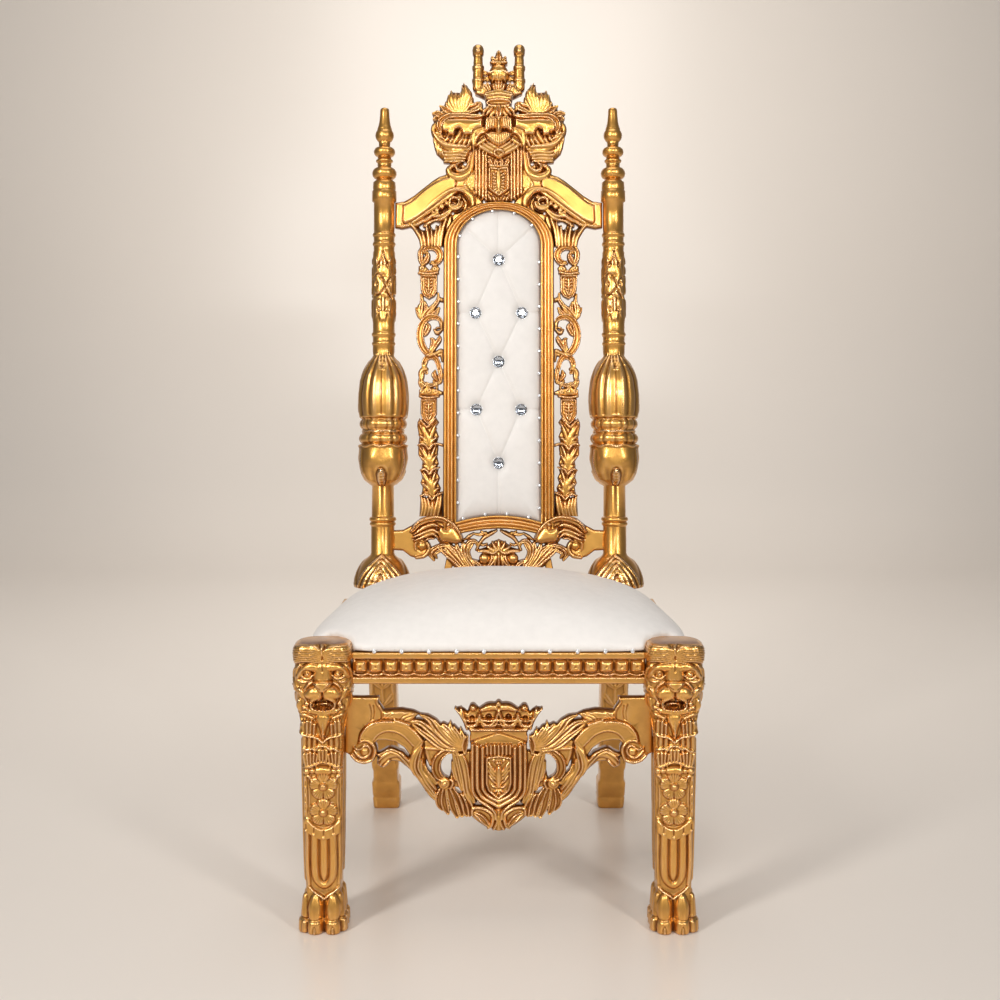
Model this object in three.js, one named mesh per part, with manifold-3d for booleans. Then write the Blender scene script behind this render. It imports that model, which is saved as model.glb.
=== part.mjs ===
// A carved and gilded throne chair with an upholstered seat and back.
// Units are millimetres, +Z up, the front faces -Y, and the origin is on the floor below the middle.
//
// Carved pieces are made in "face" coordinates: x to the right, y up the piece and z out towards
// the front. Each piece's group turns them upright, and the back's group also leans them back.

import * as THREE from 'three';
import Module from 'manifold-3d';

const wasm = await Module();
wasm.setup();

// ---------------------------------------------------------------- driving dimensions

const GAP = 0.3; // clearance between pieces that touch

const LEG_X = 308; // centre of a front leg, from the middle of the chair
const LEG_Y = -288; // depth of the front legs' centre line
const LEG_HALF = 36; // half width of a front leg's shank
const HEAD_HALF = 50; // half width of the lion head

const RAIL_TOP = 488; // top of the seat rails
const RAIL_BOTTOM = 432;
const RAIL_FRONT_Y = -300; // front face of the front rail
const RAIL_THICK = 30;
const BEAD_PITCH = 27; // spacing of the front rail's beads

const POST_X = 249; // axis of a back post, from the middle of the chair
const PIVOT_Y = 210; // where the post's axis crosses the seat
const PIVOT_Z = 500;
const LEAN = Math.atan(0.0956); // the back leans back by about 5.5 degrees
const POST_TOP = 1046; // height of the finial up the leaning post

const FRAME_HALF = 90; // half width of the arch frame's opening
const FRAME_WIDTH = 30; // width of the frame's moulding
const FRAME_SPRING = 744; // where its arch begins
const FRAME_CROWN = 821; // top of its opening
const FRET_TOP = 741; // where the fretwork meets the crest rail's leaves
const FRAME_SILL = 161; // middle of the opening's raised bottom edge

const APRON_Y = -275; // mid plane of the apron
const SEAT_CROWN = 590; // top of the domed cushion
const BUTTON_RADIUS = 12.3;
const PAD_DIMPLE = 13; // depth of the tufts, in front of the back's plane
const BUTTONS = [[0, 712], [50, 596.5], [-50, 596.5], [0, 490.5], [48, 387], [-48, 387], [0, 272]];

// ---------------------------------------------------------------- materials

const GOLD = { color: 0xc08a3a, roughness: 0.35, metalness: 0.8 };
const LEATHER = { color: 0xece6de, roughness: 0.5, metalness: 0 };
const CRYSTAL = { color: 0xf4f6fa, roughness: 0.05, metalness: 0 };
const PANEL = { color: 0xd8d0c4, roughness: 0.7, metalness: 0 };

// ---------------------------------------------------------------- solids

const degrees = THREE.MathUtils.degToRad;

// Triangles that fill a ring of points, wound the way the ring runs. The ring is seen along the
// axis that it faces most.
function fillRing(ring) {
  const facing = [0, 1, 2].map((axis) => {
    const [a, b] = [(axis + 1) % 3, (axis + 2) % 3];
    return Math.abs(ring.reduce((sum, point, i) => {
      const next = ring[(i + 1) % ring.length];
      return sum + point[a] * next[b] - next[a] * point[b];
    }, 0));
  });
  const seen = facing.indexOf(Math.max(...facing));
  const [a, b] = [(seen + 1) % 3, (seen + 2) % 3];
  const contour = ring.map((point) => new THREE.Vector2(point[a], point[b]));
  const forward = THREE.ShapeUtils.area(contour) > 0;
  return THREE.ShapeUtils.triangulateShape(contour, []).map(([i, j, k]) => {
    const turned = THREE.ShapeUtils.area([contour[i], contour[j], contour[k]]) > 0;
    return turned === forward ? [i, j, k] : [i, k, j];
  });
}

// A closed solid from a list of triangles of [x, y, z] corners. Equal corners are merged, triangles
// with no area are left out, and the faces are turned to point out.
function solidFrom(triangles) {
  const corners = [];
  const places = new Map();
  const place = (point) => {
    const key = point.map((value) => Math.round(value * 1e4)).join();
    if (!places.has(key)) {
      places.set(key, places.size);
      corners.push(...point);
    }
    return places.get(key);
  };
  const faces = triangles.map((triangle) => triangle.map(place));
  const whole = faces.filter(([i, j, k]) => i !== j && j !== k && k !== i);
  const at = (index) => new THREE.Vector3(...corners.slice(3 * index, 3 * index + 3));
  const volume = whole.reduce((sum, [i, j, k]) => sum + at(i).dot(at(j).cross(at(k))), 0);
  const outward = volume > 0 ? whole : whole.map(([i, j, k]) => [i, k, j]);
  return new wasm.Manifold(new wasm.Mesh({
    numProp: 3,
    vertProperties: new Float32Array(corners),
    triVerts: new Uint32Array(outward.flat()),
  }));
}

// A solid through rings of equally many points. A ring may shrink to an edge or a point.
function loft(rings, closed = false) {
  const triangles = [];
  const steps = closed ? rings.length : rings.length - 1;
  for (let step = 0; step < steps; step += 1) {
    const near = rings[step];
    const far = rings[(step + 1) % rings.length];
    near.forEach((point, i) => {
      const j = (i + 1) % near.length;
      triangles.push([point, near[j], far[j]], [point, far[j], far[i]]);
    });
  }
  if (!closed) {
    const [first, last] = [rings[0], rings[rings.length - 1]];
    triangles.push(...fillRing(first).map(([i, j, k]) => [first[i], first[k], first[j]]));
    triangles.push(...fillRing(last).map(([i, j, k]) => [last[i], last[j], last[k]]));
  }
  return solidFrom(triangles);
}

// The triangles of a three.js geometry as a solid.
function solidOf(geometry) {
  const flat = geometry.index ? geometry.toNonIndexed() : geometry;
  const { array } = flat.attributes.position;
  const triangles = [];
  for (let start = 0; start < array.length; start += 9) {
    triangles.push([0, 3, 6].map((offset) => [...array.slice(start + offset, start + offset + 3)]));
  }
  return solidFrom(triangles);
}

function mesh(name, solid, look) {
  const { vertProperties, triVerts } = solid.getMesh();
  const geometry = new THREE.BufferGeometry();
  geometry.setAttribute('position', new THREE.BufferAttribute(vertProperties, 3));
  geometry.setIndex(new THREE.BufferAttribute(triVerts, 1));
  geometry.computeVertexNormals();
  const made = new THREE.Mesh(geometry, new THREE.MeshStandardMaterial(look));
  made.name = name;
  return made;
}

const joined = (solids) => solids.reduce((whole, solid) => whole.add(solid));

// A copy of a solid, moved, turned or mirrored by a matrix.
function moved(solid, matrix) {
  const { vertProperties, triVerts } = solid.getMesh();
  const corner = (index) => (
    new THREE.Vector3().fromArray(vertProperties, 3 * index).applyMatrix4(matrix).toArray()
  );
  const triangles = [];
  for (let first = 0; first < triVerts.length; first += 3) {
    triangles.push([...triVerts.slice(first, first + 3)].map(corner));
  }
  return solidFrom(triangles);
}

const mirrored = (solid) => moved(solid, new THREE.Matrix4().makeScale(-1, 1, 1));

const bothSides = (solids) => solids.flatMap((solid) => [solid, mirrored(solid)]);

// ---------------------------------------------------------------- carving tools

const BACK = -9; // flat back of a carved strip
const LOW = 2; // height of a notch or an outer edge
const HIGH = 7; // height of a leaf's tip
const RIDGE = 9; // height of a rib

const polar = ([x, y], angle, reach) => [
  x + reach * Math.cos(degrees(angle)),
  y + reach * Math.sin(degrees(angle)),
];

// A strand of carving along stations [x, y, half width]: flat behind and raised to a ridge along its
// middle. A half width of 0 makes a pointed end.
function strand(stations, { back = BACK, ridge = RIDGE } = {}) {
  return loft(stations.map(([x, y, half], i) => {
    const [ax, ay] = stations[Math.max(i - 1, 0)];
    const [bx, by] = stations[Math.min(i + 1, stations.length - 1)];
    const run = Math.hypot(bx - ax, by - ay);
    const across = (side, z) => [
      x + side * half * (by - ay) / run,
      y - side * half * (bx - ax) / run,
      z,
    ];
    return [across(-1, back), across(0, half ? ridge : back), across(1, back)];
  }));
}

// A pleated carving: folds run from `apex` to an outline whose corners are notches and tips in turn.
function pleated(apex, outline, { back = BACK, low = LOW, high = HIGH, top = RIDGE } = {}) {
  const rim = outline.map(([x, y], i) => [x, y, i % 2 ? high : low]);
  const sole = outline.map(([x, y]) => [x, y, back]);
  return loft([sole, rim, rim.map(() => [...apex, top])]);
}

// A fan of leaves from a root of some half width, to tips at [angle, length], counter-clockwise.
function fan(root, half, tips, { notch = 0.78, ...depth } = {}) {
  const outline = [polar(root, tips[0][0] - 90, half)];
  tips.forEach(([angle, length], i) => {
    outline.push(polar(root, angle, length));
    const [nextAngle, nextLength] = tips[i + 1] ?? [];
    if (nextAngle !== undefined) {
      outline.push(polar(root, (angle + nextAngle) / 2, notch * (length + nextLength) / 2));
    }
  });
  outline.push(polar(root, tips[tips.length - 1][0] + 90, half));
  return pleated(root, outline, depth);
}

// Tips of a regular fan between two angles, all of one length.
const evenTips = (count, first, last, length) => Array.from({ length: count }, (_, i) => (
  [first + (last - first) * i / (count - 1), length]
));

// A volute: a strand that winds `sweep` degrees from `start` while its radius shrinks.
function volute(centre, [outer, inner], start, sweep, half, depth = {}) {
  const steps = Math.ceil(Math.abs(sweep) / 60);
  const stations = Array.from({ length: steps + 1 }, (_, i) => {
    const share = i / steps;
    const place = polar(centre, start + sweep * share, THREE.MathUtils.lerp(outer, inner, share));
    return [...place, half * (1 - 0.4 * share)];
  });
  return strand(stations, depth);
}

// A round button, narrower at its front.
function boss(centre, radius, { back = BACK, top = RIDGE, sides = 6, taper = 0.55 } = {}) {
  const ring = (reach, z) => (
    Array.from({ length: sides }, (_, i) => [...polar(centre, 360 * i / sides, reach), z])
  );
  return loft([ring(radius, back), ring(taper * radius, top)]);
}

// The outline of an upright rectangle between two opposite corners.
const box = ([left, low], [right, high]) => [[left, low], [right, low], [right, high], [left, high]];

// A flat board with the outline given, pierced by the outlines in `holes`.
function board(outline, back, front, holes = []) {
  const shape = new THREE.Shape(outline.map(([x, y]) => new THREE.Vector2(x, y)));
  const geometry = new THREE.ExtrudeGeometry(shape, { depth: front - back, bevelEnabled: false });
  const whole = solidOf(geometry.translate(0, 0, back));
  return holes.reduce((solid, hole) => solid.subtract(board(hole, back - 1, front + 1)), whole);
}

// A raised plate whose front is smaller than its outline by `share` of its size.
function plate(outline, { back = BACK, top = RIDGE, share = 0.25 } = {}) {
  const mean = (axis) => outline.reduce((sum, point) => sum + point[axis], 0) / outline.length;
  const middle = [mean(0), mean(1)];
  const ring = (scale, z) => outline.map(([x, y]) => [
    middle[0] + scale * (x - middle[0]),
    middle[1] + scale * (y - middle[1]),
    z,
  ]);
  return loft([ring(1, back), ring(1 - share, top)]);
}

// The outline of one half, with its points from top to bottom, and its mirror image.
const symmetric = (half) => [
  ...half,
  ...half.filter(([x]) => x !== 0).map(([x, y]) => [-x, y]).reverse(),
];

// A shield with a flat top and a pointed foot.
const shieldOutline = ([x, top], half, height) => [
  [x + half, top],
  [x + half, top - 0.68 * height],
  [x, top - height],
  [x - half, top - 0.68 * height],
  [x - half, top],
];

// A bird with spread wings, for the field of a shield.
function spreadBird([x, y], half, depth) {
  const reach = (across, up) => [x + across * half, y + up * half];
  const wing = [[0.25, 0.9], [0.9, 1.1], [0.7, 0.2], [0.8, -0.7], [0.25, -0.5]];
  const otherWing = wing.map(([across, up]) => [-across, up]).reverse();
  const outline = [...wing, [0, -1.5], ...otherWing, [0, 1.3]];
  return pleated([x, y], outline.map(([across, up]) => reach(across, up)), depth);
}

// A turned column about the Y axis from [radius, height, fluting] levels. Fluting draws in every
// second side, and a negative one draws in the others.
function turned(levels, sides = 12) {
  return loft(levels.map(([radius, y, fluting = 0]) => Array.from({ length: sides }, (_, i) => {
    const turn = degrees(360 * (i + 0.5) / sides);
    const drawn = (i % 2 === 0) === (fluting > 0) ? radius * (1 - Math.abs(fluting)) : radius;
    return [drawn * Math.cos(turn), y, drawn * Math.sin(turn)];
  })));
}

// A square timber with cut corners through [height, half width, front, back] levels.
function timber(levels, cut = 7) {
  return loft(levels.map(([y, half, front, back]) => [
    [half - cut, y, front],
    [half, y, front - cut],
    [half, y, back],
    [-half, y, back],
    [-half, y, front - cut],
    [cut - half, y, front],
  ]));
}

// A rounded lump that stands out of a front face, with half sizes [a, b] and its rise.
function lump([x, y, z], [a, b], rise) {
  const ring = (share, height) => Array.from({ length: 6 }, (_, i) => {
    const turn = degrees(60 * i + 30);
    return [x + a * share * Math.cos(turn), y + b * share * Math.sin(turn), z + height];
  });
  return loft([ring(1.05, -rise), ring(0.55, rise)]);
}

// ---------------------------------------------------------------- front legs

// [height, half width, front, back] of the leg, from the sole up to the top of the mane.
const LEG_LEVELS = [
  [0, 36, 38, -35],
  [22, 37, 40, -36],
  [62, 30, 31, -31],
  [78, 29, 30, -30],
  [285, LEG_HALF, 35, -LEG_HALF],
  [338, LEG_HALF, 36, -LEG_HALF],
  [392, 44, 34, -41],
  [404, 47, 32, -43],
  [440, HEAD_HALF, 35, -43],
  [474, HEAD_HALF, 37, -43],
  [479, 46, 36, -41],
  [487, HEAD_HALF, 39, -43],
  [492, 46, 37, -42],
  [500, HEAD_HALF - 1, 38, -42],
  [508, 41, 31, -35],
];

function lionFace() {
  const deep = { back: 25, ridge: 43 };
  const parts = [
    strand([[0, 472, 13], [0, 446, 12], [0, 428, 4]], { back: 25, ridge: 52 }),
    lump([0, 396, 30], [28, 12], 14),
    strand([[0, 396, 16], [0, 350, 0]], { back: 20, ridge: 46 }),
    strand([[0, 507, 8], [0, 480, 0]], { back: 20, ridge: 44 }),
    ...bothSides([
      boss([26, 456], 6, { back: 25, top: 42, sides: 5 }),
      strand([[6, 465, 5], [44, 464, 5]], deep),
      lump([17, 424, 34], [18, 14], 15),
      strand([[42, 444, 8], [34, 400, 4]], deep),
    ]),
  ];
  const mouth = board([[17, 401], [13, 411], [-13, 411], [-17, 401]], 36, 70);
  return joined(parts).subtract(mouth);
}

// Two collars of locks, a row of reeded leaves and a string of beads round the top of the shank.
function collars() {
  const depth = { back: 20, low: 36, high: 39, top: 41, notch: 0.88 };
  return [
    fan([0, 384], 16, [[-136, 52], [-114, 46], [-90, 54], [-66, 46], [-44, 52]], depth),
    fan(
      [0, 392],
      18,
      [[-152, 45], [-122, 40], [-90, 50], [-58, 40], [-28, 45]],
      { ...depth, low: 40, high: 42, top: 42 },
    ),
    fan([0, 286], 26, evenTips(5, 48, 132, 50), depth),
    lump([0, 290, 34], [18, 9], 8),
  ];
}

function rosette(centre, radius) {
  const petals = Array.from({ length: 10 }, (_, i) => (
    polar(centre, 90 + 36 * i, i % 2 ? radius : 0.72 * radius)
  ));
  return pleated(centre, petals, { back: 25, low: 37, high: 40, top: 44 });
}

function shank() {
  const scallops = [[-150, 38], [-120, 40], [-90, 44], [-60, 40], [-30, 38]];
  const skirt = fan([0, 206], 20, scallops, { back: 20, low: 37, high: 38, top: 38, notch: 0.85 });
  const groove = { back: 20, ridge: 39 };
  return [
    rosette([0, 261], 25),
    rosette([0, 213], 25),
    skirt,
    strand(
      [[-22, 176, 5], [-22, 106, 5], [-12, 82, 5], [12, 82, 5], [22, 106, 5], [22, 176, 5]],
      groove,
    ),
    strand([[0, 176, 9], [0, 106, 9], [0, 88, 0]], groove),
  ];
}

function paw() {
  return bothSides([
    lump([14, 32, 26], [15, 26], 16),
    lump([33, 26, 22], [9, 22], 14),
  ]);
}

function frontLeg() {
  const ground = board(box([-60, -40], [60, 0]), -80, 80);
  return joined([timber(LEG_LEVELS), lionFace(), ...collars(), ...shank(), ...paw()]).subtract(ground);
}

// ---------------------------------------------------------------- back posts with rear legs

// [radius, height, fluting] of the turned post, up its leaning axis.
const POST_LEVELS = [
  [59, 10, 0.16], [42, 62, 0.08], [26, 76], [25, 138], [28, 147], [24, 156], [23.5, 222],
  [42, 236, 0.06], [51, 272, 0.05], [51, 345, 0.06], [46, 371], [52, 395, 0.14], [49, 449, 0.12],
  [42, 471, 0.1], [23, 503], [24, 575], [27, 588, -0.1], [27, 655, 0.13], [26, 724, -0.1], [22.5, 745],
  [22.5, 838], [26, 850], [20, 884], [25, 903], [17, 924], [22, 950], [12, 966], [18.5, 987],
  [8.5, 1014], [4, POST_TOP],
];

// [height, half width, front, back] of the rear leg, raked back to its foot. The feet carry small
// square blocks with a waist above them.
const REAR_LEG_LEVELS = [
  [0, 28, -280, -340], [25, 31, -276, -337], [62, 31, -262, -324],
  [67, 27, -260, -320], [96, 27, -252, -310], [104, 30, -248, -308], [300, 30, -194, -258],
  [RAIL_BOTTOM, 30, -180, -241], [511, 30, -180, -241],
];

function rearPost() {
  const lean = new THREE.Matrix4().makeRotationX(-LEAN);
  const rise = new THREE.Matrix4().makeTranslation(0, PIVOT_Z, -PIVOT_Y).multiply(lean);
  return timber(REAR_LEG_LEVELS, 3).add(moved(turned(POST_LEVELS, 10), rise));
}

// ---------------------------------------------------------------- seat rails

function frontRail() {
  const half = LEG_X - HEAD_HALF - 1;
  const strip = (low, high, back, front) => board(box([-half, low], [half, high]), back, front);
  const middle = 462;
  const reach = 0.4 * BEAD_PITCH;
  const count = 2 * Math.floor(half / BEAD_PITCH) - 1;
  const beads = Array.from({ length: count }, (_, i) => {
    const x = (i - (count - 1) / 2) * BEAD_PITCH;
    return plate(box([x - reach, middle - reach], [x + reach, middle + reach]), {
      back: -8, top: 2, share: 0.45,
    });
  });
  return joined([
    strip(RAIL_BOTTOM, RAIL_TOP, -RAIL_THICK, -6),
    strip(RAIL_BOTTOM, 449, -8, 0),
    strip(476, RAIL_TOP, -8, 0),
    ...beads,
  ]);
}

// A side rail runs from the front leg to the rear post, narrowing the seat towards the back.
function sideRail() {
  const front = -(LEG_Y + 44.5);
  const rear = -(PIVOT_Y - 31);
  const plan = [[328, front], [293, front], [258, rear], [292, rear]];
  const ring = (height) => plan.map(([x, z]) => [x, height, z]);
  return loft([ring(RAIL_BOTTOM), ring(RAIL_TOP)]);
}

function rearRail() {
  const half = POST_X - 30 - GAP;
  return board(box([-half, RAIL_BOTTOM], [half, RAIL_TOP]), -226, -196);
}

// ---------------------------------------------------------------- apron between the front legs

function apronShield() {
  const flute = { back: 0, ridge: 10 };
  return [
    board(symmetric([[49, 338], [49, 252], [39, 227], [0, 197]]), BACK, 5),
    ...[331, 322].map((y) => strand([[-52, y, 4], [52, y, 4]], { back: 0, ridge: 11 })),
    ...bothSides([
      strand([[38, 316, 7], [38, 250, 7], [6, 212, 5]], flute),
      strand([[10, 316, 6], [10, 300, 6]], flute),
    ]),
    plate(shieldOutline([0, 298], 22, 78), { back: 0, top: 9, share: 0.15 }),
    spreadBird([0, 264], 15, { back: 5, low: 9, high: 11, top: 14 }),
  ];
}

function apronCrown() {
  const outline = symmetric([
    [0, 397], [27, 393], [33, 385], [45, 393], [57, 384], [77, 386], [67, 372], [54, 336],
  ]);
  const roundHole = (x) => Array.from({ length: 5 }, (_, i) => polar([x, 370], 72 * i + 18, 5));
  const pointHole = (x) => [[x + 7, 350], [x, 361], [x - 7, 350]];
  return [
    board(outline, BACK, 5, [...[-17, 17].map(roundHole), ...[-33, 0, 33].map(pointHole)]),
    ...bothSides([
      strand([[4, 386, 4], [31, 382, 4]], { back: 0, ridge: 11 }),
      boss([47, 386], 6, { back: 0, top: 12, sides: 4 }),
    ]),
  ];
}

function apronSide() {
  return [
    board([
      [260, 405], [213, 405], [205, 381], [205, 352], [243, 329], [256, 292], [271.4, 303],
      [271.4, 337], [263.2, 392],
    ], BACK, 4),
    volute([238, 309], [17, 6], 150, 240, 7),
    strand([[238, 322, 9], [193, 345, 15], [165, 334, 17], [145, 311, 18]], { ridge: 8 }),
    strand([[208, 370, 12], [139, 374, 0]]),
    fan([72, 303], 10, [[26, 84], [50, 86], [76, 59], [112, 37]]),
    strand([[216, 286, 8], [194, 302, 8], [150, 262, 5]]),
    strand([[148, 312, 14], [130, 262, 16], [110, 220, 0]]),
    strand([[66, 300, 5], [94, 308, 6], [115, 290, 7], [113, 264, 7], [99, 250, 5]]),
    boss([97, 249], 13, { top: 13 }),
    fan([92, 246], 12, [[-128, 66], [-108, 62], [-88, 52], [-68, 42]], { notch: 0.85 }),
    strand([[60, 330, 10], [66, 262, 17], [50, 192, 5]]),
    strand([[50, 198, 4], [32, 186, 10], [8, 172, 5]]),
  ];
}

function frontApron() {
  const stem = strand([[0, 214, 7], [0, 190, 6], [0, 167, 14]]);
  return joined([...bothSides(apronSide()), ...apronShield(), ...apronCrown(), stem]);
}

// ---------------------------------------------------------------- arch frame, pad and buttons

// The frame's outline at `offset` outside its opening: an arch above, a raised curve below.
function archOutline(offset) {
  const half = FRAME_HALF + offset;
  const rise = FRAME_CROWN - FRAME_SPRING + 0.6 * offset;
  const arch = Array.from({ length: 9 }, (_, i) => [
    half * Math.cos(Math.PI * i / 8),
    FRAME_SPRING + rise * Math.sin(Math.PI * i / 8),
  ]);
  const drop = 14 + 0.3 * offset;
  const sill = [-1, -0.5, 0, 0.5, 1].map((share) => [
    share * half,
    FRAME_SILL - offset - drop * share * share,
  ]);
  return [...arch, ...sill];
}

function archFrame() {
  // [offset, height] round the moulding's section: flat behind, three ridges in front.
  const section = [
    [GAP, -14], [GAP, 8], [5, 15], [9, 9], [14, 18], [19, 12], [24, 15], [FRAME_WIDTH, 4],
    [FRAME_WIDTH, -14],
  ];
  return loft(section.map(([offset, z]) => archOutline(offset).map(([x, y]) => [x, y, z])), true);
}

// A six-sided ring about a button's centre.
const buttonRing = (centre, radius, z) => (
  Array.from({ length: 6 }, (_, i) => [...polar(centre, 60 * i, radius), z])
);

function backPad() {
  const levels = [[-GAP, -8], [-GAP, 8], [-8, 20], [-26, 27]];
  const pillow = loft(levels.map(([offset, z]) => archOutline(offset).map(([x, y]) => [x, y, z])));
  const dimples = BUTTONS.map((centre) => loft([
    buttonRing(centre, 14, PAD_DIMPLE),
    buttonRing(centre, 29, PAD_DIMPLE + 15),
  ]));
  return dimples.reduce((pad, dimple) => pad.subtract(dimple), pillow);
}

function backPanel() {
  return board(archOutline(-GAP), -13, -8 - GAP);
}

function crystalButton(centre) {
  return loft([
    buttonRing(centre, 0.5 * BUTTON_RADIUS, PAD_DIMPLE + GAP),
    buttonRing(centre, BUTTON_RADIUS, PAD_DIMPLE + 6),
    buttonRing(centre, 0.55 * BUTTON_RADIUS, PAD_DIMPLE + 11),
  ]);
}

// ---------------------------------------------------------------- crest rail

function crestArm() {
  const upper = [[225.4, 838], [205, 841], [163, 871], [130, 895], [112, 901], [60, 905]];
  const lower = [[60, 866], [90, 859], [142, 819], [174, 797], [192, 784], [225.4, 783]];
  const panel = [
    [207, 832], [188, 842], [146, 877], [100, 893], [100, 864], [142, 830], [172, 808], [207, 794],
  ];
  return [board([...upper, ...lower], -12, 5), board(panel, 0, 9)];
}

// Leaves and beads in the pierced corner between an arm and the arch frame.
function crestCorner() {
  return [
    strand([[178, 790, 5], [141, 811, 5], [86, 850, 5]]),
    fan([150, 742], 19, [[43, 40], [68, 42], [91, 66], [114, 48]]),
    strand([[124, 772, 9], [132, 798, 9], [104, 832, 0]]),
    boss([94, 840], 12, { top: 12 }),
  ];
}

// Mantling: a smooth rolled panel at each side with feathered leaves over and under it.
function crestMantling() {
  const leafy = { back: -10, low: 4, high: 8, top: 12 };
  return [
    board([[36, 1028], [120, 1024], [136, 985], [110, 950], [60, 945]], -10, 4),
    plate(
      [[42, 1026], [105, 1029], [128, 1010], [127, 992], [112, 979], [63, 979], [36, 1000]],
      { back: 0, top: 17, share: 0.2 },
    ),
    fan([92, 1024], 26, [[12, 54], [44, 44], [74, 56], [101, 74], [128, 46]], leafy),
    strand([[138, 1016, 6], [139, 985, 7], [126, 944, 5]], { back: -10 }),
    fan([56, 957], 10, [[-44, 42], [-30, 70], [-8, 84], [12, 82]], leafy),
  ];
}

// The chest: bib of feathers, scarf, fluted panel with its small crowned shield, and big volutes.
function crestMiddle() {
  const feathers = { back: 0, low: 10, high: 15, top: 20, notch: 0.85 };
  return [
    board(symmetric([[28, 1050], [38, 1020], [38, 985], [0, 946]]), -12, 9),
    fan([0, 1012], 24, [[-146, 38], [-118, 42], [-90, 44], [-62, 42], [-34, 38]], feathers),
    strand([[0, 1046, 10], [0, 1012, 0]], { back: 0, ridge: 22 }),
    ...bothSides([strand([[54, 958, 10], [2, 934, 11]], { back: 0, ridge: 17 })]),
    board(symmetric([[52, 968], [50, 857], [0, 839.7]]), -12, 7),
    ...bothSides([strand([[40, 938, 8], [40, 860, 8]], { back: 0, ridge: 13 })]),
    plate(shieldOutline([0, 915], 23, 66), { back: 0, top: 15, share: 0.15 }),
    spreadBird([0, 888], 15, { back: 10, low: 15, high: 17, top: 20 }),
    fan([0, 908], 22, [[38, 30], [90, 28], [142, 30]], { ...feathers, top: 15, notch: 0.6 }),
    ...bothSides([
      boss([80, 911], 33, { back: -12, top: 6, sides: 7, taper: 0.85 }),
      volute([80, 911], [23, 9], 60, 300, 7, { back: 0, ridge: 14 }),
    ]),
  ];
}

// Crown, helm with its plume, and two turned spindles tied to the helm.
function crestCrown() {
  const leafy = { back: -10, low: 6, high: 11, top: 13 };
  const spindleLevels = [[8, 1066], [11, 1084], [12.5, 1115], [10, 1163], [12.5, 1173], [7, 1187]];
  return [
    strand([[-31, 1058, 14], [31, 1058, 14]], { back: -10, ridge: 18 }),
    fan([0, 1066], 28, [[14, 55], [42, 46], [90, 40], [138, 46], [166, 55]], leafy),
    plate(
      symmetric([[0, 1144], [14, 1140], [24, 1117], [15, 1098]]),
      { back: -10, top: 15, share: 0.4 },
    ),
    fan([0, 1144], 12, [[52, 20], [90, 30], [128, 20]], { ...leafy, notch: 0.9 }),
    ...bothSides([
      moved(turned(spindleLevels, 6), new THREE.Matrix4().makeTranslation(45, 0, 0)),
      strand([[18, 1120, 10], [42, 1118, 7]], { back: -6 }),
    ]),
  ];
}

// Keeps a carved piece clear of the arch frame that it meets.
const clearOfFrame = (solid) => solid.subtract(board(archOutline(FRAME_WIDTH + GAP), -60, 60));

// Cuts away what lies between two heights, where a piece meets the next one up or down.
const cutBetween = (solid, low, high) => solid.subtract(board(box([-300, low], [300, high]), -60, 60));

function crestRail() {
  const sides = bothSides([...crestArm(), ...crestCorner(), ...crestMantling()]);
  const carving = joined([...sides, ...crestMiddle(), ...crestCrown()]);
  return cutBetween(clearOfFrame(carving), 600, FRET_TOP + GAP);
}

// ---------------------------------------------------------------- fretwork beside the frame

// A crowned shield, hung below `top`.
function fretShield(top, height) {
  return [
    fan([151, top - 2], 18, [[38, 25], [90, 20], [142, 25]], { notch: 0.7 }),
    plate(shieldOutline([151, top], 18, height), { share: 0.3 }),
  ];
}

// A tier of the lowest leaf: three folds that open upwards from the root.
const leafTier = (root, tip) => fan([149, root], 9, [
  [66, tip - root],
  [90, 0.85 * (tip - root)],
  [111, tip - root],
], { notch: 0.8 });

function fretwork() {
  const scrolls = [
    strand([[167, 737, 7], [165, 694, 6]]),
    strand([[164, 728, 6], [146, 737, 7], [127, 720, 7], [134, 696, 5]]),
    fan([160, 584], 9, [[50, 30], [84, 50], [128, 60], [152, 38]]),
    strand([[120, 552, 4], [128, 574, 6], [158, 578, 6], [170, 545, 6], [148, 503, 8]]),
    fan([147, 508], 7, [[84, 40], [108, 50], [128, 36]]),
    strand([[120, 508, 4], [148, 499, 8], [162, 480, 8], [157, 466, 0]]),
    strand([[139, 500, 6], [127, 465, 7], [134, 430, 6]]),
    fan([158, 430], 8, [[62, 26], [78, 46], [100, 40]]),
  ];
  const shields = [...fretShield(682, 62), ...fretShield(417, 68)];
  const tiers = [leafTier(300, 362), leafTier(246, 308), leafTier(186, 258)];
  const base = board([[168, 163.4], [166, 202], [144, 192], [123, 206], [123, 163.4]], BACK, 5);
  const ties = [630, 306, 424].map((y) => board(box([120, y - 5], [140, y + 5]), BACK, 2));
  return cutBetween(clearOfFrame(joined([...scrolls, ...shields, ...tiers, base, ...ties])), FRET_TOP, 900);
}

// ---------------------------------------------------------------- lower back rail

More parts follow.
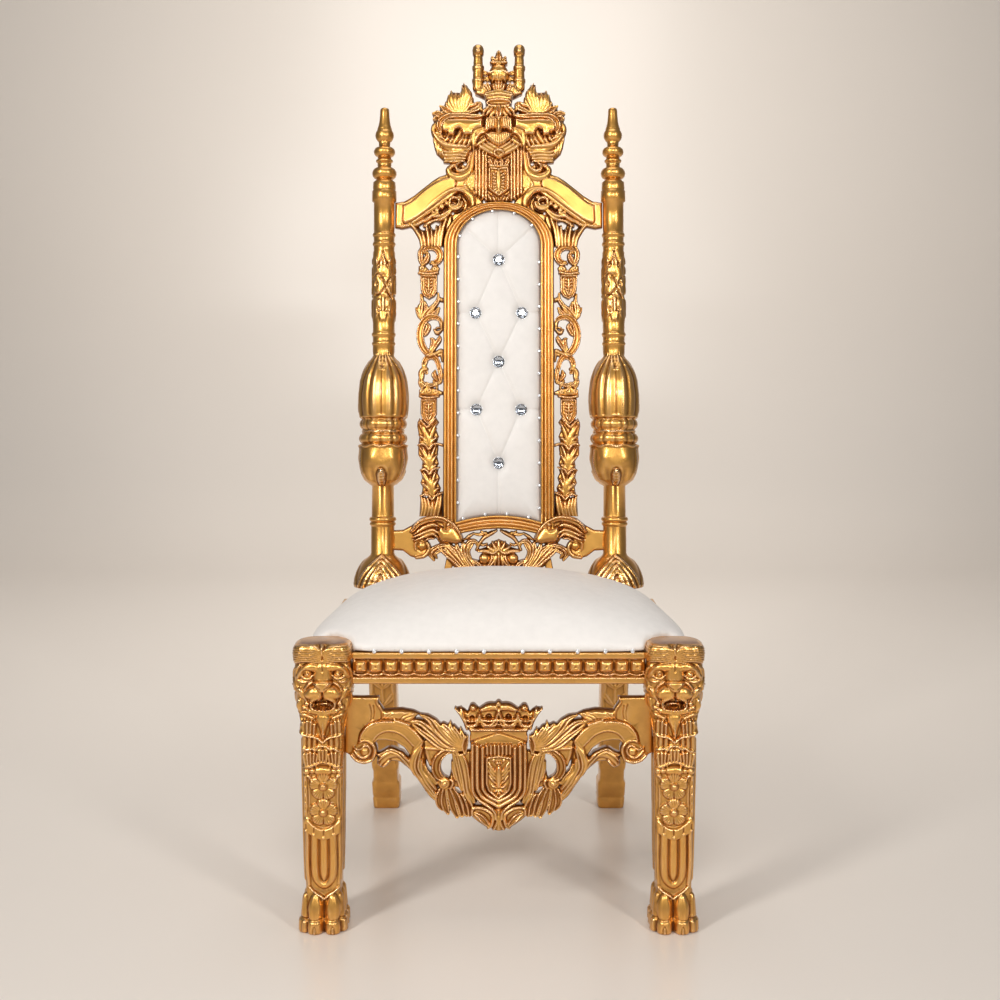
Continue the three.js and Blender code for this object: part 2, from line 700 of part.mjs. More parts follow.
function lowerRailSide() {
  const leafy = { back: 0, ridge: 12 };
  return [
    board([
      [223.3, 129], [205, 131], [167, 158], [146, 162], [116, 159], [84, 131], [76, 112], [78, 100],
      [133, 103],
      [149, 115], [172, 112], [158, 92], [156, 73], [175, 67], [192, 73], [211, 87], [223.3, 88],
    ], -12, 6),
    strand([[195, 124, 4], [165, 152, 5], [112, 150, 4]], leafy),
    fan([194, 110], 6, [[148, 66], [160, 62], [172, 48]], { back: 0, low: 6, high: 9, top: 12 }),
    volute([162, 92], [16, 5], 190, 240, 6, { back: 0, ridge: 13 }),
    strand([[141, 64, 5], [136, 84, 8], [104, 84, 9], [80, 36, 9]], { back: -12 }),
    strand([[112, 106, 5], [84, 72, 8], [66, 36, 9]], { back: -12 }),
    strand([[46, 94, 4], [64, 98, 7], [48, 36, 9]], { back: -12 }),
    strand([[42, 90, 4], [16, 130, 5]], { back: -12, ridge: 5 }),
    boss([31, 69], 12, { back: -12, top: 14 }),
  ];
}

function lowerBackRail() {
  return clearOfFrame(joined([
    ...bothSides(lowerRailSide()),
    fan([0, 72], 40, evenTips(7, 20, 160, 44), { back: -12, low: 3, high: 9, top: 12, notch: 0.86 }),
    strand([[-44, 88, 3], [0, 84, 5], [44, 88, 3]], { back: -12, ridge: 14 }),
    // The plain bar that carries the carving, out of sight behind the cushion.
    board(box([-112, 22], [112, 42]), -12, 6),
  ]));
}

// ---------------------------------------------------------------- seat cushion

// Half of the seat's plan, front to back: it stops behind the lion heads and in front of the posts.
const SEAT_PLAN = [
  [252, -304], [254, -242], [320, -242], [338, -226], [303, 130], [290, 142], [180, 142], [176, 186],
];

function seatCushion() {
  const plan = symmetric(SEAT_PLAN);
  const middle = -40;
  // [height, scale about the seat's middle] of the dome.
  const levels = [[RAIL_TOP + GAP, 0.99], [505, 1], [540, 0.94], [572, 0.74], [SEAT_CROWN, 0.36]];
  return loft(levels.map(([height, scale]) => plan.map(([x, y]) => [
    x * scale,
    height,
    -(middle + (y - middle) * scale),
  ])));
}

// ---------------------------------------------------------------- assembly

// Turns face coordinates upright: their z points to the front, which is -Y.
function upright(x, y, z, lean = 0) {
  const group = new THREE.Group();
  group.position.set(x, y, z);
  group.rotation.x = Math.PI / 2 - lean;
  return group;
}

const throne = new THREE.Group();
throne.name = 'throne';

const frame = upright(0, 0, 0);
frame.add(mesh('side_rail_left', mirrored(sideRail()), GOLD));
frame.add(mesh('side_rail_right', sideRail(), GOLD));
frame.add(mesh('rear_rail', rearRail(), GOLD));
frame.add(mesh('seat_cushion', seatCushion(), LEATHER));

const rail = upright(0, RAIL_FRONT_Y, 0);
rail.add(mesh('front_rail', frontRail(), GOLD));

const apron = upright(0, APRON_Y, 0);
apron.add(mesh('front_apron', frontApron(), GOLD));

const carvedLeg = frontLeg();
const carvedPost = rearPost();
[['left', -1], ['right', 1]].forEach(([side, sign]) => {
  const leg = upright(sign * LEG_X, LEG_Y, 0);
  leg.add(mesh(`front_leg_${side}`, carvedLeg, GOLD));
  const post = upright(sign * POST_X, 0, 0);
  post.add(mesh(`rear_post_${side}`, carvedPost, GOLD));
  throne.add(leg, post);
});

const back = upright(0, PIVOT_Y, PIVOT_Z, LEAN);
back.add(mesh('crest_rail', crestRail(), GOLD));
back.add(mesh('arch_frame', archFrame(), GOLD));
back.add(mesh('fretwork_left', mirrored(fretwork()), GOLD));
back.add(mesh('fretwork_right', fretwork(), GOLD));
back.add(mesh('lower_back_rail', lowerBackRail(), GOLD));
back.add(mesh('back_pad', backPad(), LEATHER));
back.add(mesh('back_panel', backPanel(), PANEL));
BUTTONS.forEach((place, i) => back.add(mesh(`crystal_button_${i + 1}`, crystalButton(place), CRYSTAL)));

throne.add(frame, rail, apron, back);

export default throne;
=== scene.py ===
"""A carved and gilded throne chair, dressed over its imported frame.

Lengths inside the carving classes are millimetres. A carving lies in the plane of its piece: x to
the right, y up the piece and z out towards the front. A Plane stands it up in the row's frame.
"""
import logging
import math
from dataclasses import dataclass
from enum import Enum
from typing import Callable, Sequence

import bpy
import numpy as np
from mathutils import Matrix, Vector


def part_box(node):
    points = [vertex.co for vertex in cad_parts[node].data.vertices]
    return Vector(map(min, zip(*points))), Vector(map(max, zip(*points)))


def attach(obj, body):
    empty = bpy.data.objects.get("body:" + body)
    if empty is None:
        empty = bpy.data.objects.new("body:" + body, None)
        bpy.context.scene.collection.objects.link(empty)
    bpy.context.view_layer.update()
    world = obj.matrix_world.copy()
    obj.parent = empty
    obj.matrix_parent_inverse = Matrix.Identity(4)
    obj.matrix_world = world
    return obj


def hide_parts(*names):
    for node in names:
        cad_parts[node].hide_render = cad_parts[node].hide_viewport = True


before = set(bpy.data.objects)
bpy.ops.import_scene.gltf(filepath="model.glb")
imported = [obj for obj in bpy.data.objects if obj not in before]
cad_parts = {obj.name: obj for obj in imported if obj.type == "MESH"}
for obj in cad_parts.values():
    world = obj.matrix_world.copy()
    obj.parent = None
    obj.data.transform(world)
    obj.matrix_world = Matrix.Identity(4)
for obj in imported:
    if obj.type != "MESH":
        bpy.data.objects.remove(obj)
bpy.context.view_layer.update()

log = logging.getLogger("throne")

MM = 0.001
FINEST = 40000  # faces that a carving may have before its mesh is thinned
SIDES = (("left", -1), ("right", 1))
Array = np.ndarray
Point = Sequence[float]
Socket = bpy.types.NodeSocket


def node_box(node: str) -> tuple[Array, Array]:
    """The lowest and highest corners of a frame node, in millimetres."""
    low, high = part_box(node)
    return np.array(low) / MM, np.array(high) / MM


# ------------------------------------------------------------------ planes and meshes


@dataclass(frozen=True)
class Plane:
    """A standing plane that a carving lies in.

    Args:
        x: Place of its middle, from the middle of the chair.
        y: Depth of its face.
        z: Height of its foot.
        lean: Backward slope, as a rise of depth over height.
    """

    x: float = 0.0
    y: float = 0.0
    z: float = 0.0
    lean: float = 0.0

    def place(self, points: Array) -> Array:
        """Stands carved points up in the row's frame.

        Args:
            points: Rows of x, y and z in the plane.

        Returns:
            Rows of x, y and z in the row's frame, in millimetres.
        """
        angle = math.atan(self.lean)
        sine, cosine = math.sin(angle), math.cos(angle)
        across, up, out = points.T
        return np.column_stack([
            self.x + across,
            self.y + up * sine - out * cosine,
            self.z + up * cosine + out * sine,
        ])


def make_mesh(name: str, points: Array, faces: list, finish: "Finish", hollows: Array | None = None,
              smooth: bool = True) -> bpy.types.Object:
    """Makes a mesh object.

    Args:
        name: The piece's name.
        points: Its corners in the row's frame, in millimetres.
        faces: Lists of corner numbers.
        finish: What it is finished in.
        hollows: How deep each corner lies in the carving, from -1 on a crest to 1 in a recess; the gilding
            paints shade and highlight by it.
        smooth: Whether its faces are shaded smooth.

    Returns:
        The new object.
    """
    data = bpy.data.meshes.new(name)
    data.from_pydata((np.asarray(points) * MM).tolist(), [], faces)
    data.polygons.foreach_set("use_smooth", [smooth] * len(data.polygons))
    if hollows is not None:
        data.attributes.new("hollow", "FLOAT", "POINT").data.foreach_set("value", hollows.ravel())
    data.materials.append(finish.material())
    data.update()
    piece = bpy.data.objects.new(name, data)
    bpy.context.collection.objects.link(piece)
    return piece


def applied(piece: bpy.types.Object, kind: str, **settings: object) -> None:
    """Gives a piece a modifier and applies it.

    Args:
        piece: The piece.
        kind: Which modifier.
        settings: Its settings by name.
    """
    with bpy.context.temp_override(object=piece, active_object=piece, selected_objects=[piece]):
        change = piece.modifiers.new(kind.lower(), kind)
        for name, value in settings.items():
            setattr(change, name, value)
        bpy.ops.object.modifier_apply(modifier=change.name)


def hand_in(piece: bpy.types.Object, slot: str, *nodes: str, keep: float = 0.46) -> None:
    """Rides a piece on the chair and hides the frame nodes it stands for.

    Args:
        piece: The piece.
        slot: Not used.
        nodes: The nodes that it stands for.
        keep: Share of its mesh that a very fine carving keeps.
    """
    if len(piece.data.polygons) > FINEST:
        applied(piece, "DECIMATE", ratio=keep)
    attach(piece, "root")
    if nodes:
        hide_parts(*nodes)
    log.info("%s: %d faces", piece.name, len(piece.data.polygons))


def band_faces(rows: int, columns: int, capped: bool = False) -> list:
    """Faces of a grid of corners whose rows run round a column.

    Args:
        rows: Rings of corners.
        columns: Corners in a ring.
        capped: Whether the first and the last ring are closed with a face.

    Returns:
        Lists of corners, wound so that they face out where rings run to the left seen from outside.
    """
    start = np.arange(rows - 1)[:, None] * columns
    here = np.arange(columns)[None, :]
    after = (here + 1) % columns
    corners = np.stack([start + here, start + after, start + columns + after, start + columns + here], -1)
    faces = corners.reshape(-1, 4).tolist()
    if capped:
        faces += [list(range(columns))[::-1], [(rows - 1) * columns + i for i in range(columns)]]
    return faces


def joined(name: str, parts: Sequence[tuple[Array, list]], finish: "Finish",
           smooth: bool = True) -> bpy.types.Object:
    """Makes one piece of several parts.

    Args:
        name: The piece's name.
        parts: Corners and faces of each part.
        finish: What it is finished in.
        smooth: Whether its faces are shaded smooth.

    Returns:
        The new object.
    """
    faces, offset = [], 0
    for corners, polygons in parts:
        faces += [[corner + offset for corner in polygon] for polygon in polygons]
        offset += len(corners)
    return make_mesh(name, np.vstack([corners for corners, _ in parts]), faces, finish, smooth=smooth)


# ------------------------------------------------------------------ carving


class Cut(Enum):
    """How a carved strand is rounded across, as heights at shares of its half width."""

    ROUND = ((0, 1), (0.3, 0.96), (0.6, 0.8), (0.8, 0.58), (1, 0.12))
    RIDGE = ((0, 1), (0.5, 0.62), (1, 0.1))
    VEIN = ((0, 0.5), (0.14, 0.62), (0.36, 1), (0.65, 0.86), (0.85, 0.6), (1, 0.1))
    HOLLOW = ((0, 0.3), (0.45, 0.42), (0.66, 0.86), (0.8, 1), (0.92, 0.74), (1, 0.2))
    FLAT = ((0, 1), (0.72, 0.98), (0.9, 0.82), (1, 0.4))
    BAND = ((0, 0.72), (0.42, 0.72), (0.52, 0.42), (0.62, 0.72), (0.74, 1), (0.88, 0.86), (1, 0.2))
    REED = ((0, 0.55), (0.1, 0.85), (0.24, 0.95), (0.34, 0.5), (0.46, 0.8), (0.6, 0.86), (0.7, 0.42),
        (0.82, 0.66), (0.92, 0.5), (1, 0.1))

    def height(self, share: Array) -> Array:
        """Height at shares of the half width."""
        places, heights = zip(*self.value)
        return np.interp(share, places, heights)


def eased(points: Sequence[Point], steps: int = 8) -> Array:
    """A smooth curve through points of any number of coordinates.

    Args:
        points: The points it passes through.
        steps: Stations between one point and the next.

    Returns:
        Rows of the same coordinates.
    """
    given = np.asarray(points, float)
    if len(given) < 3:
        share = np.linspace(0, 1, steps + 1)[:, None]
        return given[0] * (1 - share) + given[-1] * share
    ends = np.vstack([2 * given[0] - given[1], given, 2 * given[-1] - given[-2]])
    t = np.linspace(0, 1, steps, endpoint=False)[:, None]
    stretches = [
        0.5 * (2 * b + (c - a) * t + (2 * a - 5 * b + 4 * c - d) * t**2 + (3 * b - a - 3 * c + d) * t**3)
        for a, b, c, d in zip(ends[:-3], ends[1:-2], ends[2:-1], ends[3:])
    ]
    return np.vstack([*stretches, given[-1:]])


def polygon_distance(outline: Array, x: Array, y: Array) -> Array:
    """Distance from points to a closed outline, negative inside.

    Args:
        outline: Rows of the outline's corners.
        x: Places of the points.
        y: Their heights.

    Returns:
        The distances.
    """
    start, end = outline, np.roll(outline, -1, axis=0)
    run = end - start
    length = np.maximum((run**2).sum(1), 1e-9)
    ax, ay = x[..., None] - start[:, 0], y[..., None] - start[:, 1]
    share = np.clip((ax * run[:, 0] + ay * run[:, 1]) / length, 0, 1)
    near = np.hypot(ax - share * run[:, 0], ay - share * run[:, 1]).min(-1)
    above = (start[:, 1] > y[..., None]) != (end[:, 1] > y[..., None])
    rise = np.where(run[:, 1] == 0, 1e-9, run[:, 1])
    crossing = x[..., None] < run[:, 0] * ay / rise + start[:, 0]
    inside = (above & crossing).sum(-1) % 2 == 1
    return np.where(inside, -near, near)


def path_distance(path: Array, x: Array, y: Array) -> tuple[Array, Array]:
    """Distance from points to a path, by the place where they lie deepest in it.

    Args:
        path: Rows of x, y and half width.
        x: Places of the points.
        y: Their heights.

    Returns:
        The distances, and the path's half width at that place.
    """
    start, run = path[:-1], np.diff(path, axis=0)
    ax, ay = x[..., None] - start[:, 0], y[..., None] - start[:, 1]
    length = np.maximum((run[:, :2]**2).sum(1), 1e-9)
    share = np.clip((ax * run[:, 0] + ay * run[:, 1]) / length, 0, 1)
    away = np.hypot(ax - share * run[:, 0], ay - share * run[:, 1])
    half = start[:, 2] + share * run[:, 2]
    nearest = (away - half).argmin(-1)[..., None]
    return np.take_along_axis(away, nearest, -1)[..., 0], np.take_along_axis(half, nearest, -1)[..., 0]


def turn_about(centre: Point, radius: float, angle: float) -> tuple[float, float]:
    """The point at a radius and an angle in degrees about a centre."""
    turn = math.radians(angle)
    return centre[0] + radius * math.cos(turn), centre[1] + radius * math.sin(turn)


class Relief:
    """A carving kept as heights over a grid, with the distance to its pierced outline."""

    FAR = 60.0

    def __init__(self, xs: Array, ys: Array, solid: bool = False, ground: float = 0.0) -> None:
        """Starts an empty carving.

        Args:
            xs: Places of the grid's columns.
            ys: Places of its rows.
            solid: Whether the whole grid is material from the start.
            ground: Height that the carving starts from.
        """
        self.xs, self.ys = xs, ys
        self.x, self.y = np.meshgrid(xs, ys)
        self.edge = np.full(self.x.shape, -self.FAR if solid else self.FAR)
        self.z = np.full(self.x.shape, ground if solid else -self.FAR)

    def window(self, low: Point, high: Point) -> tuple[slice, slice]:
        """The part of the grid between two corners, with a margin.

        Args:
            low: The lower left corner.
            high: The upper right corner.

        Returns:
            The rows and the columns.
        """
        margin = 4.0
        columns = slice(*np.searchsorted(self.xs, (low[0] - margin, high[0] + margin)))
        rows = slice(*np.searchsorted(self.ys, (low[1] - margin, high[1] + margin)))
        return rows, columns

    def lay(self, place: tuple[slice, slice], distance: Array, height: Array) -> None:
        """Lays a shape over what is there and keeps the higher of the two.

        Args:
            place: The part of the grid that it covers.
            distance: How far each point lies from its outline.
            height: How high it is there.
        """
        self.edge[place] = np.minimum(self.edge[place], distance)
        self.z[place] = np.where(distance < 0, np.maximum(self.z[place], height), self.z[place])

    def strand(self, points: Sequence[Point], base: float = 0.0, rise: float = 6.0, cut: Cut = Cut.ROUND,
               swell: float = 0.5) -> None:
        """Carves a strand along a smooth curve.

        Args:
            points: Stations of x, y and half width.
            base: Height of the strand's edges.
            rise: How far its middle stands over them.
            cut: How it is rounded across.
            swell: Share of the rise that follows the strand's width.
        """
        path = eased(points)
        path[:, 2] = np.maximum(path[:, 2], 0.05)
        widest = path[:, 2].max()
        place = self.window(path[:, :2].min(0) - widest, path[:, :2].max(0) + widest)
        if not self.x[place].size:
            return
        away, half = path_distance(path, self.x[place], self.y[place])
        crown = cut.height(np.clip(away / half, 0, 1))
        self.lay(place, away - half, base + rise * crown * (1 - swell + swell * half / widest))

    def strands(self, base: float, rise: float, *lines: Sequence[Point], cut: Cut = Cut.ROUND,
                swell: float = 0.5) -> None:
        """Carves several strands alike.

        Args:
            base: Height of their edges.
            rise: How far their middles stand over them.
            lines: Stations of each.
            cut: How they are rounded across.
            swell: Share of the rise that follows their width.
        """
        for points in lines:
            self.strand(points, base, rise, cut, swell)

    def pair(self, points: Sequence[Point], base: float, rise: float, cut: Cut = Cut.ROUND) -> None:
        """Carves a strand and its mirror image about x = 0."""
        self.strands(base, rise, points, [(-x, y, half) for x, y, half in points], cut=cut)

    def pairs(self, base: float, rise: float, *lines: Sequence[Point], cut: Cut = Cut.ROUND) -> None:
        """Carves several strands and their mirror images."""
        for points in lines:
            self.pair(points, base, rise, cut)

    def leaf(self, root: Point, tip: Point, half: float, bend: float = 0.0, base: float = 0.0,
             rise: float = 6.0, cut: Cut = Cut.VEIN) -> None:
        """Carves a leaf from its root to a pointed tip.

        Args:
            root: Where it springs from.
            tip: Where it ends.
            half: Half width at its widest.
            bend: How far its middle bows out to the left of the way to the tip.
            base: Height of its edges.
            rise: How far it stands over them.
            cut: How it is rounded across.
        """
        (ax, ay), (bx, by) = root, tip
        run = math.hypot(bx - ax, by - ay)
        nx, ny = -(by - ay) / run, (bx - ax) / run
        stations = [(ax + (bx - ax) * s + nx * bend * b, ay + (by - ay) * s + ny * bend * b,
            half * w) for s, b, w in ((0, 0, 0.45), (0.3, 0.75, 0.85), (0.6, 1, 1), (0.85, 0.6, 0.6),
            (1, 0, 0.08))]
        self.strand(stations, base, rise, cut)

    def volute(self, centre: Point, radii: Point, start: float, sweep: float, halves: Point,
               base: float = 0.0, rise: float = 6.0, cut: Cut = Cut.HOLLOW, eye: float = 0.0) -> None:
        """Carves a scroll that winds in to an eye.

        Args:
            centre: Middle of the scroll.
            radii: Radius where it starts and where it ends.
            start: Angle where it starts, in degrees.
            sweep: Degrees that it winds through, counter-clockwise.
            halves: Half width where it starts and where it ends.
            base: Height of its edges.
            rise: How far it stands over them.
            cut: How it is rounded across.
            eye: Radius of the button at its middle.
        """
        stations = []
        for share in np.linspace(0, 1, max(3, int(abs(sweep) / 40))):
            radius = radii[0] + (radii[1] - radii[0]) * share
            half = halves[0] + (halves[1] - halves[0]) * share
            stations.append((*turn_about(centre, radius, start + sweep * share), half))
        self.strand(stations, base, rise, cut)
        if eye:
            self.button(centre, eye, base, rise * 1.2)

    def button(self, centre: Point, radius: float, base: float = 0.0, rise: float = 5.0,
               dimple: float = 0.0) -> None:
        """Carves a round button.

        Args:
            centre: Its middle.
            radius: Its radius.
            base: Height of its edge.
            rise: How far it stands over its edge.
            dimple: Depth of its dimple, as a share of the rise.
        """
        place = self.window((centre[0] - radius, centre[1] - radius), (centre[0] + radius,
            centre[1] + radius))
        away = np.hypot(self.x[place] - centre[0], self.y[place] - centre[1])
        share = np.clip(away / radius, 0, 1)
        crown = np.sqrt(1 - share**2 * 0.98) - dimple * np.exp(-(share / 0.35)**2)
        self.lay(place, away - radius, base + rise * crown)

    def measure(self, outline: Sequence[Point], rounded: bool = False) -> tuple[tuple[slice, slice], Array]:
        """Measures the grid against an outline.

        Args:
            outline: Its corners.
            rounded: Whether it is a smooth curve through its corners.

        Returns:
            The part of the grid that it covers, and the distances to it, negative inside.
        """
        corners = np.asarray(outline, float)
        if rounded:
            corners = eased([*outline, outline[0]], 6)[:-1]
        place = self.window(corners.min(0), corners.max(0))
        return place, polygon_distance(corners, self.x[place], self.y[place])

    def plate(self, outline: Sequence[Point], steps: Sequence[Point], rounded: bool = False) -> None:
        """Carves a plate whose height goes by the distance inside its outline.

        Args:
            outline: Its corners.
            steps: Heights at distances inside the outline, as (distance, height).
            rounded: Whether the outline is a smooth curve through its corners.
        """
        place, distance = self.measure(outline, rounded)
        self.lay(place, distance, np.interp(-distance, *zip(*steps)))

    def tool(self, outline: Sequence[Point], pattern: Callable[[Array, Array], Array],
             rounded: bool = False) -> None:
        """Adds a pattern of heights inside an outline.

        Args:
            outline: Its corners.
            pattern: Gives the height to add at places x and y.
            rounded: Whether the outline is a smooth curve through its corners.
        """
        place, distance = self.measure(outline, rounded)
        self.z[place] += np.clip(0.5 - distance, 0, 1) * pattern(self.x[place], self.y[place])

    def groove(self, points: Sequence[Point], width: float = 1.6, depth: float = 2.0) -> None:
        """Cuts a groove along a smooth curve.

        Args:
            points: Stations of x and y.
            width: Its half width.
            depth: Its depth.
        """
        path = eased([(x, y, width) for x, y in points])
        place = self.window(path[:, :2].min(0) - width, path[:, :2].max(0) + width)
        away, _ = path_distance(path, self.x[place], self.y[place])
        self.z[place] -= depth * np.clip(1 - away / width, 0, 1)

    def pierce(self, outline: Sequence[Point]) -> None:
        """Cuts a hole right through, with a smooth outline."""
        place, distance = self.measure(outline, True)
        self.edge[place] = np.maximum(self.edge[place], -distance)

    def sample(self, values: Array, x: Array, y: Array) -> Array:
        """Reads grid values at any places, between the grid's corners.

        Args:
            values: A value for each point of the grid.
            x: The places.
            y: Their heights.

        Returns:
            The values there.
        """
        across = np.interp(x, self.xs, np.arange(len(self.xs)))
        up = np.interp(y, self.ys, np.arange(len(self.ys)))
        i = np.minimum(across.astype(int), len(self.xs) - 2)
        j = np.minimum(up.astype(int), len(self.ys) - 2)
        s, t = across - i, up - j
        below = values[j, i] * (1 - s) + values[j, i + 1] * s
        above = values[j + 1, i] * (1 - s) + values[j + 1, i + 1] * s
        return below * (1 - t) + above * t

    def mirror(self) -> None:
        """Adds the mirror image on the left of a grid that starts at x = 0."""
        self.xs = np.concatenate([-self.xs[:0:-1], self.xs])
        self.edge = np.hstack([self.edge[:, :0:-1], self.edge])
        self.z = np.hstack([self.z[:, :0:-1], self.z])
        self.x, self.y = np.meshgrid(self.xs, self.ys)

    def settle(self) -> None:
        """Fills in the heights round the outline and takes the roughness off the cuts."""
        known = self.edge < 0
        height = np.where(known, self.z, 0.0)
        for _ in range(3):
            total, count = spread(height * known), spread(known.astype(float))
            fresh = ~known & (count > 0)
            height = np.where(fresh, total / np.maximum(count, 1e-9), height)
            known = known | fresh
        total, count = spread(height * known), spread(known.astype(float))
        self.z = np.where(known, total / np.maximum(count, 1e-9), height)

    def hollows(self, reach: int = 3) -> Array:
        """How deep each point lies, against the mean height round it; the gilding paints shade and highlight
        by it.

        Args:
            reach: How far round it, in steps of the grid.

        Returns:
            Depths from -1 on a crest to 1 in a recess.
        """
        weight = (self.edge < 0).astype(float)
        total, count = self.z * weight, weight
        for _ in range(reach):
            total, count = spread(total), spread(count)
        mean = total / np.maximum(count, 1e-6)
        # Corners next to the outline count as deeper, so shade is painted along the edges.
        return np.clip((mean - self.z) / 1.0 + 0.16 * (1 - np.clip(count, 0, 1)), -1, 1)

    def cast(self, name: str, plane: Plane, back: float, finish: "Finish",
             soften: float = 2.4) -> bpy.types.Object:
        """Makes the closed mesh of the carving.

        Args:
            name: The piece's name.
            plane: Where it stands.
            back: Height of its flat back.
            finish: What it is finished in.
            soften: Radius that its outline's edge is rounded to.

        Returns:
            The new object.
        """
        self.settle()
        pitch = float(np.median(np.diff(self.xs)))
        slope_y, slope_x = np.gradient(self.edge, self.ys, self.xs)
        steep = np.maximum(np.hypot(slope_x, slope_y), 0.5)
        out = np.clip(self.edge, 0, 1.3 * pitch)
        x = self.x - out * slope_x / steep
        y = self.y - out * slope_y / steep
        fall = soften * np.clip(1 + self.edge / soften, 0, 1)**2
        front = np.maximum(self.z - 0.6 * fall, back + 1)
        solid = self.edge < 0
        cell = solid[:-1, :-1] | solid[1:, :-1] | solid[:-1, 1:] | solid[1:, 1:]
        number = np.arange(self.x.size).reshape(self.x.shape)
        quads = np.stack([number[:-1, :-1], number[:-1, 1:], number[1:, 1:], number[1:, :-1]], -1)
        faces = quads[cell]
        count = self.x.size
        behind = faces[:, ::-1] + count
        padded = np.pad(cell, 1)
        walls = []
        for near, (i, j) in ((padded[:-2, 1:-1], (0, 1)), (padded[1:-1, 2:], (1, 2)),
                             (padded[2:, 1:-1], (2, 3)), (padded[1:-1, :-2], (3, 0))):
            rim = quads[cell & ~near]
            walls.append(np.stack([rim[:, j], rim[:, i], rim[:, i] + count, rim[:, j] + count], -1))
        everything = np.vstack([faces, behind, *walls])
        used, packed = np.unique(everything, return_inverse=True)
        flat = np.column_stack([x.ravel(), y.ravel()])
        points = np.vstack([
            np.column_stack([flat, front.ravel()]),
            np.column_stack([flat, np.full(count, back)]),
        ])[used]
        # Back corners get a fixed depth of 0.35, so shade is painted on the back and the walls.
        deep = np.concatenate([self.hollows().ravel(), np.full(count, 0.35)])[used]
        return make_mesh(name, plane.place(points), packed.reshape(-1, 4).tolist(), finish, deep)


def spread(values: Array) -> Array:
    """Spreads values over their neighbours.

    Args:
        values: A value for each point of a grid.

    Returns:
        Weighted means of each value with those round it.
    """
    padded = np.pad(values, 1, mode="edge")
    rows = 0.25 * padded[:-2] + 0.5 * padded[1:-1] + 0.25 * padded[2:]
    return 0.25 * rows[:, :-2] + 0.5 * rows[:, 1:-1] + 0.25 * rows[:, 2:]


def grid(low: float, high: float, step: float) -> Array:
    """Evenly spaced places between two limits."""
    return np.linspace(low, high, int(round((high - low) / step)) + 1)


# ------------------------------------------------------------------ finishes


class Nodes:
    """A small helper that lays out a material's nodes."""

    def __init__(self, name: str) -> None:
        """Starts a material with a principled shader.

        Args:
            name: The material's name.
        """
        self.made = bpy.data.materials.new(name)
        self.made.use_nodes = True
        self.tree = self.made.node_tree
        self.shader = self.tree.nodes["Principled BSDF"]
        self.places = self.add("ShaderNodeTexCoord").outputs["Object"]

    def add(self, kind: str, **values: object) -> bpy.types.Node:
        """Adds a node.

        Args:
            kind: Its type.
            values: Its inputs by name, each a value or a socket to link.

        Returns:
            The node.
        """
        node = self.tree.nodes.new(kind)
        for key, value in values.items():
            self.put(node.inputs[key.replace("_", " ")], value)
        return node

    def put(self, socket: Socket, value: object) -> None:
        """Links or sets one input.

        Args:
            socket: The input.
            value: A value, or an output to link.
        """
        if isinstance(value, Socket):
            self.tree.links.new(value, socket)
        else:
            socket.default_value = value

    def noise(self, scale: float, detail: float = 3.0) -> Socket:
        """A noise over the object.

        Args:
            scale: Its bumps to a metre.
            detail: How many finer layers it has.

        Returns:
            Its output.
        """
        return self.add("ShaderNodeTexNoise", Vector=self.places, Scale=scale, Detail=detail).outputs["Fac"]

    def ramp(self, factor: Socket, stops: Sequence[tuple[float, Point]]) -> Socket:
        """A colour ramp.

        Args:
            factor: What drives it.
            stops: Its places and colours.

        Returns:
            Its colour.
        """
        node = self.add("ShaderNodeValToRGB", Fac=factor)
        band = node.color_ramp
        while len(band.elements) < len(stops):
            band.elements.new(0.5)
        for element, (place, colour) in zip(band.elements, stops):
            element.position = place
            element.color = (*colour, 1.0)
        return node.outputs["Color"]

    def span(self, value: Socket, low: float, high: float, start: float = 0.0,
             end: float = 1.0) -> Socket:
        """Maps a value from low..high to start..end, clamped.

        Args:
            value: The value.
            low: Lower end of its range.
            high: Upper end of its range.
            start: What the lower end becomes.
            end: What the upper end becomes.

        Returns:
            The mapped value.
        """
        node = self.add("ShaderNodeMapRange")
        for place, number in enumerate((low, high, start, end), start=1):
            node.inputs[place].default_value = number
        self.put(node.inputs[0], value)
        return node.outputs[0]

    def sum(self, first: Socket, second: object, operation: str = "ADD") -> Socket:
        """Combines two values.

        Args:
            first: The first value.
            second: The second value or socket.
            operation: How they are combined.

        Returns:
            The result.
        """
        node = self.tree.nodes.new("ShaderNodeMath")
        node.operation = operation
        self.put(node.inputs[0], first)
        self.put(node.inputs[1], second)
        return node.outputs[0]

    def blend(self, factor: Socket, first: object, second: object) -> Socket:
        """Mixes two colours.

        Args:
            factor: Share of the second.
            first: The first colour or socket.
            second: The second colour or socket.

        Returns:
            The mixed colour.
        """
        node = self.tree.nodes.new("ShaderNodeMix")
        node.data_type = "RGBA"
        self.put(node.inputs[0], factor)
        self.put(node.inputs[6], first)
        self.put(node.inputs[7], second)
        return node.outputs[2]

    def bump(self, height: Socket, strength: float, distance: float) -> None:
        """Puts a bump on the shader's surface."""
        node = self.add("ShaderNodeBump", Height=height, Strength=strength, Distance=distance)
        self.put(self.shader.inputs["Normal"], node.outputs[0])

    def plain(self, **values: object) -> None:
        """Sets plain values on the shader."""
        for key, value in values.items():
            self.shader.inputs[key.replace("_", " ")].default_value = value


class Finish:
    """A finish that makes its material once."""

    made: dict = {}

    def material(self) -> bpy.types.Material:
        """The finish's material, made the first time it is asked for.

        Returns:
            The material, the same one each time.
        """
        if self not in Finish.made:
            Finish.made[self] = self.dress()
        return Finish.made[self]

    def dress(self) -> bpy.types.Material:
        """Builds the material."""
        raise NotImplementedError


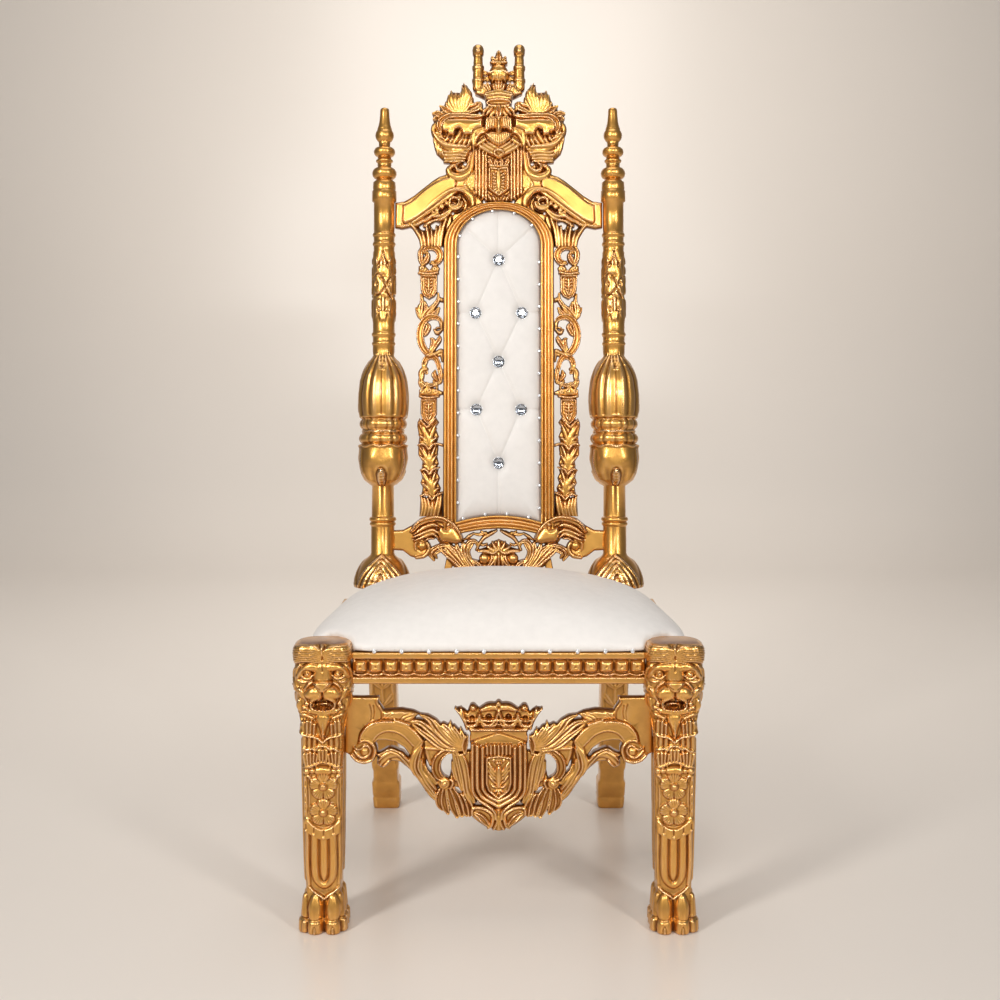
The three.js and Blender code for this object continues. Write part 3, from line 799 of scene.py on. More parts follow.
@dataclass(frozen=True)
class Gilding(Finish):
    """Bright gold leaf over carved wood, with shade painted into the recesses and a highlight painted on the
    crests.

    Args:
        name: The material's name.
        leaf: Colour of the leaf.
        painted_recess_shade: Colour of the shade painted into the recesses.
        polish: Roughness of the leaf.
    """

    name: str = "gilding"
    leaf: Point = (0.8, 0.415, 0.095)
    # Shade painted into the carving's recesses.
    painted_recess_shade: Point = (0.2, 0.058, 0.004)
    polish: float = 0.3

    def dress(self) -> bpy.types.Material:
        """Builds the material.

        Returns:
            The material.
        """
        n = Nodes(self.name)
        # The hollow attribute tells how deep each corner lies; the ramp below paints shade into the recesses
        # by it.
        hollow = n.add("ShaderNodeAttribute")
        hollow.attribute_name = "hollow"
        mottle = n.noise(38, 4)
        fine = n.noise(420, 3)
        depth = n.sum(hollow.outputs["Fac"], n.span(mottle, 0.3, 0.7, -0.1, 0.1))
        # A mid tone of painted shade; the random wear below also blends towards it.
        dark = tuple(0.55 * a + 0.45 * b for a, b in zip(self.leaf, self.painted_recess_shade))
        # A lighter colour for the crests: a painted highlight.
        bright = tuple(0.82 * a + 0.18 for a in self.leaf)
        colour = n.ramp(n.span(depth, -0.8, 0.9),
            [(0.05, bright), (0.42, self.leaf), (0.64, dark), (0.97, self.painted_recess_shade)])
        # Painted shade and highlight, with random wear blended over them.
        shaded_and_worn = n.blend(n.span(n.noise(9, 2), 0.42, 0.75, 0.0, 0.3), colour, (*dark, 1.0))
        n.put(n.shader.inputs["Base Color"], shaded_and_worn)
        n.put(n.shader.inputs["Roughness"], n.span(n.sum(depth, n.span(fine, 0.3, 0.7, -0.3, 0.3)), -1, 1,
                                                   self.polish - 0.06, self.polish + 0.16))
        n.plain(Metallic=1.0, Coat_Weight=0.6, Coat_Roughness=0.12)
        n.bump(n.sum(fine, n.span(mottle, 0, 1, 0, 2.0)), 0.16, 0.0012)
        return n.made


@dataclass(frozen=True)
class Leather(Finish):
    """Soft white upholstery leather with a fine grain."""

    name: str = "white_leather"
    colour: Point = (0.79, 0.75, 0.712)

    def dress(self) -> bpy.types.Material:
        """Builds the material.

        Returns:
            The material.
        """
        n = Nodes(self.name)
        grain = n.add("ShaderNodeTexVoronoi", Vector=n.places, Scale=900.0).outputs["Distance"]
        crease = n.noise(60, 5)
        cloud = n.noise(7, 2)
        shade = tuple(0.93 * c for c in self.colour)
        tint = n.blend(n.span(n.sum(cloud, crease), 0.7, 1.35, 0.0, 1.0), (*self.colour, 1), (*shade, 1))
        n.put(n.shader.inputs["Base Color"], tint)
        n.put(n.shader.inputs["Roughness"], n.span(crease, 0.3, 0.7, 0.4, 0.52))
        n.plain(Specular_IOR_Level=0.45, Sheen_Weight=0.12, Sheen_Roughness=0.5)
        n.bump(n.sum(grain, n.sum(crease, 1.6, "MULTIPLY")), 0.22, 0.0008)
        return n.made


@dataclass(frozen=True)
class Lining(Finish):
    """Plain woven cloth that closes the back."""

    name: str = "back_lining"
    colour: Point = (0.72, 0.68, 0.6)

    def dress(self) -> bpy.types.Material:
        """Builds the material.

        Returns:
            The material.
        """
        n = Nodes(self.name)
        threads = []
        for direction in ("X", "Z"):
            wave = n.add("ShaderNodeTexWave", Vector=n.places, Scale=420.0, Distortion=0.6)
            wave.bands_direction = direction
            threads.append(wave.outputs["Fac"])
        weave = n.sum(threads[0], threads[1])
        dark = tuple(0.75 * c for c in self.colour)
        n.put(n.shader.inputs["Base Color"], n.blend(n.span(weave, 0.2, 1.6), (*dark, 1), (*self.colour, 1)))
        n.plain(Roughness=0.9, Sheen_Weight=0.2)
        n.bump(weave, 0.3, 0.0006)
        return n.made


@dataclass(frozen=True)
class Crystal(Finish):
    """Clear cut crystal."""

    name: str = "crystal"

    def dress(self) -> bpy.types.Material:
        """Builds the material.

        Returns:
            The material.
        """
        n = Nodes(self.name)
        n.plain(Base_Color=(0.95, 0.97, 1.0, 1.0), Roughness=0.02, IOR=1.6, Transmission_Weight=1.0)
        return n.made


@dataclass(frozen=True)
class Mirror(Finish):
    """The silvered setting behind a crystal."""

    name: str = "silvered_setting"
    pale: float = 0.5
    metal: float = 1.0
    polish: float = 0.12

    def dress(self) -> bpy.types.Material:
        """Builds the material.

        Returns:
            The material.
        """
        n = Nodes(self.name)
        cloud = n.noise(900, 2)
        n.put(n.shader.inputs["Base Color"], n.ramp(cloud,
            [(0.3, (self.pale, self.pale + 0.02, self.pale + 0.05)), (0.7, (0.9, 0.92, 0.95))]))
        n.plain(Metallic=self.metal, Roughness=self.polish)
        return n.made


@dataclass(frozen=True)
class PaleFloor(Finish):
    """Pale, faintly polished floor of the studio."""

    name: str = "studio_floor"
    colour: Point = (0.8, 0.735, 0.67)

    def dress(self) -> bpy.types.Material:
        """Builds the material.

        Returns:
            The material.
        """
        n = Nodes(self.name)
        cloud = n.noise(1.2, 3)
        shade = tuple(0.97 * c for c in self.colour)
        n.put(n.shader.inputs["Base Color"], n.blend(cloud, (*self.colour, 1), (*shade, 1)))
        n.plain(Roughness=0.28)
        return n.made


GILDING = Gilding()
LEATHER = Leather()
LINING = Lining()
CRYSTAL = Crystal()
MIRROR = Mirror()
STUD = Mirror("bright_stud", pale=0.8, metal=0.6, polish=0.2)


# ------------------------------------------------------------------ the back


REST = (0.0956, 14.0, 12.0)


def back_plane() -> Plane:
    """Finds the leaning plane of the back from the rear rail.

    Returns:
        The plane.
    """
    lean, behind, above = REST
    low, high = node_box("rear_rail")
    return Plane(y=low[1] + behind, z=high[2] + above, lean=lean)


@dataclass
class Crest:
    """The arms of the crest rail with the carved cresting over them.

    Args:
        step: Pitch of the carving's grid.
        back: Height of its flat back.
        reach: Half width of the rail, between the posts.
        foot: Lowest point of its hanging leaves.
        top: Top of its spindles.
    """

    step: float = 1.0
    back: float = -12.0
    reach: float = 225.5
    foot: float = 741.5
    top: float = 1190.0

    def arm(self, r: Relief) -> None:
        """The broad S-shaped arm with its bordered field.

        Args:
            r: The carving.
        """
        outline = [(225.4, 838), (205, 841), (185, 853), (163, 871), (144, 886), (130, 895), (112, 901),
            (60, 905), (0, 905), (0, 860), (60, 866), (90, 859), (115, 840), (142, 819), (174, 797),
            (192, 784), (210, 780), (225.4, 783)]
        r.plate(outline, [(0, 1), (3, 6), (6, 7.5)])
        field_edge = [(207, 832), (188, 842), (165, 862), (146, 877), (122, 890), (100, 893), (92, 880),
            (100, 864), (119, 848), (142, 830), (172, 808), (190, 797), (207, 794)]
        r.tool(field_edge, lambda x, y: np.full(x.shape, 1.5))
        r.groove([*field_edge, field_edge[0]], 2.2, 4.6)
        r.groove([(212, 835), (189, 846), (166, 866), (147, 881), (122, 894), (96, 898)], 1.7, 2.6)
        r.groove([(212, 789), (190, 792), (172, 803), (142, 825), (118, 844), (97, 861)], 1.7, 2.6)

    def corner(self, r: Relief) -> None:
        """Rings, beads, stems and a fan of ribs in the pierced corner between the arm and the arch.

        Args:
            r: The carving.
        """
        r.plate([(190, 786.5), (175.5, 789.5), (171, 782.5), (164, 775.5), (157.5, 786.5), (149.5, 791),
            (144.5, 783), (139.5, 778.5), (133.5, 786.5), (116, 805), (101, 815.5), (101, 740), (171, 740),
            (170, 755.5), (181.5, 774)], [(0, -5), (3, 0)])
        r.plate([(156, 813), (140.5, 823), (101, 857), (86, 866.5), (70.5, 869.5), (64.5, 857), (66, 835.5),
            (75, 820), (93.5, 800), (110, 789.5), (140.5, 797)], [(0, -10), (2, -8)])
        r.pierce([(135, 821.5), (125.5, 829.5), (122.5, 827.5), (131.5, 818.5)])
        r.pierce([(106.5, 820), (97, 821.5), (98.5, 814), (105.5, 813)])
        r.strands(1, 9, [(189.5, 789.5, 4), (179.5, 777, 5), (170, 760, 5), (166.5, 741.5, 4)],
            [(166.5, 776.5, 2.5), (162, 758.5, 4.6), (159.5, 738.5, 3.5)],
            [(157.5, 789.5, 3), (152.5, 760, 4.6), (152, 738.5, 3.5)],
            [(146.5, 779.5, 2.5), (144.5, 760, 4.4), (145, 738.5, 3.5)],
            [(135, 786.5, 2.5), (137.5, 761.5, 4.6), (138.5, 738.5, 3.5)],
            [(125.5, 794, 2.5), (130, 768, 5), (132, 738.5, 4)],
            [(109.5, 812.5, 2.5), (119.5, 786.5, 5), (125, 758.5, 5), (126, 738.5, 4)])
        r.strands(2, 9, [(140.5, 807, 3), (125.5, 809, 5), (111.5, 817, 5), (101, 827, 3)],
            [(140, 798.5, 3), (125.5, 801, 4.5), (113, 808.5, 4.5), (102.5, 820, 3)], [(105.5, 835.5, 3),
            (105, 845, 4), (95, 848.5, 4), (87, 843.5, 4), (87, 836.5, 3), (93.5, 831.5, 3),
            (102.5, 832.5, 3)])
        r.strand([(164, 796.5, 4), (153, 803, 5), (142, 811, 5), (131.5, 815.5, 3)], 1, 8)
        r.strands(0, 8, [(162.5, 786.5, 3), (153, 792.5, 4.5), (142, 798.5, 4)],
            [(189.5, 786.5, 4), (175.5, 791, 5), (162, 800, 4)])
        r.strand([(108, 837, 4), (105, 828.5, 6), (95, 824, 7), (84, 828.5, 6), (79.5, 838.5, 4)], 2, 10)
        for place, radius in (((85.5, 849), 6), ((112.5, 836), 6), ((123.5, 829.5), 7), ((134, 821.5), 6),
                ((142, 815), 5)):
            r.button(place, radius, 1, 8, 0.2)
        r.plate([(50.5, 856), (68, 871), (82, 862), (70, 846.5), (67, 830.5), (77, 811.5), (45, 817),
            (31, 832.5), (37, 846.5)], [(0, -2), (4, 4)])
        r.strand([(56.5, 817, 3), (57, 838.5, 7), (63.5, 854, 10), (74, 864, 8), (91.5, 867, 6),
            (109, 863, 4.5), (132.5, 847.5, 4), (153.5, 830.5, 3)], 3, 10)

    def mantling(self, r: Relief) -> None:
        """The rolled panel at the side, with feathered leaves over and under it.

        Args:
            r: The carving.
        """
        r.plate([(30.5, 1027.5), (45, 1035.5), (42, 1054), (56.5, 1061), (61.5, 1085), (69.5, 1099.5),
            (76.5, 1102.5), (83, 1083), (103.5, 1084), (110.5, 1071), (115.5, 1051.5), (128, 1051),
            (130, 1037.5), (144, 1033.5), (142.5, 1017.5), (145, 998), (140.5, 982), (138, 962.5),
            (132.5, 945.5), (121, 942.5), (117.5, 926), (91.5, 926), (72, 928), (66.5, 944.5),
            (52.5, 956.5), (30.5, 962.5)], [(0, -7), (5, -1)])
        low, high = 1.0, 9.0
        r.strands(low, high, [(74, 1035.5, 3), (64, 1051.5, 5), (59, 1063, 5), (59.5, 1073, 1)],
            [(77, 1035.5, 3), (69, 1057, 5), (63.5, 1074, 6), (64.5, 1088, 1)],
            [(80, 1035.5, 3), (74.5, 1059, 6), (69.5, 1081, 7), (76.5, 1102.5, 0.6)],
            [(82.5, 1035.5, 3), (81, 1057, 5), (77, 1077, 6), (80, 1097, 0.6)],
            [(85, 1035.5, 3), (87, 1055, 5), (85, 1069, 5.5), (82.5, 1082, 1)],
            [(87, 1035.5, 3), (93, 1053, 5), (94, 1067, 6), (93, 1080, 2)],
            [(89.5, 1035.5, 3), (98.5, 1051.5, 5.5), (102.5, 1067, 6.5), (103.5, 1083, 2)],
            [(92, 1035.5, 3), (103.5, 1047.5, 5.5), (108.5, 1059, 6), (109, 1074, 2)],
            [(94.5, 1034.5, 3), (107.5, 1043.5, 5), (113.5, 1051.5, 5), (115.5, 1059.5, 1)],
            [(70.5, 1043.5, 3), (61.5, 1051.5, 5), (53, 1054, 5), (45, 1059, 2)],
            [(32.5, 1031.5, 4), (37, 1041.5, 5), (45, 1049.5, 4)])
        r.strands(low, high - 1, [(98.5, 1033.5, 4), (113.5, 1041.5, 7), (128, 1051, 2)],
            [(117, 1027.5, 4), (131, 1033.5, 7.5), (144, 1034.5, 2)],
            [(125, 1019.5, 4), (135.5, 1023.5, 6), (142.5, 1023, 2)],
            [(101.5, 1032.5, 3), (117, 1035.5, 4.5), (127, 1038.5, 2)], cut=Cut.HOLLOW)
        r.strand([(67.5, 1035.5, 4), (56.5, 1040.5, 6), (46, 1044.5, 7), (40, 1052, 6), (42, 1058, 3)],
            low + 1, high, Cut.VEIN)
        panel = [(35, 1022.5), (47, 1019.5), (80, 1020.5), (109.5, 1020), (120, 1014.5), (124, 1004),
            (122.5, 994), (112, 991), (109.5, 984.5), (96.5, 984.5), (94, 996), (87, 999.5), (81, 995),
            (77, 984.5), (56.5, 985.5), (54.5, 994), (45, 999.5), (35, 1002)]
        r.plate(panel, [(0, 8), (1.4, 16), (4, 17.5), (12, 19)])
        r.strand([(33.5, 1028, 3), (54.5, 1026.5, 5), (84, 1027.5, 5.5), (109.5, 1026, 6),
            (124, 1016.5, 6.5), (128.5, 1004, 6), (126, 991, 3)], 10, 11, Cut.HOLLOW)
        r.strand([(113.5, 1030.5, 3), (129, 1021.5, 4), (135, 1006, 4), (132.5, 990, 3)], 4, 8)
        r.strand([(132, 1014.5, 3), (140.5, 1008, 5), (142.5, 994, 5.5), (138.5, 978, 3)], 2, 8)
        r.plate([(142.5, 990), (111, 992), (54.5, 992), (54.5, 958.5), (70, 931), (117, 927),
            (136.5, 946.5)], [(0, -2), (6, 5)])
        r.strand([(142.5, 991, 3), (132.5, 977, 6), (119, 966, 7), (99.5, 962, 6), (70.5, 960, 4)], 5, 10)
        r.strands(4, 9, [(122, 984, 2), (130.5, 988.5, 3.2), (139.5, 991, 2)],
            [(118, 977, 2), (129, 982.5, 3.4), (137.5, 986, 2)],
            [(118, 970.5, 3), (111, 979, 4.5), (112, 986, 2)],
            [(109, 965.5, 3), (102, 975, 5), (100, 983.5, 2)],
            [(99.5, 964.5, 3), (91.5, 977, 6), (85, 990, 5.5), (86.5, 997.5, 1)],
            [(89, 963.5, 3), (81, 974, 5), (77, 983, 3)], [(77, 963.5, 3), (72, 974, 5), (70.5, 983, 3)],
            [(66.5, 962.5, 3), (62.5, 973.5, 5), (60.5, 983, 3)])
        r.strands(1, 9, [(61.5, 955.5, 2), (84, 954, 4.6), (105.5, 955, 5), (123, 962.5, 4),
            (131.5, 973.5, 3)], [(68.5, 947.5, 2), (88, 949.5, 4.6), (109, 948, 4.6), (124, 952.5, 3)],
            [(71, 940.5, 2), (89.5, 942.5, 4.6), (107, 941.5, 4.6), (120, 942.5, 3)],
            [(72, 934, 2), (91.5, 935, 4.6), (105.5, 934.5, 4.4), (118, 934, 3)],
            [(73, 928.5, 2), (89.5, 928.5, 4), (105.5, 928, 4), (118, 928, 3)],
            [(124, 962.5, 3), (125, 952.5, 4.6), (121.5, 943.5, 3)],
            [(130.5, 971.5, 3), (130.5, 958.5, 5), (127.5, 945.5, 3)],
            [(137, 981, 3), (136.5, 964.5, 5), (133, 947, 3)],
            [(141.5, 984, 2), (140.5, 974, 3), (138, 962.5, 2)])

    def chest(self, r: Relief) -> None:
        """The bib of petals, the crossed scarf and the drapery between the mantling.

        Args:
            r: The carving.
        """
        r.plate([(-2, 1047.5), (23.5, 1047.5), (33.5, 1035.5), (37, 1002), (56.5, 990), (56.5, 958.5),
            (45, 952.5), (-2, 931), (-13.5, 931), (-13.5, 1045.5)], [(0, -2), (4, 3)])
        r.strands(4, 9, [(32.5, 1001, 4), (46, 997.5, 6), (53.5, 988, 6), (55, 970.5, 5), (54.5, 956.5, 2)],
            [(31.5, 992, 3), (42, 989, 5), (49, 978, 5), (52.5, 962.5, 2)],
            [(31, 997, 2), (41, 994, 2.5), (47, 990, 2)])
        r.plate([(30.5, 983), (37, 978), (49, 966.5), (51, 959.5), (42, 962.5), (23.5, 973.5)],
            [(0, 8), (1.4, 12), (5, 13)])
        r.strands(6, 10, [(40, 959.5, 5), (21.5, 949, 5.5), (-2, 937, 6)],
            [(32.5, 964.5, 4.6), (17.5, 955, 5), (-2, 944.5, 5.5)],
            [(24, 968.5, 4), (13, 961, 4.6), (-2, 952.5, 5)])
        bib = [(-2, 990), (14, 994), (29.5, 988.5), (25.5, 977), (14.5, 966.5), (0, 959), (-13.5, 964.5),
            (-13.5, 990)]
        r.plate(bib, [(0, 8), (1.5, 14), (6, 17)])
        r.tool(bib, lambda x, y: 1.2 * np.cos(2 * np.pi * x / 5.4 * (1 + (y - 965) / 90)))
        r.plate([(4, 1023.5), (14, 1027), (29, 1021.5), (30, 994), (26.5, 992), (21.5, 994), (15.5, 998.5),
            (11.5, 995.5), (6, 1002)], [(0, 13), (1.5, 19), (6, 21)])
        for rib in ([(7.5, 1021.5), (8.5, 1000)], [(13, 1023.5), (14.5, 1000)], [(18, 1022.5), (20, 996)],
                [(23, 1021.5), (25.5, 994)]):
            r.groove(rib, 1.7, 3)
        r.leaf((0, 1021.5), (0, 987.5), 9, 0, 14, 10, Cut.RIDGE)
        r.leaf((-5, 1021.5), (-5, 994), 6, 0, 13, 8)
        r.strands(10, 10, [(6, 1044.5, 4), (10.5, 1033.5, 6), (19, 1026.5, 3)],
            [(14.5, 1044.5, 4), (20.5, 1036.5, 5), (26.5, 1028.5, 3)],
            [(22.5, 1045.5, 4), (30.5, 1038.5, 5), (33.5, 1031.5, 3)])
        r.leaf((0, 1046.5), (0, 1017.5), 9, 0, 15, 11, Cut.VEIN)

    def panel(self, r: Relief) -> None:
        """The fluted panel with its small crowned shield.

        Args:
            r: The carving.
        """
        r.plate([(-2, 942.5), (51, 956.5), (53.5, 942.5), (52, 858), (37, 848.5), (21.5, 836.5),
            (-13.5, 836.5), (-13.5, 942.5)], [(0, 0), (3, 5)])
        for top, foot, half in (((49, 952.5), (49, 856), 3.2), ((42, 952.5), (42, 852), 3.4), ((34, 948.5),
                (34.5, 846.5), 3.4), ((27.5, 944.5), (27.5, 842), 2.8)):
            r.strand([(*top, half), (*foot, half)], 3, 9, swell=0)
        r.strands(3, 9, [(22.5, 855, 3), (19, 846.5, 4), (15.5, 839.5, 2.5)],
            [(13.5, 850.5, 3), (10, 844.5, 4), (7.5, 837.5, 2.5)], [(0, 846.5, 2.5), (0, 836.5, 2.5)])
        for root, tip in (((5, 917), (5.5, 933)), ((14.5, 917), (20, 933.5)), ((-6, 917), (-6, 933))):
            r.leaf(root, tip, 6, -1, 6, 10)
        r.strand([(-13.5, 916, 2.6), (0, 917, 2.8), (20, 917, 3)], 8, 9)
        shield = [(0, 849.5), (13.5, 859), (22.5, 866), (22.5, 913), (17.5, 915), (0, 913), (-25, 915),
            (-25, 866), (-13.5, 858)]
        r.plate(shield, [(0, 7), (1.2, 15), (3.4, 16), (4.2, 10), (8, 10.5)])
        r.strand([(0, 909.5, 3), (0, 901.5, 5.5), (0, 887.5, 7), (0, 872, 6), (0, 857, 1.5)], 10, 8)
        for root, tip in (((1, 899.5), (9, 906.5)), ((3, 894.5), (15.5, 901.5)), ((3, 888.5),
                (15.5, 893.5)), ((3, 882.5), (15.5, 885.5)), ((3, 877), (15.5, 877.5)), ((2.5, 871.5),
                (15, 869.5)), ((2, 867), (12, 863)), ((1, 863), (6.5, 858))):
            r.leaf(root, tip, 2.8, 0, 10, 6, Cut.ROUND)

    def scroll(self, r: Relief) -> None:
        """The ear-shaped scroll beside the panel, with the leaf under it.

        Args:
            r: The carving.
        """
        r.plate([(52.5, 956.5), (70, 931), (91.5, 926), (105, 922), (113.5, 911), (113, 899.5),
            (101.5, 886.5), (80, 886), (66.5, 895.5), (56.5, 907.5), (52.5, 923)], [(0, -3), (3, 1)],
            rounded=True)
        r.strand([(54.5, 952.5, 3), (58, 933, 5.5), (60.5, 915, 7), (69, 900.5, 10), (85.5, 893.5, 11),
            (102.5, 898.5, 9), (108.5, 910, 7), (100.5, 918, 5), (90.5, 920.5, 3)], 2, 11)
        r.strand([(60.5, 946.5, 3), (65, 929, 4), (68, 915, 5), (79, 906.5, 5.5), (90, 909, 5),
            (91.5, 919, 3.5), (84, 924.5, 2)], 5, 11)
        r.button((77.5, 916), 4.5, 5, 9, 0.2)
        r.pierce([(68.5, 927), (76, 926), (76.5, 920.5), (70, 920)])
        r.strand([(53.5, 907.5, 3), (60, 893.5, 7), (66.5, 881.5, 8), (63.5, 870, 7), (51.5, 857, 3)], 1, 9,
            Cut.REED)
        r.strand([(64.5, 891.5, 3), (72.5, 880.5, 4), (72, 874, 4), (56.5, 858, 2)], 1, 9)

    def crown(self, r: Relief) -> None:
        """The crown with its scalloped leaves over an oval rim.

        Args:
            r: The carving.
        """
        r.plate([(-2, 1105.5), (12, 1100.5), (25.5, 1101.5), (35.5, 1099), (51, 1081), (49, 1076),
            (30.5, 1067), (28.5, 1053), (23.5, 1047.5), (-2, 1045.5), (-13.5, 1047.5), (-13.5, 1104.5)],
            [(0, -4), (3, 6)])
        for tip in ((50, 1083), (51.5, 1078), (42, 1089)):
            r.leaf((28.5, 1074), tip, 5, 2, 6, 9)
        for root, tip in (((22.5, 1080), (34.5, 1099)), ((18.5, 1080), (26.5, 1101.5)), ((26.5, 1078),
                (38, 1093))):
            r.leaf(root, tip, 5, 0, 7, 9)
        for root, tip in (((0, 1081), (0, 1107)), ((4, 1081), (7, 1104.5)), ((8, 1081), (13, 1099))):
            r.leaf(root, tip, 4.4, 0, 10, 10, Cut.RIDGE)
        r.strand([(-25.5, 1074, 5.5), (0, 1078, 6.5), (26.5, 1073, 5.5)], 9, 10, Cut.FLAT, 0)
        r.groove([(-25.5, 1075.5), (0, 1080), (26.5, 1074.5)], 1.3, 1.8)
        for x in (785, 815, 845, 872):
            r.groove([(0.197 * (x - 769), 1072), (0.197 * (x - 769), 1062)], 1.2, 1.6)
        r.strand([(-25.5, 1066, 3.4), (0, 1068.5, 4), (26.5, 1065, 3.4)], 9, 7, swell=0)
        r.strand([(-30, 1056, 2.5), (-17.5, 1055, 8), (0, 1055, 10), (17.5, 1055, 8), (24.5, 1056, 2.5)], 8,
            12, Cut.HOLLOW, 0.2)

    def helm(self, r: Relief) -> None:
        """The helm with its plume, tied to a turned spindle at each side.

        Args:
            r: The carving.
        """
        r.plate([(0, 1098), (9, 1104), (15, 1099), (20, 1108), (24, 1117), (20, 1130), (14, 1141),
            (0, 1147), (-14, 1141), (-20, 1100)], [(0, 2), (3, 9), (9, 15), (16, 17)])
        r.strand([(-23, 1121, 3.4), (0, 1126, 3.6), (23, 1121, 3.4)], 9, 9)
        r.groove([(0, 1118), (0, 1100)], 1.6, 2.5)
        r.strand([(0, 1144, 7), (0, 1158, 8), (0, 1166, 6), (0, 1173, 1)], 3, 10, Cut.VEIN)
        r.leaf((4, 1146), (15, 1161), 5, -2, 2, 9)
        r.strand([(-16, 1146, 3.5), (16, 1146, 3.5)], 4, 9)
        r.strands(-4, 9, [(18, 1122, 4), (34, 1125, 5), (44, 1121, 4)],
            [(18, 1110, 4), (32, 1112, 4.5), (44, 1109, 4)], cut=Cut.BAND)

    def spindle(self, r: Relief) -> None:
        """A turned spindle beside the helm, with a button on its head.

        Args:
            r: The carving.
        """
        levels = [(1083, 7), (1087, 11), (1092, 12), (1103, 12), (1105, 13.5), (1110, 13.5), (1112, 11.5),
            (1130, 11), (1133, 13), (1139, 13), (1141, 10.5), (1155, 10), (1163, 9), (1166, 12),
            (1176, 12.5), (1182, 11), (1187, 6)]
        heights, radii = zip(*levels)
        place = r.window((30, 1083), (60, 1187))
        x, y = r.x[place], r.y[place]
        radius = np.interp(y, heights, radii)
        across = np.abs(x - 45)
        distance = np.where((y > heights[0]) & (y < heights[-1]), across - radius, 5.0)
        r.lay(place, distance, 12 * np.sqrt(np.clip(1 - (across / radius)**2, 0, 1)) * radius / 12)
        r.button((45, 1172), 6.5, 10, 7, 0.2)

    def make(self) -> None:
        """Carves the crest rail and casts it."""
        half = Relief(grid(0, self.reach, self.step), grid(self.foot, self.top, 1.45 * self.step))
        for carve in (self.arm, self.corner, self.mantling, self.scroll, self.panel, self.chest, self.crown,
                self.helm, self.spindle):
            carve(half)
        half.edge = np.maximum(half.edge, ArchFrame().inside(half.x, half.y, ArchFrame.width + 0.4))
        half.edge = np.maximum(half.edge, half.x - 225.3)
        half.mirror()
        half.strand([(12, 942, 2), (5, 950, 4), (-7, 950, 4), (-9, 941, 3), (-3, 938, 3)], 12, 9)
        hand_in(half.cast("crest_carving", back_plane(), self.back, GILDING), "gilding", "crest_rail",
            keep=0.62)


@dataclass
class ArchFrame:
    """The moulded arch round the back pad, with its raised sill.

    Args:
        half: Half width of its opening.
        width: Width of the moulding.
        spring: Height where the arch begins.
        crown: Top of the opening.
        sill: Middle of the opening's bottom edge.
    """

    half: float = 90.0
    spring: float = 744.0
    crown: float = 821.0
    sill: float = 161.0
    width: float = 30.0
    SECTION = ((0.3, -14), (0.3, 7), (1.2, 11), (3.2, 13), (5.2, 11.6), (6.2, 7.5), (7.2, 7.5), (8.4, 13),
        (10.4, 16.2), (12.6, 15), (13.8, 10), (14.8, 10), (16.2, 14.6), (18.2, 16.2), (20.2, 14),
        (21.2, 8.6), (22.4, 8.8), (23.8, 12.4), (26, 13.2), (28, 10.8), (29.2, 6), (30, 2), (30, -14))

    def outline(self, offset: float, arch: int = 48, sides: int = 24, base: int = 20) -> Array:
        """The frame's line, counter-clockwise from the right spring.

        Args:
            offset: How far outside the opening it runs.
            arch: Corners along the arch.
            sides: Corners along each side.
            base: Corners along the sill.

        Returns:
            Rows of x and y.
        """
        half = self.half + offset
        rise = self.crown - self.spring + 0.63 * offset
        turn = np.linspace(0, np.pi, arch, endpoint=False)
        top = np.column_stack([half * np.cos(turn), self.spring + rise * np.sin(turn)])
        drop = 14 + 0.3 * offset
        foot = self.sill - offset - drop
        down = np.linspace(0, 1, sides, endpoint=False)[:, None]
        left = np.array([-half, self.spring]) * (1 - down) + np.array([-half, foot]) * down
        across = np.linspace(-1, 1, base, endpoint=False)
        sill = np.column_stack([across * half, self.sill - offset - drop * across**2])
        up = left[::-1] * (-1, 1)
        right = np.vstack([[half, foot], up[:-1]])
        return np.vstack([top, left, sill, right])

    def inside(self, x: Array, y: Array, offset: float) -> Array:
        """Depth of points inside the frame's line, positive inside."""
        return -polygon_distance(self.outline(offset, 24, 2, 10), x, y)

    def make(self) -> None:
        """Sweeps the moulding's section round the frame."""
        rings = [np.column_stack([line, np.full(len(line), z)])
                 for offset, z in self.SECTION for line in (self.outline(offset),)]
        points = back_plane().place(np.vstack(rings))
        faces = band_faces(len(rings), len(rings[0]))
        last = (len(rings) - 1) * len(rings[0])
        count = len(rings[0])
        faces += [[last + i, last + (i + 1) % count, (i + 1) % count, i] for i in range(count)]
        # Depth across the moulding's section, with 0.2 on the back, by which the gilding paints shade in its
        # grooves.
        deep = np.repeat([(13 - z) / 9 if z > 0 else 0.2 for _, z in self.SECTION], count)
        piece = make_mesh("arch_moulding", points, faces, GILDING, np.clip(deep, -0.6, 1))
        hand_in(piece, "gilding", "arch_frame")


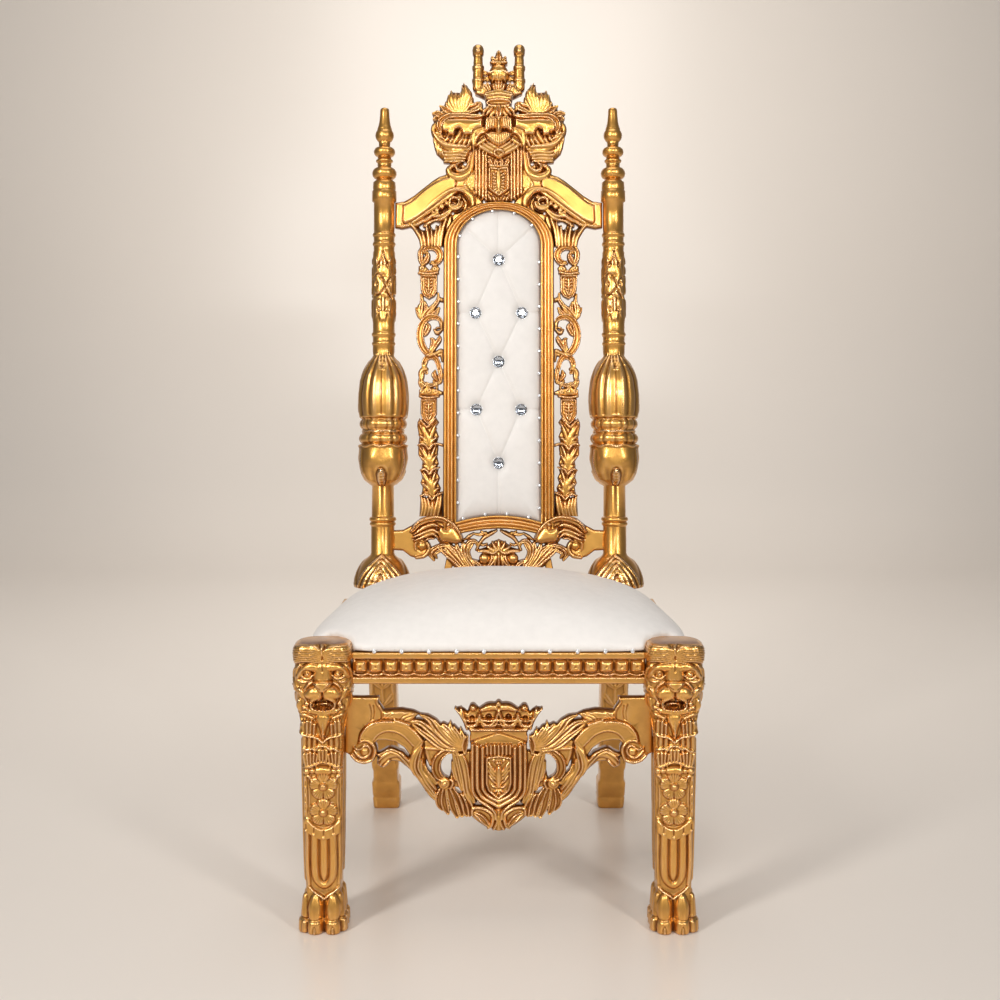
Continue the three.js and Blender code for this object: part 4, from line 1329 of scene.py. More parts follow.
@dataclass
class Fretwork:
    """The carved upright between the arch and each post: crowned shields over tiers of leaves.

    Args:
        step: Pitch of the carving's grid.
        back: Height of its flat back.
        bed: Height that the leaves rise from.
    """

    step: float = 0.95
    back: float = -11.0
    bed: float = -1.0

    def husk(self, r: Relief) -> None:
        """The fluted husk under the arm and the C scroll below it.

        Args:
            r: The carving.
        """
        r.plate([(182.5, 778.5), (167, 781), (122, 794), (122, 744), (129, 737), (167, 740.5),
            (171.5, 753.5)], [(0, -4), (3, 0)])
        r.strands(self.bed, 9, [(163.5, 742.5, 3), (170.5, 757, 4.6), (179, 777, 3)],
            [(157.5, 742.5, 3), (160.5, 763, 4.6), (164.5, 782, 3)],
            [(149, 743.5, 3.4), (150.5, 763, 4.4), (152.5, 783, 3)],
            [(140.5, 742.5, 3), (139.5, 763, 4.4), (137.5, 782, 3)],
            [(131, 740.5, 3), (128.5, 763, 4.6), (122, 789, 4)])
        r.strand([(162.5, 727.5, 2), (157.5, 736.5, 5), (144.5, 740.5, 7.4), (132.5, 735, 8),
            (127, 722.5, 8), (131, 710.5, 7.4), (140.5, 705.5, 6), (145.5, 709, 2.5)], 0, 11, Cut.HOLLOW)
        r.strands(self.bed, 9, [(157.5, 731, 2), (154, 722.5, 6), (158, 710.5, 7), (162.5, 703.5, 3)],
            [(167.5, 740.5, 3), (170, 727.5, 6.6), (168.5, 710.5, 6), (165, 702.5, 3)], cut=Cut.VEIN)
        r.strand([(149, 703.5, 2), (144.5, 707, 3), (137.5, 702.5, 4)], self.bed, 8)

    def coronet(self, r: Relief) -> None:
        """The two-lobed coronet over the upper shield.

        Args:
            r: The carving.
        """
        r.plate([(174.5, 681.5), (174, 699), (166.5, 704), (157.5, 698.5), (149.5, 690.5), (145.5, 698.5),
            (133.5, 702.5), (127.5, 695), (131, 681.5)], [(0, -1), (2, 5)])
        r.button((166, 694), 6.4, 1, 8, 0.6)
        r.button((139, 693), 6.4, 1, 8, 0.6)
        r.strand([(157.5, 687, 1.6), (150, 689, 2.4), (144.5, 686.5, 1.6)], 3, 6)
        r.strand([(173, 683.5, 3), (152.5, 681.5, 3), (132, 684, 3)], 3, 8, swell=0)

    def shield(self, r: Relief, outline: list, middle: Point, tall: float) -> None:
        """A rimmed shield with a small device.

        Args:
            r: The carving.
            outline: Places round the shield.
            middle: Its middle.
            tall: Half the height of the device.
        """
        r.plate(outline, [(0, 0), (1, 9.5), (3, 11), (4, 5.5), (5, 5.5)])
        x, y = middle
        for side in (-1, 1):
            for level in range(4):
                r.strand([(x + side * 2.4, y + tall * (0.62 - 0.36 * level), 1.4), (x + side * 6,
                    y + tall * (0.74 - 0.36 * level), 2.0), (x + side * 9, y + tall * (0.64 - 0.3 * level),
                    1.4)], 5.2, 4.4)
        r.strand([(x, y + tall * 0.8, 2), (x, y, 2.6), (x, y - tall * 0.7, 1.4)], 5.4, 5.2)
        r.strand([(x - 7, y - tall * 0.42, 1.4), (x, y - tall * 0.95, 2), (x + 7, y - tall * 0.42, 1.4)],
            5.2, 4.4)

    def leaves(self, r: Relief) -> None:
        """The leaves and the big C scroll between the shields.

        Args:
            r: The carving.
        """
        r.strands(self.bed, 9, [(166, 581.5, 4), (169, 604, 6), (166, 623, 5), (169, 637.5, 2)],
            [(168, 585, 3), (174.5, 597, 5), (179, 607.5, 2)],
            [(167, 583, 3), (173.5, 591, 4), (177.5, 598, 1.5)],
            [(168.5, 590, 3), (172.5, 604, 4.6), (174, 614, 1.5)],
            [(164, 586.5, 4), (153.5, 600.5, 6.4), (139.5, 613.5, 6), (131.5, 625.5, 5), (131, 640, 2)],
            [(161.5, 594.5, 3), (157, 607.5, 5.4), (160, 620.5, 3)],
            [(157, 592.5, 3), (144, 604, 5), (136, 618.5, 3)],
            [(153.5, 588.5, 2), (139.5, 596, 5), (129.5, 607.5, 3)],
            [(145, 588.5, 2), (136, 593.5, 4), (129.5, 601.5, 2)],
            [(147.5, 541.5, 2), (142.5, 537, 6), (144, 524, 6), (149, 508.5, 4)],
            [(149, 507.5, 4), (137.5, 526, 6.4), (129, 539, 6), (127.5, 547, 1.6)], cut=Cut.VEIN)
        r.strand([(131.5, 632.5, 3), (125.5, 626.5, 5), (119, 625, 5.4)], -3, 8)
        r.strand([(120.5, 571, 2.5), (129, 584, 5), (144, 588.5, 6.6), (158, 582.5, 7.4),
            (167.5, 566.5, 7.6), (170, 546, 8.2), (165.5, 526, 8.2), (154.5, 510, 7.4), (144, 507.5, 4)], 0,
            11, Cut.HOLLOW)
        r.strand([(160.5, 575.5, 3), (152.5, 567.5, 6.4), (157, 554.5, 6), (164.5, 546, 2.5)], 0, 8, Cut.VEIN)
        r.strands(self.bed, 9, [(130.5, 584, 3), (124.5, 573.5, 5), (123.5, 561.5, 4)],
            [(150, 504, 4), (135.5, 509, 5), (124.5, 514.5, 5.4), (120.5, 507.5, 3)],
            [(154.5, 475.5, 3), (163.5, 474.5, 5.4), (169, 465, 5.4), (166.5, 451, 4), (169, 444, 3)])
        r.strand([(140, 560.5, 2.4), (133, 553.5, 5), (122.5, 560.5, 2.4)], 0, 9)
        r.strand([(136, 561.5, 1.6), (133.5, 564, 3), (127.5, 565, 1.6)], 0, 8)
        r.strand([(156.5, 467.5, 4), (161, 484, 6), (156.5, 497.5, 6.4), (146, 502.5, 7), (135.5, 496.5, 6),
            (129.5, 481.5, 5.4), (125, 460.5, 5), (127, 446, 4)], self.bed, 9.5, Cut.HOLLOW)
        r.strands(self.bed, 8, [(154.5, 491, 2), (161.5, 481.5, 5), (159, 472, 2)],
            [(130.5, 505, 3), (124, 506, 4), (121.5, 493, 3)])

    def crown(self, r: Relief) -> None:
        """The scrolled leaves and the crown over the lower shield.

        Args:
            r: The carving.
        """
        r.strands(self.bed, 9, [(165.5, 473.5, 4), (166.5, 459, 6), (169.5, 445, 5), (165.5, 434, 3)],
            [(169, 452, 2), (161, 443, 5), (152.5, 438, 3)],
            [(170.5, 438, 2), (167.5, 445, 3.4), (161.5, 438, 3)],
            [(137.5, 471.5, 2.4), (139.5, 461.5, 6.4), (133.5, 451.5, 2.4)],
            [(124.5, 448.5, 2.5), (135.5, 443, 5), (148.5, 440.5, 5), (156.5, 445, 3)],
            [(124.5, 473.5, 4), (127, 459, 5), (125, 448.5, 4)],
            [(141.5, 450, 2), (135.5, 442.5, 4), (133, 434.5, 3)], cut=Cut.VEIN)
        r.plate([(173, 418), (172, 431), (161.5, 434), (156, 438.5), (150, 440), (144.5, 434.5),
            (134, 433.5), (120, 426.5), (120, 419.5), (132, 417)], [(0, -2), (2, 5)])
        for place in ((165.5, 426.5), (150, 428.5), (135.5, 426)):
            r.button(place, 6.4, 1, 8, 0.65)
        r.strand([(170, 416, 3), (152, 413, 3), (130, 416, 3)], 3, 8, swell=0)

    def tiers(self, r: Relief) -> None:
        """The overlapping tiers of leaves and the fluted foot.

        Args:
            r: The carving.
        """
        r.plate([(168.5, 202), (142.5, 194), (120.5, 208), (120, 154.5), (144.5, 154.5), (171, 153)],
            [(0, -3), (3, 1)])
        r.strands(0, 8, [(166, 199, 3), (163.5, 176, 4.6), (167.5, 154.5, 4)],
            [(159.5, 197.5, 3), (156.5, 176, 4.6), (160.5, 156.5, 4)],
            [(152.5, 195.5, 3), (149.5, 176, 4.4), (153, 158.5, 3.6)],
            [(142.5, 192, 3), (143, 174.5, 4.4), (146, 158.5, 3.6)],
            [(130, 200, 3), (135, 176, 5), (139.5, 158.5, 4)],
            [(123.5, 204.5, 3), (126.5, 179.5, 5), (131, 158.5, 4)])
        for level, (outline, root, tips) in enumerate((([(168.5, 255.5), (159, 257.5), (148, 249),
                (137.5, 259), (128.5, 262.5), (131.5, 251), (126.5, 240), (130, 229.5), (124.5, 219),
                (126.5, 210), (142.5, 200), (166, 203.5), (164, 220.5), (169, 229.5), (165, 240)],
                (142.5, 200), ((168, 253.5), (163.5, 255.5), (167.5, 231), (166, 208), (148, 245.5),
                (133.5, 259), (128.5, 240), (125.5, 219))), ([(174, 309.5), (164.5, 313.5), (150.5, 302.5),
                (139.5, 313.5), (130.5, 313), (130, 302.5), (132.5, 286.5), (129, 270.5), (137.5, 258),
                (148, 251.5), (166, 262.5), (164.5, 276), (173.5, 290)], (148, 252.5), ((172.5, 309),
                (166, 309.5), (172.5, 289), (165.5, 267), (149.5, 299), (133.5, 312.5), (130.5, 292),
                (130.5, 268.5))), ([(175.5, 360), (171, 369.5), (154, 347.5), (133, 367), (128.5, 360),
                (136, 348), (129, 329.5), (133.5, 315), (150.5, 304.5), (173.5, 315), (171.5, 327.5),
                (176, 351)], (150.5, 305.5), ((173.5, 358), (168, 360), (173.5, 333), (172.5, 318),
                (153.5, 343.5), (131.5, 360), (133, 348), (130.5, 327.5))))):
            r.plate(outline, [(0, -2), (2.5, 1.5 + level)])
            for place, tip in enumerate(tips):
                bend = 0 if place == 4 else 4 if place < 4 else -4
                r.leaf(root, tip, 5 if place == 4 else 4.6, bend, level, 8.5, Cut.ROUND)
        r.strands(6, 7, [(168, 364, 2), (161, 356.5, 3), (154, 349.5, 3.2), (146.5, 357, 3), (136, 369, 2)],
            [(173.5, 310.5, 2), (165.5, 313.5, 3), (157, 310.5, 3), (150.5, 302.5, 3.4), (143, 311, 3),
            (134, 314, 3), (120.5, 310.5, 3.6)], [(168, 256.5, 2), (161.5, 259.5, 3), (154, 256, 3),
            (148, 249, 3.4), (141.5, 258, 3), (128, 263, 2)], [(168, 202.5, 2), (159, 205, 3),
            (150.5, 202.5, 3), (142.5, 194.5, 3.4), (135, 202.5, 3), (120, 209, 3)])

    def make(self) -> None:
        """Carves the fretwork of each side and casts it."""
        for side, sign in SIDES:
            r = Relief(grid(117, 181, self.step), grid(158, 742, self.step * 1.15))
            for carve in (self.husk, self.leaves, self.coronet, self.crown, self.tiers):
                carve(r)
            self.shield(r, [(171, 679.5), (132.5, 679.5), (133, 643), (139, 632.5), (151, 625.5),
                (163.5, 633.5), (169, 644.5)], (151.5, 656), 20)
            self.shield(r, [(168.5, 410.5), (133, 410.5), (133, 377.5), (139.5, 366), (152.5, 354),
                (165, 366.5), (168.5, 377.5)], (151, 385), 20)
            r.edge = np.maximum(r.edge, ArchFrame().inside(r.x, r.y, ArchFrame.width + 0.4))
            if sign < 0:
                r.xs = -r.xs[::-1]
                r.edge, r.z = r.edge[:, ::-1], r.z[:, ::-1]
                r.x, r.y = np.meshgrid(r.xs, r.ys)
            piece = r.cast(f"fretwork_carving_{side}", back_plane(), self.back, GILDING)
            hand_in(piece, "gilding", f"fretwork_{side}")


@dataclass
class LowerRail:
    """The carved rail under the pad, between the feet of the posts.

    Args:
        step: Pitch of the carving's grid.
        back: Height of its flat back.
    """

    step: float = 1.15
    back: float = -12.0

    def board(self, r: Relief) -> None:
        """The board that meets the post, with its feathers and volute.

        Args:
            r: The carving.
        """
        r.plate([(232.5, 127.5), (205.5, 129), (187.5, 138.5), (168, 154.5), (146.5, 159.5), (123.5, 159.5),
            (102, 149.5), (85.5, 132.5), (76, 114.5), (76, 100.5), (110.5, 98.5), (128.5, 102),
            (136.5, 113.5), (153, 108), (149, 88), (154.5, 74.5), (171, 66.5), (189, 72), (205.5, 84.5),
            (232.5, 86)], [(0, 1), (2, 5), (4, 6)])
        r.strand([(187.5, 125, 1.5), (173, 145.5, 3), (146.5, 156, 3.6), (122, 155.5, 3.6),
            (100.5, 144.5, 3.4), (86.5, 129, 3.2), (78, 109.5, 2)], 14, 8)
        r.strands(9, 8, [(184.5, 124, 1.6), (169, 141, 4), (146.5, 150.5, 5), (125, 151.5, 5),
            (110.5, 145, 4.6)], [(182, 119.5, 1.6), (161.5, 133.5, 4.6), (141.5, 140.5, 5),
            (131, 137.5, 3)], [(183.5, 113, 1.6), (159.5, 123.5, 4.6), (141.5, 129, 4.6),
            (128.5, 122.5, 3)], [(181, 106, 1.6), (159.5, 115, 4.4), (141.5, 121, 4.4), (129.5, 112, 2)],
            [(159.5, 104.5, 2), (150, 110.5, 3), (138.5, 111, 2)])
        r.button((107.5, 140.5), 5.4, 14, 9)
        plain = [(126, 137.5), (110.5, 131), (100.5, 137.5), (89, 127.5), (79, 108), (90.5, 100.5),
            (110.5, 104.5), (123.5, 106), (129.5, 124)]
        r.plate(plain, [(0, 13), (3, 17.5), (9, 20)], rounded=True)
        r.strand([(177.5, 86.5, 2), (178.5, 99.5, 3.4), (169, 106.5, 4), (153.5, 100.5, 4.6),
            (149.5, 87.5, 4.8), (159, 74, 5), (176, 70, 4)], 3, 8)
        r.button((164.5, 95.5), 9.6, 3, 8.5)
        r.groove([(172.5, 88), (164.5, 84.5), (154.5, 90)], 1.8, 3)

    def leaves(self, r: Relief) -> None:
        """The acanthus leaves under the arch.

        Args:
            r: The carving.
        """
        r.strands(0, 9.5, [(139, 64.5, 3), (146.5, 77.5, 5.6), (139, 89, 5.6), (122, 95.5, 5),
            (105.5, 94, 3)], [(132.5, 68.5, 2), (136, 77.5, 4), (125, 84.5, 4), (113.5, 88, 3)],
            [(128.5, 91.5, 4), (113.5, 79, 6.4), (97, 64.5, 6), (84, 52, 5)],
            [(115, 94.5, 4), (103, 81.5, 6.4), (89, 65.5, 6), (77.5, 52, 5)],
            [(107, 96.5, 4), (92, 85, 6), (82.5, 68.5, 6), (71, 52, 5)],
            [(90.5, 98.5, 4), (86.5, 86.5, 5.4), (77.5, 68.5, 5.4), (66, 52, 5)],
            [(76, 99.5, 4), (77.5, 86.5, 5.4), (72, 68.5, 5.6), (61, 52, 5)],
            [(44.5, 91.5, 2), (49.5, 103, 4.6), (61, 104, 5.4), (70, 91.5, 6), (69, 72, 6), (54.5, 52, 5)],
            [(57.5, 63.5, 3), (44.5, 57, 5), (38, 49, 5)],
            [(53, 104.5, 2), (57.5, 98, 4), (65, 81.5, 4.4), (57.5, 62, 3)], cut=Cut.VEIN)
        r.plate([(110, 65.5), (71, 72), (25, 59), (25, 42.5), (90.5, 42.5)], [(0, -5), (3, 0)])
        r.strand([(48, 86.5, 3), (34, 109.5, 4.4), (13.5, 122.5, 4.4), (5, 127.5, 3)], 0, 9)
        r.strand([(54.5, 121, 2), (41.5, 119, 4), (27.5, 123.5, 3)], -1, 8, Cut.VEIN)
        r.strand([(38, 126, 2), (25, 120.5, 3.4), (15, 126, 2)], -1, 7)
        r.strand([(44.5, 102, 2), (34.5, 96.5, 3.4), (25, 99.5, 2)], 0, 7)
        r.strand([(75, 107, 2), (64.5, 114.5, 4), (54, 121, 3)], -1, 6)

    def shell(self, r: Relief) -> None:
        """The shell with its mask and the balls beside it.

        Args:
            r: The carving.
        """
        r.plate([(46, 83), (41, 88), (28, 91.5), (20, 98), (13.5, 104), (0, 109), (-6, 106), (-6, 40),
            (25, 42.5), (25, 81.5)], [(0, -3), (2, 2)])
        r.strands(2, 9, [(0, 79.5, 3), (0, 91.5, 5.4), (0, 106, 3.4)],
            [(2.5, 79, 3), (7.5, 90, 5), (13.5, 103, 2.6)], [(4.5, 78.5, 3), (15.5, 87.5, 5),
            (25, 94, 2.4)], [(5.5, 77, 3), (23, 83.5, 4.6), (43, 85.5, 2.4)])
        r.strand([(44.5, 83, 1.6), (25, 82.5, 3.4), (12.5, 79, 3.6), (0, 87.5, 3)], 5, 8)
        r.strand([(13.5, 77.5, 3), (12.5, 65.5, 6), (21, 52, 5)], 1, 9, Cut.VEIN)
        r.strand([(0, 78.5, 4), (0, 65.5, 4.4), (0, 52, 4)], 3, 9, Cut.RIDGE)
        r.strand([(5.5, 76.5, 2.4), (6.5, 65.5, 3.4), (9, 52, 3)], 2, 8)
        r.button((30.5, 68), 11.8, 0, 11.5)
        r.strand([(0, 30, 9), (120, 30, 9)], -9, 6, Cut.FLAT)
        r.strand([(24, 40, 6), (30, 60, 6)], -6, 6)
        r.strand([(112, 30, 8), (104, 70, 8)], -9, 5, Cut.FLAT)

    def make(self) -> None:
        """Carves the rail and casts it."""
        low, high = node_box("lower_back_rail")
        half = Relief(grid(0, high[0] + 3, self.step), grid(20, 165, self.step))
        self.leaves(half)
        self.shell(half)
        half.edge = np.maximum(half.edge, ArchFrame().inside(half.x, half.y, ArchFrame.width + 0.4))
        self.board(half)
        half.mirror()
        hand_in(half.cast("lower_rail_carving", back_plane(), self.back, GILDING), "gilding",
            "lower_back_rail")


# ------------------------------------------------------------------ legs and posts


@dataclass
class Column:
    """A carved upright whose section is rounded as much as its level asks.

    Args:
        levels: Height, half width, front, back and squareness of its sections.
        x: Its middle from the middle of the chair.
        y: The depth that front and back are measured from.
        pitch: Spacing of its corners on the front, the sides and the back.
        rise: Spacing of its sections.
    """

    levels: Sequence[Point]
    x: float
    y: float
    pitch: Point = (1.0, 1.7, 4.0)
    rise: float = 1.5

    def turns(self) -> Array:
        """Finds the angles of its corners, closer together where the carving is finer.

        Returns:
            The angles.
        """
        _, half, front, back, square = np.array(self.levels).mean(0)
        front, back = self.depths(front, back)[:2]
        angle = np.linspace(-math.pi, math.pi, 2401)
        radius = self.radius(angle, half, front, back, square)
        x, y = radius * np.sin(angle), radius * np.cos(angle)
        length = np.hypot(np.diff(x), np.diff(y))
        middle = 0.5 * (angle[1:] + angle[:-1])
        corner = math.atan2(half, front)
        step = np.where(np.abs(middle) < corner + 0.12, self.pitch[0],
                        np.where(np.abs(middle) < math.pi - corner, self.pitch[1], self.pitch[2]))
        travelled = np.concatenate([[0], np.cumsum(length / step)])
        count = int(travelled[-1] // 2 * 2)
        return np.interp(np.linspace(0, travelled[-1], count + 1)[:-1], travelled, angle)

    @staticmethod
    def depths(front: Array, back: Array) -> tuple[Array, Array, Array]:
        """Depths in front of and behind a section's middle, and where that middle is."""
        middle = np.where(back < 0, np.where(front > 0, 0.0, 0.5 * (front + back)), 0.5 * (front + back))
        return front - middle, middle - back, middle

    @staticmethod
    def radius(angle: Array, half: Array, front: Array, back: Array, square: Array) -> Array:
        """Radius of a rounded section.

        Args:
            angle: Angles from the front.
            half: Its half width.
            front: Its depth in front of its middle.
            back: Its depth behind it.
            square: How square it is, from 2 for an ellipse.

        Returns:
            The radius at each angle.
        """
        depth = np.where(np.cos(angle) > 0, front, back)
        across, along = np.abs(np.sin(angle)) / half, np.abs(np.cos(angle)) / depth
        return (across**square + along**square) ** (-1 / square)

    def body(self, face: "Relief | None" = None, flank: "Relief | None" = None,
             inward: float = 0.0) -> tuple[Array, list, Array]:
        """Corners, faces and hollows of the upright.

        Args:
            face: The carving of its front, over x and height.
            flank: The carving of its sides, over depth and height.
            inward: How far the front's carving is shifted along x.

        Returns:
            The corners, the faces and how deep each corner lies.
        """
        table = np.array(self.levels, float)
        heights = grid(table[0, 0], table[-1, 0], self.rise)
        half, front, back, square = (np.interp(heights, table[:, 0], table[:, i])[:,
            None] for i in (1, 2, 3, 4))
        angle = self.turns()[None, :]
        front, back, middle = self.depths(front, back)
        radius = self.radius(angle, half, front, back, square)
        x, out = radius * np.sin(angle), radius * np.cos(angle) + middle
        tall = np.broadcast_to(heights[:, None], x.shape)
        gx, gy = np.gradient(x, axis=1), np.gradient(out, axis=1)
        size = np.maximum(np.hypot(gx, gy), 1e-6)
        nx, ny = -gy / size, gx / size
        lift, deep = np.zeros_like(x), np.full_like(x, 0.0)
        if face is not None:
            share = np.clip(ny, 0, 1)
            lift += face.sample(face.z, x - inward, tall) * share
            deep += face.sample(face.hollows(4), x - inward, tall) * share
        if flank is not None:
            share = np.clip(np.abs(nx), 0, 1)
            lift += flank.sample(flank.z, out, tall) * share
            deep += flank.sample(flank.hollows(4), out, tall) * share
        points = np.column_stack([
            (self.x + x + lift * nx).ravel(), (self.y - out - lift * ny).ravel(), tall.ravel(),
        ])
        return points, band_faces(*x.shape, capped=True), deep


@dataclass
class BackPost:
    """A turned and carved post over its raked rear leg.

    Args:
        sign: The side it stands on, -1 or 1.
        name: The side's name.
        columns: Corners round the post.
    """

    sign: int
    name: str
    columns: int = 116
    SHAFT = ((6, 50), (8, 57), (14, 59), (28, 57), (40, 53), (52, 47.5), (62, 41), (70, 33), (75, 27),
        (80, 25), (136, 25), (160, 24), (223, 23.5), (226, 28), (236, 41), (250, 48), (262, 50.6),
        (273, 51.5), (303, 52), (311, 51.5), (314, 46), (337, 45), (341, 44), (345, 45), (367, 46),
        (370, 48.6), (385, 50.8), (405, 52), (420, 51.6), (449, 48.6), (460, 46), (471, 42), (482, 37),
        (493, 30.5), (500, 25), (504, 22.5), (512, 23.6), (575, 23.6), (580, 24.4), (728, 24), (732, 22.6),
        (838, 22.5), (841, 26.6), (863, 26.6), (865, 24), (868, 25), (882, 24.4), (886, 20), (889, 15.5),
        (915, 15), (920, 15), (938, 14.6), (941, 13), (960, 12.2), (966, 12.6), (972, 13), (1000, 16),
        (1004, 14.6), (1008, 13.4), (1012, 12.5), (1018, 11.5), (1024, 10.8), (1032, 10.2), (1040, 10),
        (1044.5, 9.2), (1046.5, 6))
    RINGS = ((142, 5, 28), (152, 5.5, 29), (325, 12.5, 52), (356, 12.5, 51), (530, 5, 25.6), (550, 6, 26),
        (747, 5.5, 25), (767, 5.5, 25), (902, 13.5, 26.6), (929.5, 3.4, 18.6), (949.5, 10.6, 23.2),
        (986, 17.5, 20.2))
    BANDS = ((6, 80, 50, 1.5), (222, 505, 50, 1.7), (574, 734, 24.5, 1.25))

    def heights(self) -> Array:
        """Finds the heights of the post's rings of corners, closer together where it is carved.

        Returns:
            The heights.
        """
        marks = [height for height, _ in self.SHAFT]
        for low, high, _, step in self.BANDS:
            marks += list(np.arange(low, high, step))
        for middle, half, _ in self.RINGS:
            marks += list(middle + half * np.cos(np.linspace(0, math.pi, 13)))
        marks += list(np.arange(970, 1040, 4.0))
        return np.unique(np.round(marks, 2))

    def radius(self, height: Array) -> Array:
        """Radius of the turning before it is carved.

        Args:
            height: The heights.

        Returns:
            The radius at each.
        """
        radius = np.interp(height, *zip(*self.SHAFT))
        for middle, half, widest in self.RINGS:
            inside = np.sqrt(np.clip(1 - ((height - middle) / half)**2, 0, 1))
            radius = np.where(inside > 0, np.maximum(radius, widest - half + half * inside), radius)
        return radius

    def bell(self, r: Relief) -> None:
        """Nested pointed arches on the bell-shaped foot.

        Args:
            r: The carving.
        """
        for half, apex, width in ((50, 75, 4.4), (37, 66, 3.8), (25, 56, 3.4), (14, 45, 2.6)):
            r.strand([(-half, 4, width), (-0.74 * half, 0.5 * apex, width),
                (-0.36 * half, 0.84 * apex, width), (0, apex, 0.8 * width),
                (0.36 * half, 0.84 * apex, width), (0.74 * half, 0.5 * apex, width), (half, 4, width)], 0,
                5)
        r.groove([(-7, 6), (-5, 24), (0, 38), (5, 24), (7, 6)], 3, 4)
        for side in (-1, 1):
            for half, apex in ((52, 66), (38, 54), (26, 42), (14, 28)):
                centre = 92 * side
                r.strand([(centre - 0.7 * half, 4, 3.4), (centre - 0.4 * half, 0.6 * apex, 3.4),
                    (centre, apex, 3), (centre + 0.4 * half, 0.6 * apex, 3.4),
                    (centre + 0.7 * half, 4, 3.4)], 0, 4.4)

    def bulb(self, r: Relief) -> None:
        """Tulip petals over two lobed rings and a folded skirt.

        Args:
            r: The carving.
        """
        reach = 157.0
        r.pair([(2.6, 377, 1.6), (2.4, 430, 1.8), (2.8, 462, 1.8), (6, 484, 1.7), (12.5, 505, 1.4)], 1.6, 3)
        r.pair([(66, 374, 1.6), (70, 420, 2), (74, 460, 1.8), (96, 500, 1.4)], 1, 3.2)
        r.pair([(60, 372, 1.4), (66, 388, 3.4), (62, 404, 1.2)], 2, 3)
        for side in (-1, 1):
            for middle, half, top in ((15, 10.5, 10), (36, 10.5, 22), (56, 9, 33)):
                r.strand([(middle * side, 374, half), (middle * side, 430, half),
                    (0.9 * middle * side + 1, 470, 0.75 * half), ((0.5 * middle + 6) * side, 504, 3)], 0,
                    4.2)
            for middle in (84, 104, 124, 145):
                r.strand([(middle * side, 374, 9.5), (middle * side, 430, 9.5), (middle * side, 490, 6)], 0,
                    3.6)
            r.groove([(4 * side, 377), (4.4 * side, 440)], 1.6, 1.6)
        r.groove([(0, 376), (0, 470)], 1.8, 3)
        r.groove([(-9.6, 505), (-4, 484), (0, 473), (4, 484), (9.6, 505)], 1.5, 2.2)
        r.strand([(0, 479, 1), (0, 490, 4.4), (0, 504, 7)], 0, 2.2)
        wave = np.linspace(-reach, reach, 41)
        r.strand([(x, 372.5 + 1.4 * math.cos(x / 5.5), 2.2) for x in wave], 0.8, 3)
        r.strand([(x, 340.5 + 0.9 * math.sin(x / 6), 1.8) for x in wave], 0, 3.4)
        r.strand([(x, 310 + 2.2 * math.cos(x / 5.7 + math.pi), 2.4) for x in wave], 0, 3)
        for place in (-140, -112, -84, -56, -36, -13, 12, 27, 48, 76, 104, 132):
            r.groove([(place, 368), (place + 1, 356), (place, 345)], 2.6, 3.6)
        for place in (-148, -118, -92, -66, -28, -2.4, 2.4, 26, 46, 72, 100, 128):
            r.groove([(place, 337), (place - 1, 325), (place, 313)], 2.6, 3.6)
        for centre in (0, 104, -104):

            def arch(a: Array, b: Array, middle: float = centre) -> Array:
                """Depth of the two hollows under the arch, and its rise over them.

                Args:
                    a: Places across.
                    b: Places up.
                    middle: Where the arch stands.

                Returns:
                    The height there.
                """
                away = np.abs(a - middle)
                hollow = -4.2 * np.exp(-((away - 20) / 9)**2 - ((b - 246) / 17)**2)
                return hollow + 2.2 * np.exp(-((away - 24) / 14)**2 - ((b - 283) / 12)**2)

            field = ((-48, 240), (-44, 296), (0, 300), (44, 296), (48, 240), (0, 226))
            r.tool([(centre + x, y) for x, y in field], arch, rounded=True)
            niche = [(centre - 9.5, 224), (centre - 9.5, 248), (centre - 5, 259), (centre, 262),
                (centre + 5, 259), (centre + 9.5, 248), (centre + 9.5, 224)]
            r.plate(niche, [(0, -1), (1, 3.6), (2.4, 4)])
            r.groove([(x * 1.16 - 0.16 * centre, y + (1.4 if y > 250 else 0)) for x, y in niche], 1.8, 4.4)
            for height in (230.5, 236.5, 242.5, 248.5):
                r.groove([(centre - 6.6, height), (centre + 6.6, height)], 1.7, 3)
            r.button((centre, 254), 3, 3, 2.6)
        r.pair([(50, 300, 3), (52, 270, 4), (44, 236, 2)], 0, 3.4)

    def straps(self, r: Relief) -> None:
        """Interlaced straps round the middle of the shaft.

        Args:
            r: The carving.
        """
        for centre in (0, 51.3, -51.3):
            for corners in ([(-21, 676), (-16, 700), (-21, 722), (-13, 712), (-9, 700), (-7, 712), (0, 731),
                    (7, 712), (9, 700), (13, 712), (21, 722), (16, 700), (21, 676), (10, 672), (0, 680),
                    (-10, 672)], [(-23, 640), (-23, 666), (-14, 678), (-4, 668), (8, 680), (18, 676),
                    (24, 660), (20, 636), (8, 628), (-8, 634)], [(-21, 580), (-17, 590), (-21, 628),
                    (-10, 624), (0, 632), (10, 624), (21, 628), (17, 590), (21, 580), (9, 592), (6, 578),
                    (-6, 578), (-9, 592)]):
                r.plate([(centre + x, y) for x, y in corners], [(0, 0), (1.6, 2.4), (6, 2.8)])
            for line in ([(-20, 634), (-8, 636), (4, 650), (13, 667), (21, 674)],
                    [(-22, 676), (-10, 680), (0, 668), (10, 640), (22, 628)],
                    [(6, 640), (14, 634), (22, 626)], [(0, 729), (-8, 706), (-14, 700)],
                    [(0, 729), (8, 706), (14, 700)], [(0, 718), (0, 700)], [(-4, 626), (-3, 600)],
                    [(5, 626), (4, 600)]):
                r.groove([(centre + x, y) for x, y in line], 2.2, 4.4)
            for x, y, reach in ((-10, 698, 5), (10, 698, 5), (13, 656, 5), (-14, 656, 4), (-9, 602, 4),
                    (9, 602, 4)):
